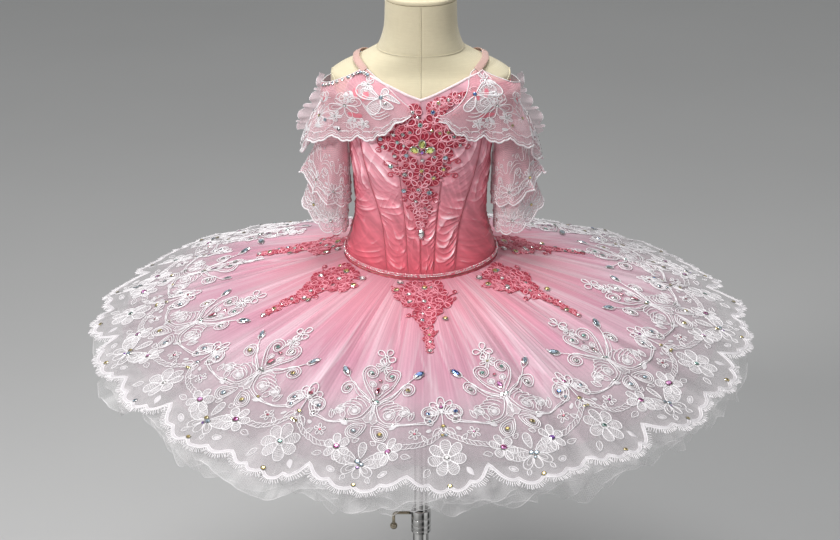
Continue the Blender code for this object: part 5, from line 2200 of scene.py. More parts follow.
def coil(x: float, y: float, radius: float, turn: float, spin: int) -> Array:
    """A small spiral."""
    t = np.linspace(0, 1, 15)
    angle = np.radians(turn + spin * 500 * t)
    radii = radius * (1 - 0.75 * t)
    return np.stack([x + radii * np.cos(angle), y + radii * np.sin(angle)], axis=1)


# ---------------------------------------------------------------- needlework laid on cloth
class Ground(Protocol):
    """A cloth surface that takes drawings: millimetres in, points in the frame out."""

    def place(self, flat: Array, lift: Any) -> Array:
        """Points above the places of a drawing."""


@dataclass(frozen=True)
class SkirtGround:
    """The skirt's upper side, round one angle. y is measured inwards from a radius, or outwards."""

    angle: float
    start: float
    inwards: bool = True

    def place(self, flat: Array, lift: Any) -> Array:
        """Points above the places of a drawing."""
        flat = np.asarray(flat, float) / 1000
        radius = self.start - flat[..., 1] if self.inwards else self.start + flat[..., 1]
        sign = 1 if self.inwards else -1
        angle = self.angle + sign * np.degrees(flat[..., 0] / radius)
        return TULLE.point(angle, radius, lift)


@dataclass(frozen=True)
class BodiceGround:
    """The bodice's outer side. x runs round the body and y is the height."""

    gap: float = 0.0009

    def place(self, flat: Array, lift: Any) -> Array:
        """Points above the places of a drawing."""
        flat = np.asarray(flat, float) / 1000
        height = flat[..., 1]
        angle = np.degrees(np.arcsin(np.clip(flat[..., 0] / BODY.radius(0, height), -0.98, 0.98)))
        return SATIN.face(angle, height, self.gap + np.asarray(lift, float))


@dataclass(frozen=True)
class BerthaGround:
    """A bertha's outer side. x runs along its length and y down from its top edge."""

    shape: SleeveShape
    length: float = 215.0
    depth: float = 72.0

    def place(self, flat: Array, lift: Any) -> Array:
        """Points above the places of a drawing."""
        flat = np.asarray(flat, float)
        return self.shape.bertha(flat[..., 0] / self.length, flat[..., 1] / self.depth, lift)


@dataclass(frozen=True)
class TubeGround:
    """A sleeve's outer side. x runs round the arm in millimetres and y down from its top."""

    shape: SleeveShape
    hung: Callable[[Array, Array], tuple[Array, Array, Array]]
    girth: float = 190.0
    depth: float = 150.0

    def place(self, flat: Array, lift: Any) -> Array:
        """Points above the places of a drawing."""
        flat = np.asarray(flat, float)
        down = flat[..., 1] / self.depth
        turn, stand, flare = self.hung(flat[..., 0] / self.girth * 360, down)
        return self.shape.tube(turn, down, stand + np.asarray(lift, float), flare)


def ground_normal(ground: Ground, flat: Array) -> tuple[Array, Array]:
    """The ground's outward normals, and its own x direction, at places of a drawing."""
    flat = np.asarray(flat, float)
    here = ground.place(flat, 0.0)
    across = ground.place(flat + (0.4, 0.0), 0.0) - here
    normal = unit(ground.place(flat, 0.001) - here)
    tilt = ground.place(flat + (0.0, 0.4), 0.0) - here
    true = unit(np.cross(across, tilt))
    sign = np.sign((true * normal).sum(axis=-1, keepdims=True))
    return true * np.where(sign == 0, 1.0, sign), across


@dataclass
class Sewn:
    """Needlework collected over one or more grounds, ready to be made into a few objects."""

    cords: list[Array] = field(default_factory=list)
    radii: list[float] = field(default_factory=list)
    dyes: list[float] = field(default_factory=list)
    fills: list[tuple[Array, Array]] = field(default_factory=list)
    nets: list[tuple[Array, Array]] = field(default_factory=list)
    gems: list[tuple[Array, Array, Array, Array, Stone]] = field(default_factory=list)

    def lay(
        self, drawing: Drawing, ground: Ground, cord_lift: float = 0.0, dome: float = 0.0005
    ) -> Sewn:
        """Lay a drawing on a ground.

        Args:
            drawing: the needlework, in millimetres.
            ground: what it is sewn on.
            cord_lift: extra height of the cords' middles, in metres.
            dome: how far a filled shape's middle stands up, in metres.

        Returns:
            This collection.
        """
        for stroke in drawing.cords:
            radius = stroke.radius / 1000
            self.line(ground.place(stroke.points, cord_lift + radius * 0.45), radius, stroke.dye)
        for outline in drawing.fills:
            self.fills.append(self.patch(outline, ground, cord_lift, dome))
        for outline in drawing.nets:
            self.nets.append(self.patch(outline, ground, cord_lift, 0.0002))
        if drawing.gems:
            flat = np.array([(g.x, g.y) for g in drawing.gems])
            places = ground.place(flat, cord_lift + 0.0003)
            aims, across = ground_normal(ground, flat)
            ups = np.cross(aims, unit(across))
            turn = np.radians([g.heading for g in drawing.gems])[:, None]
            headings = unit(across) * np.cos(turn) + ups * np.sin(turn)
            for gem, place, aim, heading in zip(drawing.gems, places, aims, headings):
                length, height = gem.cut.value
                size = np.array([length, 1.0, height]) * gem.size / 1000
                self.gems.append((place, size, aim, heading, gem.stone))
        return self

    def line(self, points: Array, radius: float, dye: float = 0.0) -> None:
        """Add a cord along points in the scene, with its radius in metres."""
        self.cords.append(points)
        self.radii.append(radius)
        self.dyes.append(dye)

    def make_cords(self, name: str, finish: Finish, sides: int = 5) -> bpy.types.Object:
        """The collected cords as one object."""
        return cord_object(name, self.cords, self.radii, finish, sides, self.dyes)

    def patch(
        self, outline: Array, ground: Ground, lift: float, dome: float
    ) -> tuple[Array, Array]:
        """A domed patch over an outline: its points (outline, inner ring, middle) and their flat
        places."""
        middle = outline.mean(axis=0)
        flat = np.vstack([outline, middle + (outline - middle) * 0.62, middle[None]])
        count = len(outline)
        lifts = np.concatenate(
            [np.full(count, 0.00008), np.full(count, dome), [dome * 1.15]]
        ) + lift
        return ground.place(flat, lifts), flat / 1000

    def make_patches(
        self, name: str, finish: Finish, patches: list[tuple[Array, Array]]
    ) -> bpy.types.Object:
        """Some of the collected patches as one object."""
        faces, start = [], 0
        for shape, _ in patches:
            count = len(shape) // 2
            for i in range(count):
                j = (i + 1) % count
                faces.append((start + i, start + j, start + count + j, start + count + i))
                faces.append((start + count + i, start + count + j, start + 2 * count))
            start += len(shape)
        made = mesh_object(name, np.concatenate([shape for shape, _ in patches]), faces, [finish])
        flat = np.concatenate([places for _, places in patches])
        layer = made.data.uv_layers.new(name="UVMap")
        index = corner_vertices(made)
        layer.data.foreach_set("uv", np.ascontiguousarray(flat[index], np.float32).ravel())
        return made

    def make_fills(self, name: str, finish: Finish) -> bpy.types.Object:
        """The collected filled shapes as one object."""
        return self.make_patches(name, finish, self.fills)

    def make_nets(self, name: str, finish: Finish) -> bpy.types.Object:
        """The collected patches of net as one object."""
        return self.make_patches(name, finish, self.nets)

    def make_stones(self, name: str) -> bpy.types.Object:
        """The collected stones as one object."""
        places, sizes, aims, headings = (np.array(column) for column in list(zip(*self.gems))[:4])
        tints = np.array([(*gem[4].value[0], 1.0) for gem in self.gems])
        glints = np.array([(*gem[4].value[1], 1.0) for gem in self.gems])
        fields = {
            "size": ("FLOAT_VECTOR", sizes),
            "aim": ("FLOAT_VECTOR", aims),
            "heading": ("FLOAT_VECTOR", headings),
            "tint": ("FLOAT_COLOR", tints),
            "glint": ("FLOAT_COLOR", glints),
        }
        made = point_object(name, places, fields)
        return grow(made, growing_tree("cut_stones", (), build_stones), GLASS)


def bead_row(name: str, places: Array, sizes: Array, stones: Sequence[Stone]) -> bpy.types.Object:
    """Round glass beads at places, with a radius and a tint for each."""
    tints = np.array([(*stone.value[0], 1.0) for stone in stones])
    glints = np.array([(*stone.value[1], 1.0) for stone in stones])
    fields = {
        "size": ("FLOAT_VECTOR", np.repeat(np.asarray(sizes)[:, None], 3, axis=1)),
        "tint": ("FLOAT_COLOR", tints),
        "glint": ("FLOAT_COLOR", glints),
    }
    made = grow(
        point_object(name, places, fields), growing_tree("glass_beads", (), build_beads), GLASS
    )
    made.data.shade_smooth()
    return made


# ---------------------------------------------------------------- sub-assemblies
def mount(obj: bpy.types.Object, body: str, slot: str, *nodes: str) -> bpy.types.Object:
    """Let a piece ride on a body and hide the frame nodes it stands for."""
    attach(obj, body)
    if nodes:
        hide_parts(*nodes)
    LOG.info("%s: %d faces, on %s", obj.name, len(obj.data.polygons), body)
    return obj


class Stand:
    """Round base, fixed tube with its clamp, and the sliding mast."""

    def __init__(self, sizes: StandSizes) -> None:
        self.sizes = sizes

    def build(self) -> None:
        """Make every piece of the stand."""
        self.build_base()
        self.build_tube()
        self.build_collar()
        self.build_lever()
        self.build_mast()

    def build_base(self) -> None:
        """The steel disc, its rubber ring and the hub."""
        s = self.sizes
        disc = [
            (0.148, 0.0010), (0.1496, 0.0016), (s.base, 0.0024), (s.base, 0.0036), (0.1488, 0.0050),
            (0.1440, s.base_thickness), (0.0125, s.base_thickness),
        ]
        mount(
            lathe("base_disc", disc, BASE_PAINT, 128, False, 0.0006),
            "stand",
            "base_paint",
            "stand_base"
        )
        rubber = [(0.136, 0.0), (0.1462, 0.0), (0.1470, 0.0009), (0.136, 0.0009)]
        mount(lathe("base_rubber", rubber, RUBBER, 128, True, 0.0003), "stand", "base_paint")
        low = s.base_thickness + CLOTH.seam_gap
        hub = [
            (s.tube + CLOTH.seam_gap, low), (s.hub, low), (s.hub, s.hub_top - 0.0085),
            (s.hub - 0.0008, s.hub_top - 0.0080), (s.hub - 0.0008, s.hub_top - 0.0070),
            (s.hub, s.hub_top - 0.0065),
            (s.hub, s.hub_top - 0.002), (s.hub - 0.002, s.hub_top),
            (s.tube + CLOTH.seam_gap, s.hub_top),
        ]
        mount(lathe("hub", hub, STEEL, 96, True, 0.0006), "stand", "polished_steel", "stand_hub")

    def build_tube(self) -> None:
        """The fixed tube."""
        s = self.sizes
        low, top = s.base_thickness + CLOTH.seam_gap, s.collar_top - 0.0063
        outline = [(s.bore, low), (s.tube, low), (s.tube, top), (s.bore, top)]
        mount(
            lathe("lower_tube", outline, STEEL, 72, True, 0.0005),
            "stand",
            "polished_steel",
            "stand_tube"
        )

    def build_collar(self) -> None:
        """The clamp collar, with three turned grooves."""
        s = self.sizes
        low, top = s.collar_top - s.collar_height, s.collar_top
        over, lip = s.tube + CLOTH.seam_gap, 0.006
        outline = [(over, low), (s.collar - 0.0008, low), (s.collar, low + 0.0008)]
        for groove in (low + 0.0045, low + 0.0120, top - 0.0135):
            outline += [(s.collar, groove), (s.collar - 0.0007, groove + 0.0005)]
            outline += [(s.collar - 0.0007, groove + 0.0011), (s.collar, groove + 0.0016)]
        outline += [
            (s.collar, top - 0.0012), (s.collar - 0.0012, top), (s.bore, top), (s.bore, top - lip),
            (over, top - lip),
        ]
        mount(
            lathe("collar", outline, STEEL, 96, True, 0.0003),
            "stand",
            "polished_steel",
            "clamp_collar"
        )

    def build_lever(self) -> None:
        """The bent rod and its ball."""
        rod, ball = 0.0021, 0.0052
        height = self.sizes.collar_top - 0.0075
        start = -(self.sizes.collar + CLOTH.seam_gap)
        bend, reach, drop = 0.005, 0.0375, 0.0205
        path = [(start, height), (start - 0.004, height), (-reach + bend, height)]
        for a in np.linspace(0.15, math.pi / 2, 9):
            path.append((-reach + bend - bend * math.sin(a), height - bend + bend * math.cos(a)))
        centre = height - drop
        path.append((-reach, centre + ball * 0.93))
        radii = [rod] * len(path)
        for lift in np.linspace(0.90, -0.985, 19):
            path.append((-reach, centre + ball * lift))
            radii.append(ball * math.sqrt(1 - lift**2))
        line = np.array([(x, 0.0, z) for x, z in path])
        mount(
            swept("lever_rod", line, np.array(radii), BRASS, 28),
            "lever",
            "lever_brass",
            "clamp_lever"
        )

    def build_mast(self) -> None:
        """The sliding mast, with a plug at its lower end."""
        s = self.sizes
        top = BODY.SECTIONS[0][0] - CLOTH.seam_gap
        outline = [(s.mast - 0.0012, s.mast_low), (s.mast, s.mast_low + 0.0012), (s.mast, top)]
        mount(
            lathe("mast_tube", outline, STEEL, 72, False, 0.0004), "mast", "polished_steel", "mast"
        )


class DressForm:
    """The padded, jersey-covered torso and the cap on its neck."""

    def build(self) -> None:
        """Make the form and its seams."""
        heights = np.unique(np.concatenate([
            np.linspace(
                0.540, 0.900, 46
            ), np.linspace(0.900, 0.990, 46), np.linspace(0.990, 1.045, 14),
        ]))
        columns = 180
        angles = np.arange(columns) * 360 / columns
        grid = BODY.off(
            angles[None, :], heights[:, None], self.hollow(angles[None, :], heights[:, None])
        )
        grid[-1, :, 2], grid[0, :, 2] = 1.045, 0.540
        made = self.closed_stack("form_cover", grid, JERSEY, (0.58, 0.50))
        mount(made, "figure", "form_jersey", "form_torso")
        self.build_cap()
        self.build_seams()

    def hollow(self, angles: Array, heights: Array) -> Array:
        """How far the padding sinks beside its seams."""
        near_front = np.exp(-((wrap(angles) / 1.6) ** 2)) + np.exp(
            -((wrap(angles - 180) / 1.6) ** 2)
        )
        near_neck = np.exp(-(((heights - 0.9835) / 0.0014) ** 2))
        return -0.0004 * np.maximum(near_front, near_neck)

    def closed_stack(
        self, name: str, grid: Array, finish: Finish, flat: tuple[float, float]
    ) -> bpy.types.Object:
        """A closed body through rings of points, with flat ends."""
        rows, columns = grid.shape[:2]
        faces = []
        for row in range(rows - 1):
            for c in range(columns):
                d = (c + 1) % columns
                faces.append((
                    row * columns + c,
                    row * columns + d,
                    (row + 1) * columns + d,
                    (row + 1) * columns + c
                ))
        faces.append(tuple(reversed(range(columns))))
        faces.append(tuple(range((rows - 1) * columns, rows * columns)))
        made = mesh_object(name, grid.reshape(-1, 3), faces, [finish])
        made.data.set_sharp_from_angle(angle=math.radians(50))
        layer = made.data.uv_layers.new(name="UVMap")
        index = corner_vertices(made)
        row, column = index // columns, (index % columns).astype(float)
        quads = (rows - 1) * columns
        face = np.repeat(
            np.arange(len(made.data.polygons)), [len(p.vertices) for p in made.data.polygons]
        )
        last = (face < quads) & (face % columns == columns - 1) & (column == 0)
        column[last] = columns
        height = grid[:, 0, 2][row]
        uv = np.stack([column / columns * flat[0], height], axis=1)
        ends = face >= quads
        flat_points = grid.reshape(-1, 3)[index[ends]]
        uv[ends] = flat_points[:, :2]
        layer.data.foreach_set("uv", np.ascontiguousarray(uv, np.float32).ravel())
        return made

    def build_cap(self) -> None:
        """The cap on the neck, with an eased rim."""
        top = BODY.SECTIONS[-1][0]
        low = top + CLOTH.seam_gap
        angles = np.arange(120) * 3.0
        ring_points = BODY.skin(angles, np.full(120, top))
        rows = []
        for scale, height in ((0.965, low), (0.99, low + 0.0004), (1.0, low + 0.0016),
        (1.0, low + 0.0038),
                              (0.985, low + 0.0052), (0.93, low + 0.006), (0.5, low + 0.006)):
            rows.append(ring_points * (scale, scale, 0) + (0, 0, height))
        made = self.closed_stack("neck_cover", np.array(rows), JERSEY, (0.27, 0.05))
        mount(made, "figure", "form_jersey", "neck_cap")

    def build_seams(self) -> None:
        """Sewn seams: centre front and back, round the neck, and round each arm's plate."""
        lines = []
        for angle in (0.0, 180.0):
            heights = np.linspace(0.60 if angle else 0.925, 1.044, 60)
            lines.append(BODY.off(np.full(60, angle), heights, np.full(60, 0.0001)))
        turn = np.linspace(0, 360, 121)
        lines.append(BODY.off(turn, np.full(121, 0.9835), np.full(121, 0.0001)))
        for side in (-1, 1):
            t = np.linspace(0, 2 * math.pi, 61)
            height = 0.9265 + 0.0265 * np.sin(t)
            angle = side * (90 + 17.0 * np.cos(t))
            lines.append(BODY.off(angle, height, np.full(61, 0.0002)))
        radii = [0.0005, 0.0005, 0.0006, 0.0009, 0.0009]
        mount(cord_object("form_seams", lines, radii, FORM_THREAD), "figure", "form_jersey")


class Bodice:
    """Ten satin panels with their seams, edges, placket, hip band and corded medallion."""

    PANELS = (
        ("front_centre", "centre_front", "inner", True),
        ("front", "inner", "outer", True),
        ("side_front", "outer", "side", False),
        ("side_back", "side", "back", False),
        ("back", "back", "centre_back", False),
    )
    # height and half width of the medallion, in metres, from its tip up
    MEDALLION = (
        (0.7560, 0.004), (0.7820, 0.009), (0.8050, 0.014), (0.8220, 0.019), (0.8380, 0.028),
        (0.8520, 0.030),
        (0.8680, 0.036), (0.8850, 0.044), (0.9000, 0.036), (0.9160, 0.026), (0.9290, 0.012),
    )
    # x, height and reach of the medallion's flowers, in millimetres
    FLOWERS = (
        (0, 884, 15), (-21, 886, 13), (22, 887, 13), (-38, 882, 10), (39, 885, 10), (-17, 905, 12),
        (15, 908, 12),
        (0, 903, 9), (-30, 900, 8), (29, 903, 8), (-8, 922, 9), (20, 923, 9), (-24, 868, 9),
        (27, 868, 10),
        (-13, 858, 9), (15, 857, 10), (1, 848, 9), (-24, 846, 7), (27, 846, 8), (-12, 836, 10),
        (13, 836, 10),
        (0, 825, 9), (-10, 817, 8), (9, 816, 8), (0, 806, 9), (-6, 797, 8), (6, 794, 8),
        (0, 786, 8), (1, 777, 7),
        (0, 769, 6),
    )
    # start x, height, heading, then end x and height of its outer stems, in millimetres
    STEMS = (
        (-36, 886, 160, -50, 888), (-34, 872, 200, -46, 871), (-26, 856, 210, -38, 855),
        (-24, 843, 200, -34, 840),
        (-8, 806, 190, -19, 808), (38, 892, 20, 53, 896), (40, 878, -20, 50, 874),
        (30, 858, -30, 41, 857),
        (28, 842, -20, 38, 838), (8, 806, 0, 17, 806), (-30, 906, 130, -38, 913),
        (30, 908, 50, 38, 914),
    )

    def __init__(self) -> None:
        heights, widths = zip(*self.MEDALLION)
        self.medallion = Curve(heights, widths)
        self.ripples = [Ripple(60 + k, (3, 5, 8, 13), 0.3) for k in range(10)]

    def build(self) -> None:
        """Make every piece of the bodice."""
        for index, side in enumerate((-1, 1)):
            for number, (name, start, end, front) in enumerate(self.PANELS):
                self.build_panel(name, start, end, front, side, self.ripples[index * 5 + number])
        self.build_seams()
        self.build_edges()
        self.build_placket()
        self.build_basque()
        self.build_braid()
        self.build_medallion()
        self.build_neck_strip()

    def wrinkle(self, share: Array, height: Array, ripple: Ripple) -> Array:
        """Drag wrinkles, from 0 to about 1: crescents hung between the seams below, slanting drags
        above."""
        across = 2 * share - 1
        drift = ripple(height * 8, across * 0.8)
        bunched = np.clip(0.55 + 0.95 * ripple(height * 15 + 2, 0.9 * across), 0.15, 1)
        spread = np.clip(0.65 + 0.80 * ripple(height * 11 + 5, -0.7 * across), 0.2, 1)
        hung = pleat((height - 0.010 * across**2) / 0.0074 + 0.45 * drift, 0.2, 1.8)
        deep = pleat(
            (height - 0.009 * across**2 - 0.003 * across) / 0.0190 + 0.35 * drift, 0.12, 2.6
        )
        slanted = pleat(height / 0.0270 - 1.1 * across + 0.50 * drift, 0.12, 2.0)
        fine = pleat(height / 0.0115 - 2.1 * across + 0.70 * drift, 0.18, 2.0)
        crossing = pleat(height / 0.0300 + 1.6 * across + 0.60 * drift, 0.10, 3.0)
        high = smooth_step(height, 0.775, 0.850)
        below = 0.85 * deep * spread + 0.75 * hung * bunched + 0.35 * crossing * (1 - bunched)
        above = 1.05 * slanted * spread + 0.55 * fine * bunched + 0.55 * crossing * (1 - bunched)
        return below + (above - below) * high

    def build_panel(
        self, name: str, start: str, end: str, front: bool, side: int, ripple: Ripple
    ) -> None:
        """One satin panel, its wrinkles and its turned-in seam edges."""
        rows, columns = 210, 48
        half_gap = math.degrees(CLOTH.seam_gap / 2 / BODICE.seam_radius)
        share = np.linspace(0, 1, columns + 1)[None, :]

        def angle_at(height: Array) -> Array:
            low = SATIN.seam(start, height) + half_gap
            return low + (SATIN.seam(end, height) - half_gap - low) * share

        top = np.full((1, columns + 1), BODICE.neck)
        for _ in range(12):
            top = SATIN.top(angle_at(top), front)
        low = SATIN.hem(angle_at(np.full_like(top, BODICE.hem))) + CLOTH.seam_gap
        up = np.linspace(0, 1, rows + 1)[:, None]
        heights = low + (top - low) * up
        angles = angle_at(heights)
        seam_dip = np.exp(-((np.minimum(share, 1 - share) * (columns / 3.2)) ** 2))
        free = (1 - seam_dip) * smooth_step(
            heights, low + 0.006, low + 0.014
        ) * smooth_step(top - heights, 0.004, 0.018)
        fade = 1 - 0.35 * smooth_step(heights, 0.84, 0.92)
        under = np.abs(np.sin(np.radians(angles))) * BODY.radius(angles, heights)
        covered = smooth_step(
            under, self.medallion(heights) - 0.004, self.medallion(heights) + 0.006
        )
        covered = np.where((heights > 0.756) & front, covered, 1.0)
        wrinkle = self.wrinkle(share, heights, ripple) * free * fade * covered
        lift = 0.0027 * wrinkle - 0.00035 * seam_dip
        grid = SATIN.face(side * angles, heights, lift)
        if side < 0:
            grid, wrinkle = grid[:, ::-1], wrinkle[:, ::-1]
        hand = "left" if side > 0 else "right"
        made = cloth_surface(f"{name}_panel_{hand}", grid, BODICE_SATIN, fields={"fold": wrinkle})
        mount(made, "figure", "satin", f"bodice_{name}_{hand}")
        area = mesh_area(made)

    def seam_lines(self) -> list[Array]:
        """The lines of the bodice's seams, hem to top."""
        lines = []
        for name in SATIN.SEAMS:
            for side in (-1, 1):
                if name.startswith("centre") and side < 0:
                    continue
                angle = SATIN.seam(name, np.array([0.93]))
                front = bool(angle[0] < 60)
                top = float(SATIN.top(SATIN.seam(name, np.array([0.93])), front)[0])
                low = float(SATIN.hem(SATIN.seam(name, np.array([0.71])))[0])
                heights = np.linspace(low + 0.001, top - 0.001, 80)
                lines.append(SATIN.face(side * SATIN.seam(name, heights), heights, -0.0001))
        return lines

    def build_seams(self) -> None:
        """Thread sunk in each seam."""
        lines = self.seam_lines()
        mount(
            cord_object("bodice_seams", lines, [0.00034] * len(lines), SEAM_THREAD),
            "figure",
            "satin"
        )

    def build_edges(self) -> None:
        """Rolled binding along the neckline, and finer ones round armholes and back."""
        corner = BODICE.corner_angle
        angles = np.linspace(-corner, corner, 161)
        front = SATIN.face(angles, SATIN.neckline(angles) + 0.0002, -0.0003)
        lines, radii = [front], [0.0017]
        for side in (-1, 1):
            angles = np.linspace(corner, 180, 140)
            heights = SATIN.armhole(angles) + 0.0002
            rise = np.linspace(BODICE.corner, float(heights[0]), 12)
            lines.append(SATIN.face(np.full(12, side * corner), rise, -0.0002))
            lines.append(SATIN.face(side * angles, heights, -0.0003))
            radii += [0.0010, 0.0012]
        mount(cord_object("bodice_binding", lines, radii, BINDING, 8), "figure", "satin")

    def build_placket(self) -> None:
        """The strip over the back opening, with its hooks and eyes."""
        low = float(SATIN.hem(180)) + BODICE.braid_lift + BODICE.braid_height + CLOTH.seam_gap
        high = BODICE.back - 0.001
        heights = np.linspace(low, high, 90)[:, None]
        angles = np.linspace(-5, 5, 17)[None, :]
        pucker = 0.00035 * np.sin(2 * math.pi * heights / 0.017) * np.cos(np.radians(angles) * 14)
        edge = -0.0009 * np.exp(-(((5 - np.abs(angles)) / 0.5) ** 2))
        grid = SATIN.face(180 + angles, heights, CLOTH.laid_gap + CLOTH.cloth + pucker + edge)
        made = cloth_surface("placket_strip", grid, BODICE_SATIN, fields={"fold": pucker * 900})
        mount(made, "figure", "satin", "back_placket")
        lines, stitches = [], []
        for height in np.linspace(low + 0.010, high - 0.010, 10):
            t = np.linspace(-2.5, 2.5, 21)
            loop = np.stack([0.0042 + 0.0020 * np.cos(t), 0.0022 * np.sin(t)], axis=1)
            lines.append(self.on_back(loop, height, 0.0024))
            hook = np.array([
                (-0.004, 0.0012),
                (0.001, 0.0012),
                (0.0042, 0.0),
                (0.001, -0.0012),
                (-0.004, -0.0012)
            ])
            lines.append(self.on_back(hook, height, 0.0027))
        for x in (-0.0050, 0.0050):
            steps = np.linspace(low + 0.003, high - 0.003, 60)
            for a, b in zip(steps[:-1:2], steps[1::2]):
                flat = np.stack([np.full(4, x), np.linspace(a, b, 4)], axis=1)
                stitches.append(self.on_back(flat, 0.0, 0.0021))
        mount(
            cord_object("back_hooks", lines, [0.0004] * len(lines), HOOK_STEEL, 6),
            "figure",
            "satin"
        )
        mount(
            cord_object("placket_stitches", stitches, [0.00022] * len(stitches), SEAM_THREAD, 4),
            "figure",
            "satin"
        )

    def on_back(self, flat: Array, height: float, lift: float) -> Array:
        """Points on the placket, from offsets across and up."""
        heights = flat[:, 1] + height
        angles = 180 + np.degrees(flat[:, 0] / BODY.radius(180, heights))
        return SATIN.face(angles, heights, lift)

    def build_basque(self) -> None:
        """The satin hip band, with its gathers."""
        angles = np.arange(240) * 1.5
        share = np.linspace(1, 0, 28)[:, None]
        hem = SATIN.hem(angles)[None, :]
        heights = hem - share * BODICE.basque - CLOTH.seam_gap * (1 - share)
        wave = 0.00022 * np.sin(
            np.radians(angles) * 57 + 2 * np.sin(np.radians(angles) * 5)
        )[None, :]
        out = CLOTH.form_gap + CLOTH.cloth * 0.8 + wave * bump_between(share, 0, 1)
        grid = BODY.off(
            np.broadcast_to(angles, heights.shape), heights, np.broadcast_to(out, heights.shape)
        )
        made = cloth_surface(
            "hip_band",
            grid,
            BODICE_SATIN,
            ring=True,
            fields={"fold": np.broadcast_to(wave * 1500, heights.shape)}
        )
        mount(made, "figure", "satin", "basque")

    def build_braid(self) -> None:
        """The braid over the hem seam: a ribbon and two rows of small beads."""
        angles = np.arange(360) * 1.0
        base = CLOTH.form_gap + CLOTH.cloth + CLOTH.laid_gap
        share = np.linspace(0, 1, 6)[:, None]
        heights = SATIN.hem(angles)[None, :] + BODICE.braid_lift + BODICE.braid_height * share
        out = base + 0.0007 * np.sin(math.pi * share) + 0.00012 * np.sin(
            np.radians(angles) * 170
        )[None, :]
        grid = BODY.off(
            np.broadcast_to(angles, heights.shape), heights, np.broadcast_to(out, heights.shape)
        )
        made = cloth_surface("hem_ribbon", grid, BLUSH_FILL, ring=True)
        mount(made, "figure", "beading", "waist_braid")
        rng = np.random.default_rng(SEED + 5)
        places, sizes, tints = [], [], []
        choice = (Stone.PEARL, Stone.RUBY, Stone.PEARL, Stone.PEARL, Stone.CLEAR, Stone.PEARL)
        for row, lift in enumerate((BODICE.braid_lift + 0.0012, BODICE.braid_lift + 0.0034)):
            turn = (np.arange(250) + 0.5 * row) * 360 / 250 + rng.uniform(-0.2, 0.2, 250)
            height = SATIN.hem(turn) + lift + rng.uniform(-0.0003, 0.0003, 250)
            places.append(BODY.off(turn, height, np.full(250, base + 0.0010)))
            sizes.append(rng.uniform(0.00060, 0.00105, 250))
            tints += [choice[k] for k in rng.integers(0, len(choice), 250)]
        mount(
            bead_row("hem_beads", np.concatenate(places), np.concatenate(sizes), tints),
            "figure",
            "beading"
        )

    def build_medallion(self) -> None:
        """The corded coral medallion and its stones."""
        ground = BodiceGround()
        lace = corded_lace(self.FLOWERS, 1, self.STEMS)
        sewn = Sewn().lay(lace, ground, CLOTH.lace_lift)
        net = sewn.make_nets("medallion_net", CORAL_NET)
        mount(net, "figure", "applique", "bodice_applique")
        laid_sheet(net)
        mount(sewn.make_cords("medallion_cords", CORAL_THREAD), "figure", "applique")
        mount(sewn.make_fills("medallion_petals", CORAL_FILL), "figure", "applique")
        mount(self.medallion_stones(ground), "figure", "beading")

    def medallion_stones(self, ground: Ground) -> bpy.types.Object:
        """Three large drops round a violet centre, and the scattered smaller stones."""
        d = Drawing()
        d.gem(
            Gem(1.5, 882.5, 4.3, Stone.AURORA, Cut.OVAL, 90),
            Gem(-7.6, 875.5, 4.3, Stone.AURORA, Cut.OVAL, 155),
            Gem(10.8, 875.0, 4.3, Stone.AURORA, Cut.OVAL, 25),
            Gem(1.5, 872.4, 2.4, Stone.VIOLET),
            Gem(0.5, 759.5, 2.9, Stone.CLEAR, Cut.MARQUISE, 90),
        )
        spots = (
            (-1, 906, 2.3, Stone.EMERALD), (-10, 921, 1.9, Stone.CLEAR),
            (-4, 915, 1.7, Stone.CLEAR),
            (14, 921, 2.2, Stone.SAPPHIRE), (-13, 897, 1.6, Stone.CLEAR),
            (13, 899, 1.5, Stone.GOLD),
            (-21, 894, 1.8, Stone.CLEAR), (22, 896, 1.7, Stone.GOLD), (-31, 893, 1.8, Stone.CLEAR),
            (31, 896, 2.0, Stone.GOLD), (-40, 897, 1.9, Stone.CLEAR), (37, 890, 1.6, Stone.EMERALD),
            (-44, 886, 2.3, Stone.SKY), (-42, 876, 1.8, Stone.CLEAR), (43, 878, 1.8, Stone.CLEAR),
            (-27, 884, 2.0, Stone.EMERALD), (-20, 880, 1.5, Stone.CLEAR),
            (1.5, 862, 1.8, Stone.CLEAR),
            (-17, 868, 2.3, Stone.SKY), (16, 866, 1.8, Stone.CLEAR), (-30, 866, 2.0, Stone.CLEAR),
            (28, 864, 2.5, Stone.SKY), (1, 848, 2.2, Stone.GOLD), (-34, 852, 2.6, Stone.EMERALD),
            (26, 849, 2.3, Stone.GOLD), (-19, 842, 2.4, Stone.CLEAR), (0, 841, 1.8, Stone.RUBY),
            (15, 838, 2.2, Stone.GOLD), (-3, 822, 2.0, Stone.CLEAR), (-20, 820, 2.5, Stone.SKY),
            (10, 818, 2.7, Stone.SKY), (-6, 806, 1.7, Stone.CLEAR), (5, 796, 1.6, Stone.RUBY),
        )
        d.gem(*(Gem(x, z, 1.12 * size, stone) for x, z, size, stone in spots))
        return Sewn().lay(d, ground, CLOTH.stone_lift).make_stones("medallion_stones")

    def build_neck_strip(self) -> None:
        """The narrow strip of the same lace along the left of the neckline."""
        ground = BodiceGround()

        def under_edge(x: float, below: float) -> float:
            return 1000 * float(SATIN.neckline(np.degrees(np.arcsin(x / 80)))) - below

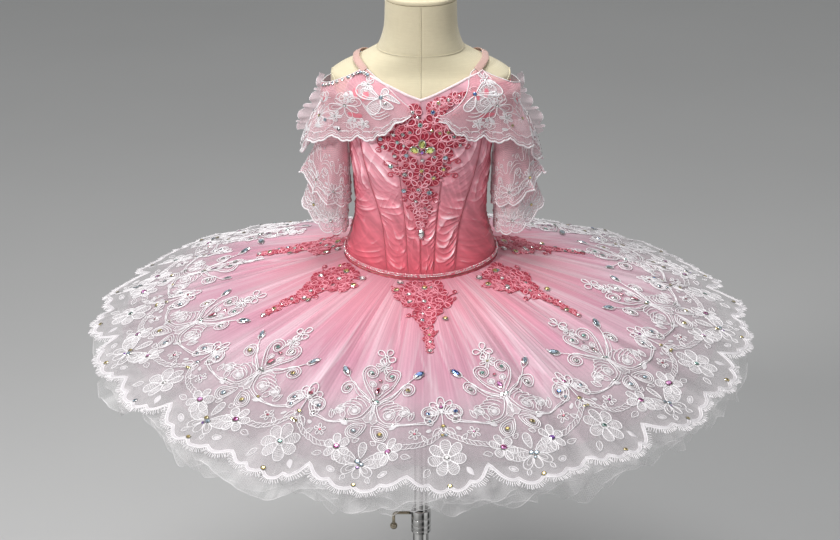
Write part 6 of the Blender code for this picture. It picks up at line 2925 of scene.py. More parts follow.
        spots = [(13 + 7.2 * k, 8.0 if k % 2 else 11.0, 6.2 if k % 2 else 7.0) for k in range(7)]
        lace = corded_lace([(x, under_edge(x, below), reach) for x, below, reach in spots], 2)
        sewn = Sewn().lay(lace, ground, CLOTH.lace_lift)
        mount(sewn.make_nets("neck_strip_net", CORAL_NET), "figure", "applique")
        mount(sewn.make_cords("neck_strip_cords", CORAL_THREAD), "figure", "applique")
        mount(sewn.make_fills("neck_strip_petals", CORAL_FILL), "figure", "applique")
        d = Drawing()
        for x, stone, size in (
            (20, Stone.GOLD, 2.0),
            (30, Stone.CLEAR, 1.8),
            (39, Stone.RUBY, 1.7),
            (50, Stone.CLEAR, 1.6)
        ):
            d.gem(Gem(x, under_edge(x, 8), size, stone))
        mount(
            Sewn().lay(d, ground, CLOTH.stone_lift).make_stones("neck_strip_stones"),
            "figure",
            "beading"
        )


def laid_sheet(
    made: bpy.types.Object
) -> None:
    """Declare a laid piece of open cloth, its flat size eased until it holds the cloth's own
    area."""
    area = mesh_area(made)


def mesh_area(obj: bpy.types.Object) -> float:
    """Area of a piece's faces, in square metres."""
    area = np.empty(len(obj.data.polygons))
    obj.data.polygons.foreach_get("area", area)
    return float(area.sum())


class Skirt:
    """Soft overlay, embroidered lace border, stiff net and the corded motifs at the hem."""

    # number, radius of its cut edge, ruffles, depth of its seam below the hem,
    # and of its rim below the bell
    NET = (
        (1, 0.427, 20, 0.0060, 0.0170),
        (2, 0.412, 16, 0.0160, 0.0320),
        (3, 0.343, 12, 0.0270, 0.0470)
    )
    # name, angle, radius of its tip, half width in degrees
    MOTIFS = (
        ("front", 3, 0.210, 21), ("front_left", 59, 0.232, 15), ("side_left", 107, 0.228, 15),
        ("back_left", 155, 0.226, 15), ("front_right", -59, 0.232, 15),
        ("side_right", -107, 0.228, 15),
        ("back_right", -155, 0.226, 15),
    )

    def build(self) -> None:
        """Make every piece of the skirt."""
        self.build_overlay()
        self.build_lace_ground()
        self.build_lace_edge()
        self.build_embroidery()
        for tier in self.NET:
            self.build_net(*tier)
        for number, motif in enumerate(self.MOTIFS):
            self.build_motif(number, *motif)

    def build_overlay(self) -> None:
        """Gathered tulle from the hem out to the lace."""
        columns, rows = 2700, 36
        angles = np.arange(columns) * 360 / columns
        share = (np.linspace(1, 0, rows) ** 1.25)[:, None]
        root = TULLE.root(angles)[None, :]
        radii = root + (SKIRT.overlay - root) * share
        angle = np.broadcast_to(angles, radii.shape)
        grid = TULLE.point(angle, radii)
        streak = Ripple(8, (307, 353, 401, 467, 523), 0.0)(np.radians(angle), 0.6 * share)
        fields = {
            "share": TULLE.share(angle, radii),
            "fold": TULLE.folds(angle, radii),
            "streak": streak,
            # painted highlight streaks along the pleats, for the tulle's colour
            "pleat_highlight": TULLE.pleat_highlight(angle, radii),
        }
        made = cloth_surface(
            "overlay_tulle", grid, SKIRT_TULLE, ring=True, flat=(2.0, 0.31), fields=fields
        )
        mount(made, "figure", "overlay_tulle", "skirt_overlay")

    def build_lace_ground(self) -> None:
        """The fine net that carries the embroidery, cut along its scallops."""
        columns, rows = 1440, 26
        angles = np.arange(columns) * 360 / columns
        top, edge = TULLE.lace_top(angles), TULLE.scallop(angles)
        share = np.linspace(1, 0, rows)[:, None]
        radii = top + (edge - top) * share
        angle = np.broadcast_to(angles, radii.shape)
        grid = TULLE.point(angle, radii, CLOTH.laid_gap + 0.0006)
        fields = {
            "share": np.broadcast_to(share, radii.shape),
            "fold": 0.6 * TULLE.folds(angle, radii),
            "dense": 0.5 * smooth_step(share, 0.94, 1.0) + np.zeros_like(radii),
        }
        made = cloth_surface(
            "lace_net", grid, LACE_GROUND, ring=True, flat=(2.3, 0.13), fields=fields
        )
        mount(made, "figure", "lace", "lace_border")

    def edge_line(self, inset: float, columns: int = 2880) -> tuple[Array, Array]:
        """Angles and radii along the scalloped edge, moved in from it."""
        angles = np.arange(columns + 1) * 360 / columns
        radii = TULLE.scallop(angles)
        flat = polar(angles, radii, 0.0)[:, :2]
        run = unit(np.gradient(flat, axis=0))
        inward = np.stack([-run[:, 1], run[:, 0]], axis=1)
        moved = flat + inward * inset
        return np.degrees(np.arctan2(moved[:, 0], -moved[:, 1])), np.hypot(moved[:, 0], moved[:, 1])

    def build_lace_edge(self) -> None:
        """Satin-stitched band and cords along the scallops, and the thread fringe."""
        lines, radii = [], []
        for inset, radius in ((0.0002, 0.00075), (0.0036, 0.00050)):
            angle, distance = self.edge_line(inset)
            line = TULLE.point(angle, distance, 0.0016)
            for k in range(12):
                lines.append(line[k * 240: k * 240 + 241])
                radii.append(radius)
        band = []
        for share in np.linspace(0, 1, 5):
            angle, distance = self.edge_line(0.0004 + 0.0030 * share)
            band.append(
                TULLE.point(angle, distance, 0.0014 + 0.0007 * math.sin(math.pi * share))[:-1]
            )
        made = cloth_surface("scallop_band", np.array(band), WHITE_FILL, ring=True)
        mount(made, "figure", "lace")
        min(0.0329, max(0.0100, mesh_area(made)))
        mount(cord_object("scallop_cords", lines, radii, WHITE_THREAD, 5), "figure", "lace")
        angle, distance = self.edge_line(0.0, 1440)
        places = TULLE.point(angle, distance, 0.0012)[:-1]
        flat = polar(angle, distance, 0.0)
        run = unit(np.gradient(flat, axis=0))[:-1]
        outward = np.cross(run, (0.0, 0.0, 1.0))
        rng = np.random.default_rng(SEED + 11)
        count = len(places)
        lean = run * rng.uniform(-0.14, 0.14, (count, 1))
        heading = unit(
            outward
            + lean
            + np.stack([np.zeros(count), np.zeros(count), rng.uniform(-0.4, -0.2, count)], axis=1)
        )
        size = np.repeat(rng.uniform(0.0056, 0.0074, (count, 1)), 3, axis=1)
        fields = {
            "size": ("FLOAT_VECTOR", size),
            "heading": ("FLOAT_VECTOR", heading),
            "aim": ("FLOAT_VECTOR", np.array([0.0, 0.0, 1.0]) * rng.choice((-1, 1), (count, 1))),
        }
        fringe = point_object("lace_fringe", places, fields)
        grow(fringe, growing_tree("thread_fringe", (), build_fringe), WHITE_THREAD)
        fringe.data.shade_smooth()
        mount(fringe, "figure", "lace")

    def build_embroidery(self) -> None:
        """Scrolls, flowers, garlands and stones, in three groups of repeats."""
        scroll, bud = (drawing.worked(1.0, 1.2, 1.12, 1.3) for drawing in (fleur(), between()))
        repeat = 360 / SKIRT.repeats
        for group in range(3):
            sewn = Sewn()
            for k in range(group * 4, group * 4 + 4):
                angle = SKIRT.phase + repeat * k
                lift = CLOTH.laid_gap + 0.0007
                sewn.lay(self.varied(scroll, k), SkirtGround(angle, SKIRT.rim - 0.0015), lift)
                sewn.lay(
                    self.varied(bud, k + 12),
                    SkirtGround(angle + repeat / 2, SKIRT.rim - 0.0015),
                    lift
                )
            mount(
                sewn.make_cords(f"embroidery_cords_{group + 1}", WHITE_THREAD, 4), "figure", "lace"
            )
            mount(sewn.make_fills(f"embroidery_fills_{group + 1}", WHITE_FILL), "figure", "lace")
            mount(sewn.make_nets(f"embroidery_nets_{group + 1}", PETAL_NET), "figure", "lace")
            mount(sewn.make_stones(f"lace_stones_{group + 1}"), "figure", "beading")

    def varied(self, drawing: Drawing, number: int) -> Drawing:
        """The drawing with its stones' tints changed here and there, and their sizes a little uneven."""
        rng = np.random.default_rng(SEED * 7 + number)
        swaps = {Stone.SKY: Stone.SAPPHIRE, Stone.GOLD: Stone.SKY, Stone.EMERALD: Stone.CLEAR,
        Stone.CLEAR: Stone.GOLD,
                 Stone.FUCHSIA: Stone.VIOLET, Stone.RUBY: Stone.FUCHSIA, Stone.VIOLET: Stone.SKY}
        gems = []
        for gem in drawing.gems:
            stone = swaps[gem.stone] if rng.uniform() < 0.22 else gem.stone
            gems.append(replace(gem, stone=stone, size=gem.size * rng.uniform(0.92, 1.12)))
        return replace(drawing, gems=gems)

    def build_net(
        self, number: int, cut: float, ruffles: int, below_root: float, below_rim: float
    ) -> None:
        """One tier of stiff net: two ragged layers that share its seam."""
        columns, rows = 900, 16
        angles = np.arange(columns) * 360 / columns
        turn = np.radians(angles)
        share = np.concatenate([[1.0], 0.9955 * np.linspace(1, 0, rows) ** 0.9])[:, None]
        bound = np.where(share > 0.999, 0.9, 0.0)
        for layer, (label, sink, reach) in enumerate(
            (("upper", 0.0, 0.0), ("lower", 0.0065, -0.005))
        ):
            ragged, doubled = self.ragged_edge(angles, number * 10 + layer)
            root = TULLE.root(angles, below_root)[None, :]
            edge = (cut + 0.005 * np.sin(11 * turn + ruffles) + reach + ragged)[None, :]
            radii = root + (edge - root) * share
            below = below_root + (below_rim - below_root) * share + sink * share
            wave = (0.0004 + 0.0040 * share) * np.cos(ruffles * turn + 1.3 * layer)[None, :]
            fine = 0.0016 * share * crease(
                np.sin(1.2 * Ripple(80 + number * 2 + layer, (37, 53, 71, 89), 0.2)(turn))
            )
            flutes = 0.0085 * share**2 * np.minimum(
                0.3, Ripple(90 + number * 2 + layer, (13, 19, 29, 41), 0.2)(turn)
            )[None, :]
            angle = np.broadcast_to(angles, radii.shape)
            height = TULLE.bell(angle, radii, below) + wave + fine + flutes
            grid = polar(angle, radii, height)
            fields = {
                "share": np.broadcast_to(share**0.8, radii.shape),
                "fold": np.broadcast_to(fine * 600, radii.shape),
                "dense": 0.6 * smooth_step(
                    1 - share, 0.45, 0.9
                ) + doubled * smooth_step(share, 0.4, 0.8) + bound,
            }
            name = f"net_{number}_{label}"
            made = cloth_surface(name, grid, STIFF_NET, ring=True, flat=(2.2, 0.33), fields=fields)
            mount(made, "figure", "stiff_net", *([f"net_tier_{number}"] if layer == 0 else []))
            area = mesh_area(made)

    def ragged_edge(self, angles: Array, seed: int) -> tuple[Array, Array]:
        """How far a net's straight cuts step in or out, and how densely it lies doubled, at each
        angle."""
        rng = np.random.default_rng(SEED * 31 + seed)
        count = 72
        stops = np.sort(rng.uniform(0, 360, count))
        steps = rng.uniform(-0.016, 0.0055, count)
        edge = np.interp(angles, stops, steps, period=360)
        index = np.searchsorted(np.sort(rng.uniform(0, 360, 2 * count)), angles)
        return edge, rng.choice((0.0, 0.05, 0.20, 0.38), 2 * count + 1)[index]

    def build_motif(self, number: int, name: str, angle: float, tip: float, reach: float) -> None:
        """One pointed motif of corded coral lace."""
        start = float(TULLE.root(angle)) + 0.004
        length = (tip - start) * 1000
        half = math.radians(reach) * (start + 0.018) * 1000
        away = -1 if angle < 0 else 1
        lace = corded_lace(self.motif_flowers(length, half, away), 20 + number, (
            (away * half * 0.5, 14, 90 - away * 60, away * half * 0.84, 5),
            (-away * half * 0.4, length * 0.26, 90 + away * 70, -away * half * 1.0, length * 0.22),
            (away * half * 0.2, length * 0.52, 90 - away * 70, away * half * 0.6, length * 0.50),
        ))
        rng = np.random.default_rng(SEED * 3 + number)
        stones = (
            Stone.CLEAR, Stone.GOLD, Stone.CLEAR, Stone.SKY, Stone.PEARL, Stone.RUBY, Stone.CLEAR
        )
        lace.gem(
            Gem(0, 11, 3.6, Stone.GOLD),
            Gem(0, length - 3, 2.9, Stone.PEARL),
            Gem(away * half * 0.84, 5, 3.6, Stone.PEARL)
        )
        lace.gem(
            Gem(-half * 0.60, length * 0.58, 3.2, Stone.GOLD),
            Gem(half * 0.55, length * 0.30, 3.2, Stone.PEARL)
        )
        lace.gem(Gem(away * half * 0.98, length * 0.16, 3.4, Stone.GOLD))
        for k in range(9):
            y = 6 + (length - 18) * (k + 0.5) / 9
            x = rng.uniform(-0.7, 0.7) * half * (1 - y / length)
            lace.gem(Gem(x, y, rng.uniform(1.7, 2.9), stones[int(rng.integers(0, 7))]))
        sewn = Sewn().lay(lace, SkirtGround(angle, start, False), CLOTH.laid_gap + 0.0003)
        net = sewn.make_nets(f"motif_net_{name}", CORAL_NET)
        mount(net, "figure", "applique", f"applique_{name}")
        laid_sheet(net)
        mount(sewn.make_cords(f"motif_cords_{name}", MOTIF_THREAD), "figure", "applique")
        mount(sewn.make_fills(f"motif_petals_{name}", CORAL_FILL), "figure", "applique")
        mount(sewn.make_stones(f"motif_stones_{name}"), "figure", "beading")

    def motif_flowers(
        self, length: float, half: float, away: int
    ) -> list[tuple[float, float, float]]:
        """Flowers of a motif: a broad body at the hem, a hooked arm on the side away from the
        front, a slim tip."""
        rows = ((0.06, (-0.34, 0.0, 0.36), 0.21), (0.18, (-0.46, -0.05, 0.42, 0.72), 0.21),
        (0.31, (-0.62, -0.14, 0.30), 0.22),
                (0.43, (-0.26, 0.12), 0.21), (0.54, (-0.06, 0.20), 0.17), (0.64, (0.05,), 0.17),
                (0.73, (-0.04,), 0.15),
                (0.82, (0.03,), 0.13), (0.90, (-0.02,), 0.11), (0.96, (0.0,), 0.08),
                (0.30, (0.62,), 0.16), (0.24, (0.90,), 0.14), (0.15, (1.02,), 0.11))
        return [
            (away * share * half, y * length + 2.0, size * (half + 16)) for y,
            shares,
            size in rows for share in shares
        ]


class Sleeve:
    """One arm's lace bertha, tiered sleeve and pleated frill."""

    def __init__(self, side: int) -> None:
        self.shape = SleeveShape(side)
        self.side = side
        self.hand = self.shape.hand
        self.ground = BerthaGround(self.shape)
        self.sewn = Sewn()

    def build(self) -> None:
        """Make every piece of the sleeve."""
        self.build_bertha()
        self.build_tiers()
        self.build_frill()
        self.build_stones()
        mount(
            self.sewn.make_cords(f"sleeve_cords_{self.hand}", WHITE_THREAD), "figure", "sleeve_lace"
        )
        mount(
            self.sewn.make_fills(f"sleeve_fills_{self.hand}", WHITE_FILL), "figure", "sleeve_lace"
        )
        mount(self.sewn.make_nets(f"sleeve_nets_{self.hand}", PETAL_NET), "figure", "sleeve_lace")
        mount(self.sewn.make_stones(f"sleeve_stones_{self.hand}"), "figure", "beading")

    def oriented(self, grid: Array) -> Array:
        """The grid with its outer side outwards for this arm."""
        return grid if self.side > 0 else grid[:, ::-1]

    def bertha_edge(self, u: Array) -> Array:
        """How far down the scalloped edge lies, as a share of the depth."""
        lobes = np.abs(np.sin(math.pi * 10 * u + 0.4))
        small = np.abs(np.sin(math.pi * 30 * u))
        return 0.90 + 0.11 * lobes**0.7 + 0.025 * small

    def bertha_top(self, u: Array) -> Array:
        """How far down the upper edge lies: the left one starts on a slant."""
        up_to_neckline = -0.13 * (1 - smooth_step(u, 0.30, 0.46))
        if self.side < 0:
            return up_to_neckline
        return up_to_neckline + 0.95 * smooth_step(0.26 - u, 0.0, 0.26)

    def build_bertha(self) -> None:
        """The draped lace from the centre front round the arm to the back."""
        columns, rows = 260, 44
        u = np.linspace(0.0 if self.side < 0 else 0.05, 1, columns)
        top, edge = self.bertha_top(u), self.bertha_edge(u)
        share = np.linspace(1, 0, rows)[:, None]
        down = top + (edge - top) * share
        fold = self.drape(np.broadcast_to(u, down.shape), down)
        grid = self.shape.bertha(
            np.broadcast_to(u, down.shape),
            down,
            self.off_neck(down) + 0.0022 * fold * np.clip(down, 0, 1)
        )
        fields = {
            "share": np.clip(down, 0, 1),
            "fold": fold,
            "dense": 0.12 * (1 - share) + np.zeros_like(down)
        }
        made = cloth_surface(f"bertha_lace_{self.hand}", self.oriented(grid), SLEEVE_GROUND,
        fields={
            key: self.oriented(value) for key, value in fields.items()})
        mount(made, "figure", "sleeve_lace", f"bertha_{self.hand}")
        area = mesh_area(made)
        for inset, radius in ((0.0, 1.20), (-0.050, 0.46), (-0.16, 0.38)):
            self.sewn.line(
                self.shape.bertha(u, edge + inset, 0.0022 * self.drape(u, edge) + 0.0004),
                radius / 1000
            )
        self.sewn.line(self.shape.bertha(u, top, self.off_neck(top) + 0.0004), 0.0006)
        self.embroider_bertha()

    def off_neck(self, down: Array) -> Array:
        """How the bertha's top settles on to the bodice where it reaches above its own seam."""
        return -0.0030 * smooth_step(-down, 0.0, 0.2)

    def drape(self, u: Array, down: Array) -> Array:
        """Soft folds of the bertha that fan out from the shoulder."""
        turn = 2 * math.pi * u
        return 0.8 * self.shape.wobble(turn, 1.2 * down) * bump_between(u, 0.12, 1.05)

    def embroider_bertha(self) -> None:
        """Bow flower, petals, sprays and dots on the bertha."""
        d = Drawing()
        length, depth = self.ground.length, self.ground.depth
        stone = Stone.SAPPHIRE if self.side > 0 else Stone.SKY
        centre = (0.14 if self.side < 0 else 0.22) * length
        d.add(self.big_flower(stone).moved(centre, 0.16 * depth, 180))
        d.add(blossom(centre + 20, 0.02 * depth, 8, 5, 20, Stone.CLEAR, 1.3))
        for k, u in enumerate((0.33, 0.46, 0.60, 0.75, 0.90)):
            flower = bow_flower(0.95, (Stone.CLEAR, Stone.GOLD, Stone.SKY)[k % 3])
            d.add(flower.moved(
                u * length, (0.56 if k % 2 else 0.42) * depth, 180 + 14 * (-1) ** k
            ).worked(heavier=0.85))
            d.add(spray(17, 1 if k % 2 else -1).moved(
                u * length - 14, 0.26 * depth, 15 - 30 * (k % 2)
            ).worked(heavier=0.8))
            d.add(spray(15, -1 if k % 2 else 1).moved(
                u * length + 4, 0.72 * depth, 170 + 30 * (k % 2)
            ).worked(heavier=0.8))
            d.add(blossom(
                u * length - 17, (0.60 if k % 2 else 0.72) * depth, 6.5, 5, 30 * k, Stone.CLEAR, 1.2
            ))
            d.add(dot(u * length + 9, 0.80 * depth, 2.8, 1.9, 20 * k))
        for k in range(19):
            x = (0.045 + 0.05 * k) * length
            d.cord(bow((x - 4.6, 0.90 * depth), -70, (x + 4.6, 0.90 * depth), 70, 0.5), 0.42)
        keep = self.bertha_top(np.array([0.0]))[0] > 0
        self.sewn.lay(self.trimmed(d) if keep else d, self.ground, CLOTH.lace_lift)
        petals = Drawing()
        for x, y, turn, size in ((0.24, 0.30, 250, 15), (0.27, 0.30, 290, 13),
        (0.30, 0.62, 200, 11), (0.33, 0.55, 160, 12),
                                 (0.13, 0.25, 230, 10), (0.44, 0.35, 270, 11)):
            petals.fill(petal_outline(x * length, y * depth, turn, size, size * 0.62))
        red = Sewn().lay(self.trimmed(petals) if keep else petals, self.ground, 0.0001)
        mount(red.make_fills(f"sleeve_petals_{self.hand}", BLUSH_FILL), "figure", "sleeve_lace")

    def big_flower(self, stone: Stone) -> Drawing:
        """The large flower near the neckline: two wide netted petals, a leaf, and arches below."""
        d = Drawing()
        d.add(
            netted_petal(-2, 0, 176, 29, 19, 5),
            netted_petal(2, 1, 22, 20, 14, 4),
            netted_petal(0, 3, 62, 17, 9, 3)
        )
        d.add(netted_petal(0, -2, -62, 22, 15, 4), netted_petal(-1, -2, -118, 27, 18, 5))
        d.cord(closed(petal_outline(-5, 0, 176, 20, 11)), 0.5)
        for k in range(3):
            d.cord(bow((-24 + 3 * k, -10 - 2 * k), -60, (8 - 2 * k, -34 + 5 * k), 20, 0.5), 0.5)
        return d.gem(Gem(0, 0, 2.5, stone)).worked(1.0, 1.0, 1.15, 1.0)

    def trimmed(self, drawing: Drawing) -> Drawing:
        """The drawing without what lies beyond the slanting front edge."""

        def inside(points: Array) -> bool:
            u = points[:, 0] / self.ground.length
            return bool((points[:, 1] / self.ground.depth > self.bertha_top(u) + 0.03).all())

        out = Drawing()
        out.cords = [stroke for stroke in drawing.cords if inside(stroke.points)]
        out.fills = [shape for shape in drawing.fills if inside(shape)]
        out.nets = [shape for shape in drawing.nets if inside(shape)]
        out.gems = [gem for gem in drawing.gems if inside(np.array([(gem.x, gem.y)]))]
        return out

    def flounce_flare(self, down: Array) -> Array:
        """How far the flounce stands out at a share of the way down."""
        return np.interp(down, (0.30, 0.50, 0.72, 0.80), (0.0, 0.0020, 0.0050, 0.0062))

    def hung_tier(self, turn: Array, down: Array) -> tuple[Array, Array, Array]:
        """Where the sleeve's cloth goes: its turn, its stand-off and its flare, with soft folds
        low on the outer side."""
        soft = np.radians(turn)
        loose = (0.5 + 0.5 * np.cos(soft - math.pi / 2)) * down
        fold = 0.7 * np.sin(9 * soft + 2 * down) * np.sin(4 * soft + 1) + 0.5 * np.sin(
            14 * soft + 4 * down
        )
        return turn, 0.0016 * fold * loose, np.zeros_like(loose)

    def hung_flounce(self, turn: Array, down: Array) -> tuple[Array, Array, Array]:
        """The same for the flounce, whose deeper folds lean over sideways."""
        soft = np.radians(turn)
        fallen = np.clip((down - 0.28) / 0.46, 0, 1) ** 1.4
        loose = (0.35 + 0.65 * np.clip(np.cos(soft - math.pi / 2), 0, 1)) * fallen
        wave = 9 * soft + 0.8 * np.sin(3 * soft + self.side)
        stand = CLOTH.cloth + CLOTH.laid_gap + 0.0036 * loose * (1 + np.sin(wave))
        return turn + 9.0 * loose * np.cos(wave), stand, self.flounce_flare(down)

    def build_tiers(self) -> None:
        """The sleeve itself and the flounce sewn round it, each with a scalloped corded edge."""
        tiers = (
            ("sleeve_tier", "sleeve_tube", 0.0, 1.0, self.hung_tier, 11),
            ("flounce_tier", "sleeve_flounce", 0.28, 0.74, self.hung_flounce, 9),
        )
        for name, node, top, bottom, hung, lobes in tiers:
            columns, rows = 260, 40
            turn = np.arange(columns) * 360 / columns
            edge = bottom - 0.022 + 0.032 * np.abs(
                np.sin(np.radians(turn) * lobes / 2 + 0.5)
            ) ** 0.7
            share = np.linspace(1, 0, rows)[:, None]
            down = top + (edge - top) * share
            turns, stand, flare = hung(np.broadcast_to(turn, down.shape), down)
            grid = self.shape.tube(turns, down, stand, flare)
            fields = {"share": 0.25 + 0.75 * down, "fold": (stand - stand.mean()) * 450,
                      "dense": 0.10 * (1 - share) + np.zeros_like(down)}
            made = cloth_surface(f"{name}_{self.hand}", self.oriented(grid), SLEEVE_GROUND,
            ring=True,
                                 fields={key: self.oriented(value) for key,
                                 value in fields.items()})
            mount(made, "figure", "sleeve_lace", f"{node}_{self.hand}")
            area = mesh_area(made)
            rim = np.append(turn, 360.0)
            rim_edge = np.append(edge, edge[0])
            for inset, radius in ((0.0, 0.00120), (-0.026, 0.00042), (-0.080, 0.00036)):
                spot = rim_edge + inset
                turns, stand, flare = hung(rim, spot)
                self.sewn.line(self.shape.tube(turns, spot, stand + 0.0003, flare), radius)
            self.embroider_tier(bottom, hung)

    def embroider_tier(
        self, bottom: float, hung: Callable[[Array, Array], tuple[Array, Array, Array]]
    ) -> None:
        """Flowers and sprays round a tier, above its edge."""
        ground = TubeGround(self.shape, hung)
        d = Drawing()
        stones = (Stone.CLEAR, Stone.GOLD, Stone.CLEAR, Stone.SKY)
        for k in range(7):
            x, y = k * ground.girth / 7, (bottom - 0.105) * ground.depth
            d.add(bow_flower(0.74, stones[k % 4]).moved(
                x, y, 180 + 20 * (-1) ** k
            ).worked(heavier=0.8))
            d.add(dot(x + 12, y - 6, 2.0, 1.4, 30 * k), dot(x - 11, y - 10, 1.6, 1.2, -30 * k))
            x, y = x + 0.5 * ground.girth / 7, y - 0.085 * ground.depth
            d.cord(volute((x - 7, y + 4), 70, (x + 2, y - 3), 4.5, 180, 1.4, 1), 0.42)
            d.cord(volute((x + 9, y + 5), 110, (x + 1, y - 6), 3.5, 0, 1.2, -1), 0.38)
            d.cord(bow((x - 9, y - 8), -50, (x + 8, y - 9), 60, 0.6), 0.36)
            d.cord(bow((x - 6, y - 14), -60, (x + 6, y - 15), 60, 0.6), 0.34)
            d.cord(volute((x - 15, y - 12), 60, (x - 6, y - 20), 4.0, 170, 1.3, 1), 0.38)
            d.cord(volute((x + 13, y - 12), 120, (x + 5, y - 22), 3.2, 10, 1.2, -1), 0.36)
            d.add(dot(x, y - 27, 1.6, 1.1, 20 * k), dot(x + 11, y - 29, 1.3, 1.0, 50 * k))
        for k in range(18):
            x = (k + 0.5) * ground.girth / 18
            d.cord(
                bow(
                    (x - 4.4, (bottom - 0.05) * ground.depth),
                    -70,
                    (x + 4.4, (bottom - 0.05) * ground.depth),
                    70,
                    0.5
                ),
                0.42
            )
        self.sewn.lay(d, ground, 0.0003)

    def build_frill(self) -> None:
        """Pleated net that stands out along the back of the arm."""
        pleats, per, rows, width = 7, 14, 9, 0.014
        count = pleats * per
        run = np.linspace(0, 1, count + 1)
        place = 0.68 - 0.74 * run
        u = np.full(count + 1, 0.60)
        root = self.shape.bertha(u, place, CLOTH.laid_gap)
        beyond = self.shape.bertha(u, place, CLOTH.laid_gap + width) - root
        wave = 2 * math.pi * pleats * (
            run + 0.020 * np.sin(11 * run + self.side)
        ) + 0.9 * np.sin(5 * run)
        zig = np.sin(wave + 0.6 * np.sin(wave))
        out = np.linspace(1, 0, rows)[:, None, None]
        back = np.array([0.0, 1.0, 0.0])
        puff = 0.52 + 0.50 * np.sin(math.pi * np.clip(run * 1.12, 0, 1)) ** 0.6
        trim = (puff * (1 + 0.24 * np.cos(wave)))[None, :, None]
        slump = np.array([0.0, 0.0, 0.0035]) * np.sin(0.5 * wave)[None, :, None] * out
        grid = root + beyond * out**0.8 * trim + back * (
            0.0040 * zig[None, :, None] + 0.0040
        ) * out + slump
        fields = {"share": np.broadcast_to(out[..., 0], grid.shape[:2]),
        "fold": np.broadcast_to(zig, grid.shape[:2]) * 0.5,
                  "dense": np.zeros(grid.shape[:2])}
        made = cloth_surface(f"pleated_frill_{self.hand}", self.oriented(grid), PUFF_TULLE, fields={
            key: self.oriented(value) for key, value in fields.items()})
        mount(made, "figure", "sleeve_lace", f"frill_{self.hand}")
        area = mesh_area(made)
        self.sewn.line(grid[0], 0.00030)

    def build_stones(self) -> None:
        """The chain of stones on the right bertha's upper edge, or the dark beads on the left
        frill."""
        d = Drawing()
        if self.side < 0:
            for k in range(13):
                stone = Stone.CLEAR if k % 3 else Stone.SKY
                u = 0.262 + 0.0175 * k
                y = float(self.bertha_top(np.array([u]))[0]) + 0.04
                d.gem(Gem(u * self.ground.length, y * self.ground.depth, 2.1, stone))
            d.gem(Gem(0.12 * self.ground.length, 0.30 * self.ground.depth, 1.8, Stone.CLEAR))
            d.gem(Gem(0.36 * self.ground.length, 0.83 * self.ground.depth, 1.9, Stone.BLACK))
            d.gem(Gem(0.42 * self.ground.length, 0.66 * self.ground.depth, 2.1, Stone.SKY))
        else:
            for k in range(9):
                d.gem(Gem(
                    0.585 * self.ground.length,
                    (0.50 + 0.050 * k) * self.ground.depth,
                    1.0,
                    Stone.BLACK
                ))
            d.gem(Gem(0.40 * self.ground.length, 0.72 * self.ground.depth, 1.8, Stone.GOLD))
        self.sewn.lay(d, self.ground, 0.0014)


class Straps:
    """The two shoulder elastics and their stitching."""

    # angle, height and stand-off of the strap's inner side
    PATH = (
        (62, 0.9619, 0.0034), (68, 0.9656, 0.0035), (77, 0.9685, 0.0034), (90, 0.9700, 0.0032),
        (104, 0.9688, 0.0032),
        (118, 0.9640, 0.0030), (130, 0.9520, 0.0028), (139, 0.9350, 0.0026), (146, 0.9151, 0.0026),
    )
    WIDTH = 0.0088
    THICKNESS = 0.0010

    def build(self) -> None:
        """Make both straps."""
        stations = np.linspace(0, 1, len(self.PATH))
        angle, height, out = (Curve(stations, column) for column in zip(*self.PATH))
        t = np.linspace(0, 1, 90)
        path = BODY.off(angle(t), height(t), out(t))
        normal = BODY.normal(angle(t), height(t))
        across = unit(np.cross(normal, unit(np.gradient(path, axis=0))))
        for side, hand in ((-1, "right"), (1, "left")):
            flip = np.array([side, 1.0, 1.0])
            shares = np.linspace(-0.5, 0.5, 7)
            thick = self.THICKNESS * (1 - 0.35 * (2 * np.abs(shares)) ** 4)
            outer = path[None] + across[None] * self.WIDTH * shares[
                :, None, None
            ] + normal[None] * thick[:, None, None]
            inner = path[None] + across[None] * self.WIDTH * shares[:, None, None]
            made = self.webbing(f"strap_elastic_{hand}", outer * flip, inner * flip, side)
            mount(made, "figure", "elastic", f"strap_{hand}")
            lines, radii = [], []
            for share in (-0.36, 0.36):
                for a in range(3, 84, 3):
                    piece = path[a: a + 3] + across[a: a + 3] * self.WIDTH * share + normal[a: a + 3] * (
                        self.THICKNESS + 0.0001
                    )
                    lines.append(piece * flip)
                    radii.append(0.00018)
            mount(
                cord_object(f"strap_stitches_{hand}", lines, radii, FORM_THREAD, 4),
                "figure",
                "elastic"
            )

    def webbing(self, name: str, outer: Array, inner: Array, side: int) -> bpy.types.Object:
        """A closed band between its outer and inner side, both of shape (across, along, 3)."""
        ring_points = np.concatenate([outer, inner[::-1]], axis=0)
        around, along = ring_points.shape[:2]
        faces = []
        for a in range(around):
            b = (a + 1) % around
            for c in range(along - 1):
                faces.append((a * along + c, a * along + c + 1, b * along + c + 1, b * along + c))
        faces.append(tuple(a * along for a in range(around)))
        faces.append(tuple(a * along + along - 1 for a in reversed(range(around))))
        if side < 0:
            faces = [face[::-1] for face in faces]
        made = mesh_object(name, ring_points.reshape(-1, 3), faces, [STRAP_ELASTIC])
        made.data.set_sharp_from_angle(angle=math.radians(60))
        layer = made.data.uv_layers.new(name="UVMap")
        index = corner_vertices(made)
        uv = np.stack([(index // along) * 0.00125, (index % along) * 0.0021], axis=1)
        layer.data.foreach_set("uv", np.ascontiguousarray(uv, np.float32).ravel())
        return made


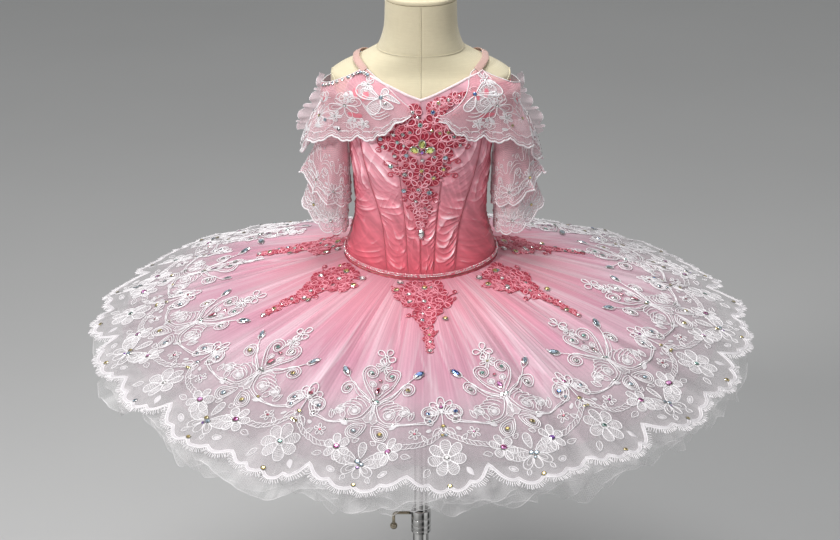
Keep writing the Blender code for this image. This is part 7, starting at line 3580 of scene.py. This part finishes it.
# ---------------------------------------------------------------- stage
class Studio:
    """Pale floor, soft lights and the camera."""

    TARGET = (0.0, 0.0, 0.68)
    DISTANCE = 2.496
    ELEVATION = 24.0
    LENS = 82.29

    def build(self) -> None:
        """Make the stage."""
        self.build_floor()
        self.build_lights()
        self.build_camera()

    def build_floor(self) -> None:
        """A wide level floor."""
        radii = (0.0, 0.5, 1.0, 2.0, 4.0, 8.0, 16.0)
        angles = np.arange(48) * 7.5
        points = [polar(angles, max(radius, 0.001), 0.0) for radius in radii]
        grid = np.array(points)[::-1]
        made = cloth_surface("floor", grid, FLOOR, ring=True)

    def build_lights(self) -> None:
        """A large key from the front left, a fill, a top light and a pale surround."""
        lights = (
            ("key", (-1.6, -1.7, 2.3), 0.55, 46.0, (1.0, 0.985, 0.97)),
            ("fill", (2.0, -1.7, 1.5), 1.6, 4.5, (0.97, 0.985, 1.0)),
            ("top", (-0.1, 0.0, 2.5), 1.0, 22.0, (1.0, 1.0, 1.0)),
        )
        for name, place, size, power, colour in lights:
            light = bpy.data.lights.new(name, "AREA")
            light.shape, light.size, light.energy, light.color = "DISK", size, power, colour
            made = bpy.data.objects.new(name, light)
            bpy.context.scene.collection.objects.link(made)
            made.location = place
            made.rotation_euler = (
                Vector((0, 0, 0.65)) - Vector(place)
            ).to_track_quat("-Z", "Y").to_euler()
        world = bpy.data.worlds.new("studio")
        bpy.context.scene.world = world
        world.use_nodes = True
        world.node_tree.nodes["Background"].inputs["Color"].default_value = (0.62, 0.63, 0.63, 1.0)
        world.node_tree.nodes["Background"].inputs["Strength"].default_value = 0.50

    def build_camera(self) -> None:
        """The camera, looking down on the skirt."""
        tilt = math.radians(self.ELEVATION)
        data = bpy.data.cameras.new("camera")
        data.lens, data.sensor_width = self.LENS, 36.0
        data.shift_x = -0.001
        made = bpy.data.objects.new("camera", data)
        bpy.context.scene.collection.objects.link(made)
        target = Vector(self.TARGET)
        made.location = target + Vector((0.0, -math.cos(tilt), math.sin(tilt))) * self.DISTANCE
        made.rotation_euler = (target - made.location).to_track_quat("-Z", "Y").to_euler()
        bpy.context.scene.camera = made


def corners(box: tuple[Vector, Vector]) -> list[list[float]]:
    """A box as plain lists."""
    return [[float(value) for value in corner] for corner in box]


def main() -> None:
    """Dress the whole frame."""
    logging.basicConfig(level=logging.INFO, format="%(name)s: %(message)s")
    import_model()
    bpy.context.scene.view_settings.view_transform = "Standard"
    Stand(STAND).build()
    DressForm().build()
    Bodice().build()
    Skirt().build()
    for side in (-1, 1):
        Sleeve(side).build()
    Straps().build()
    Studio().build()


if __name__ == "__main__":
    main()
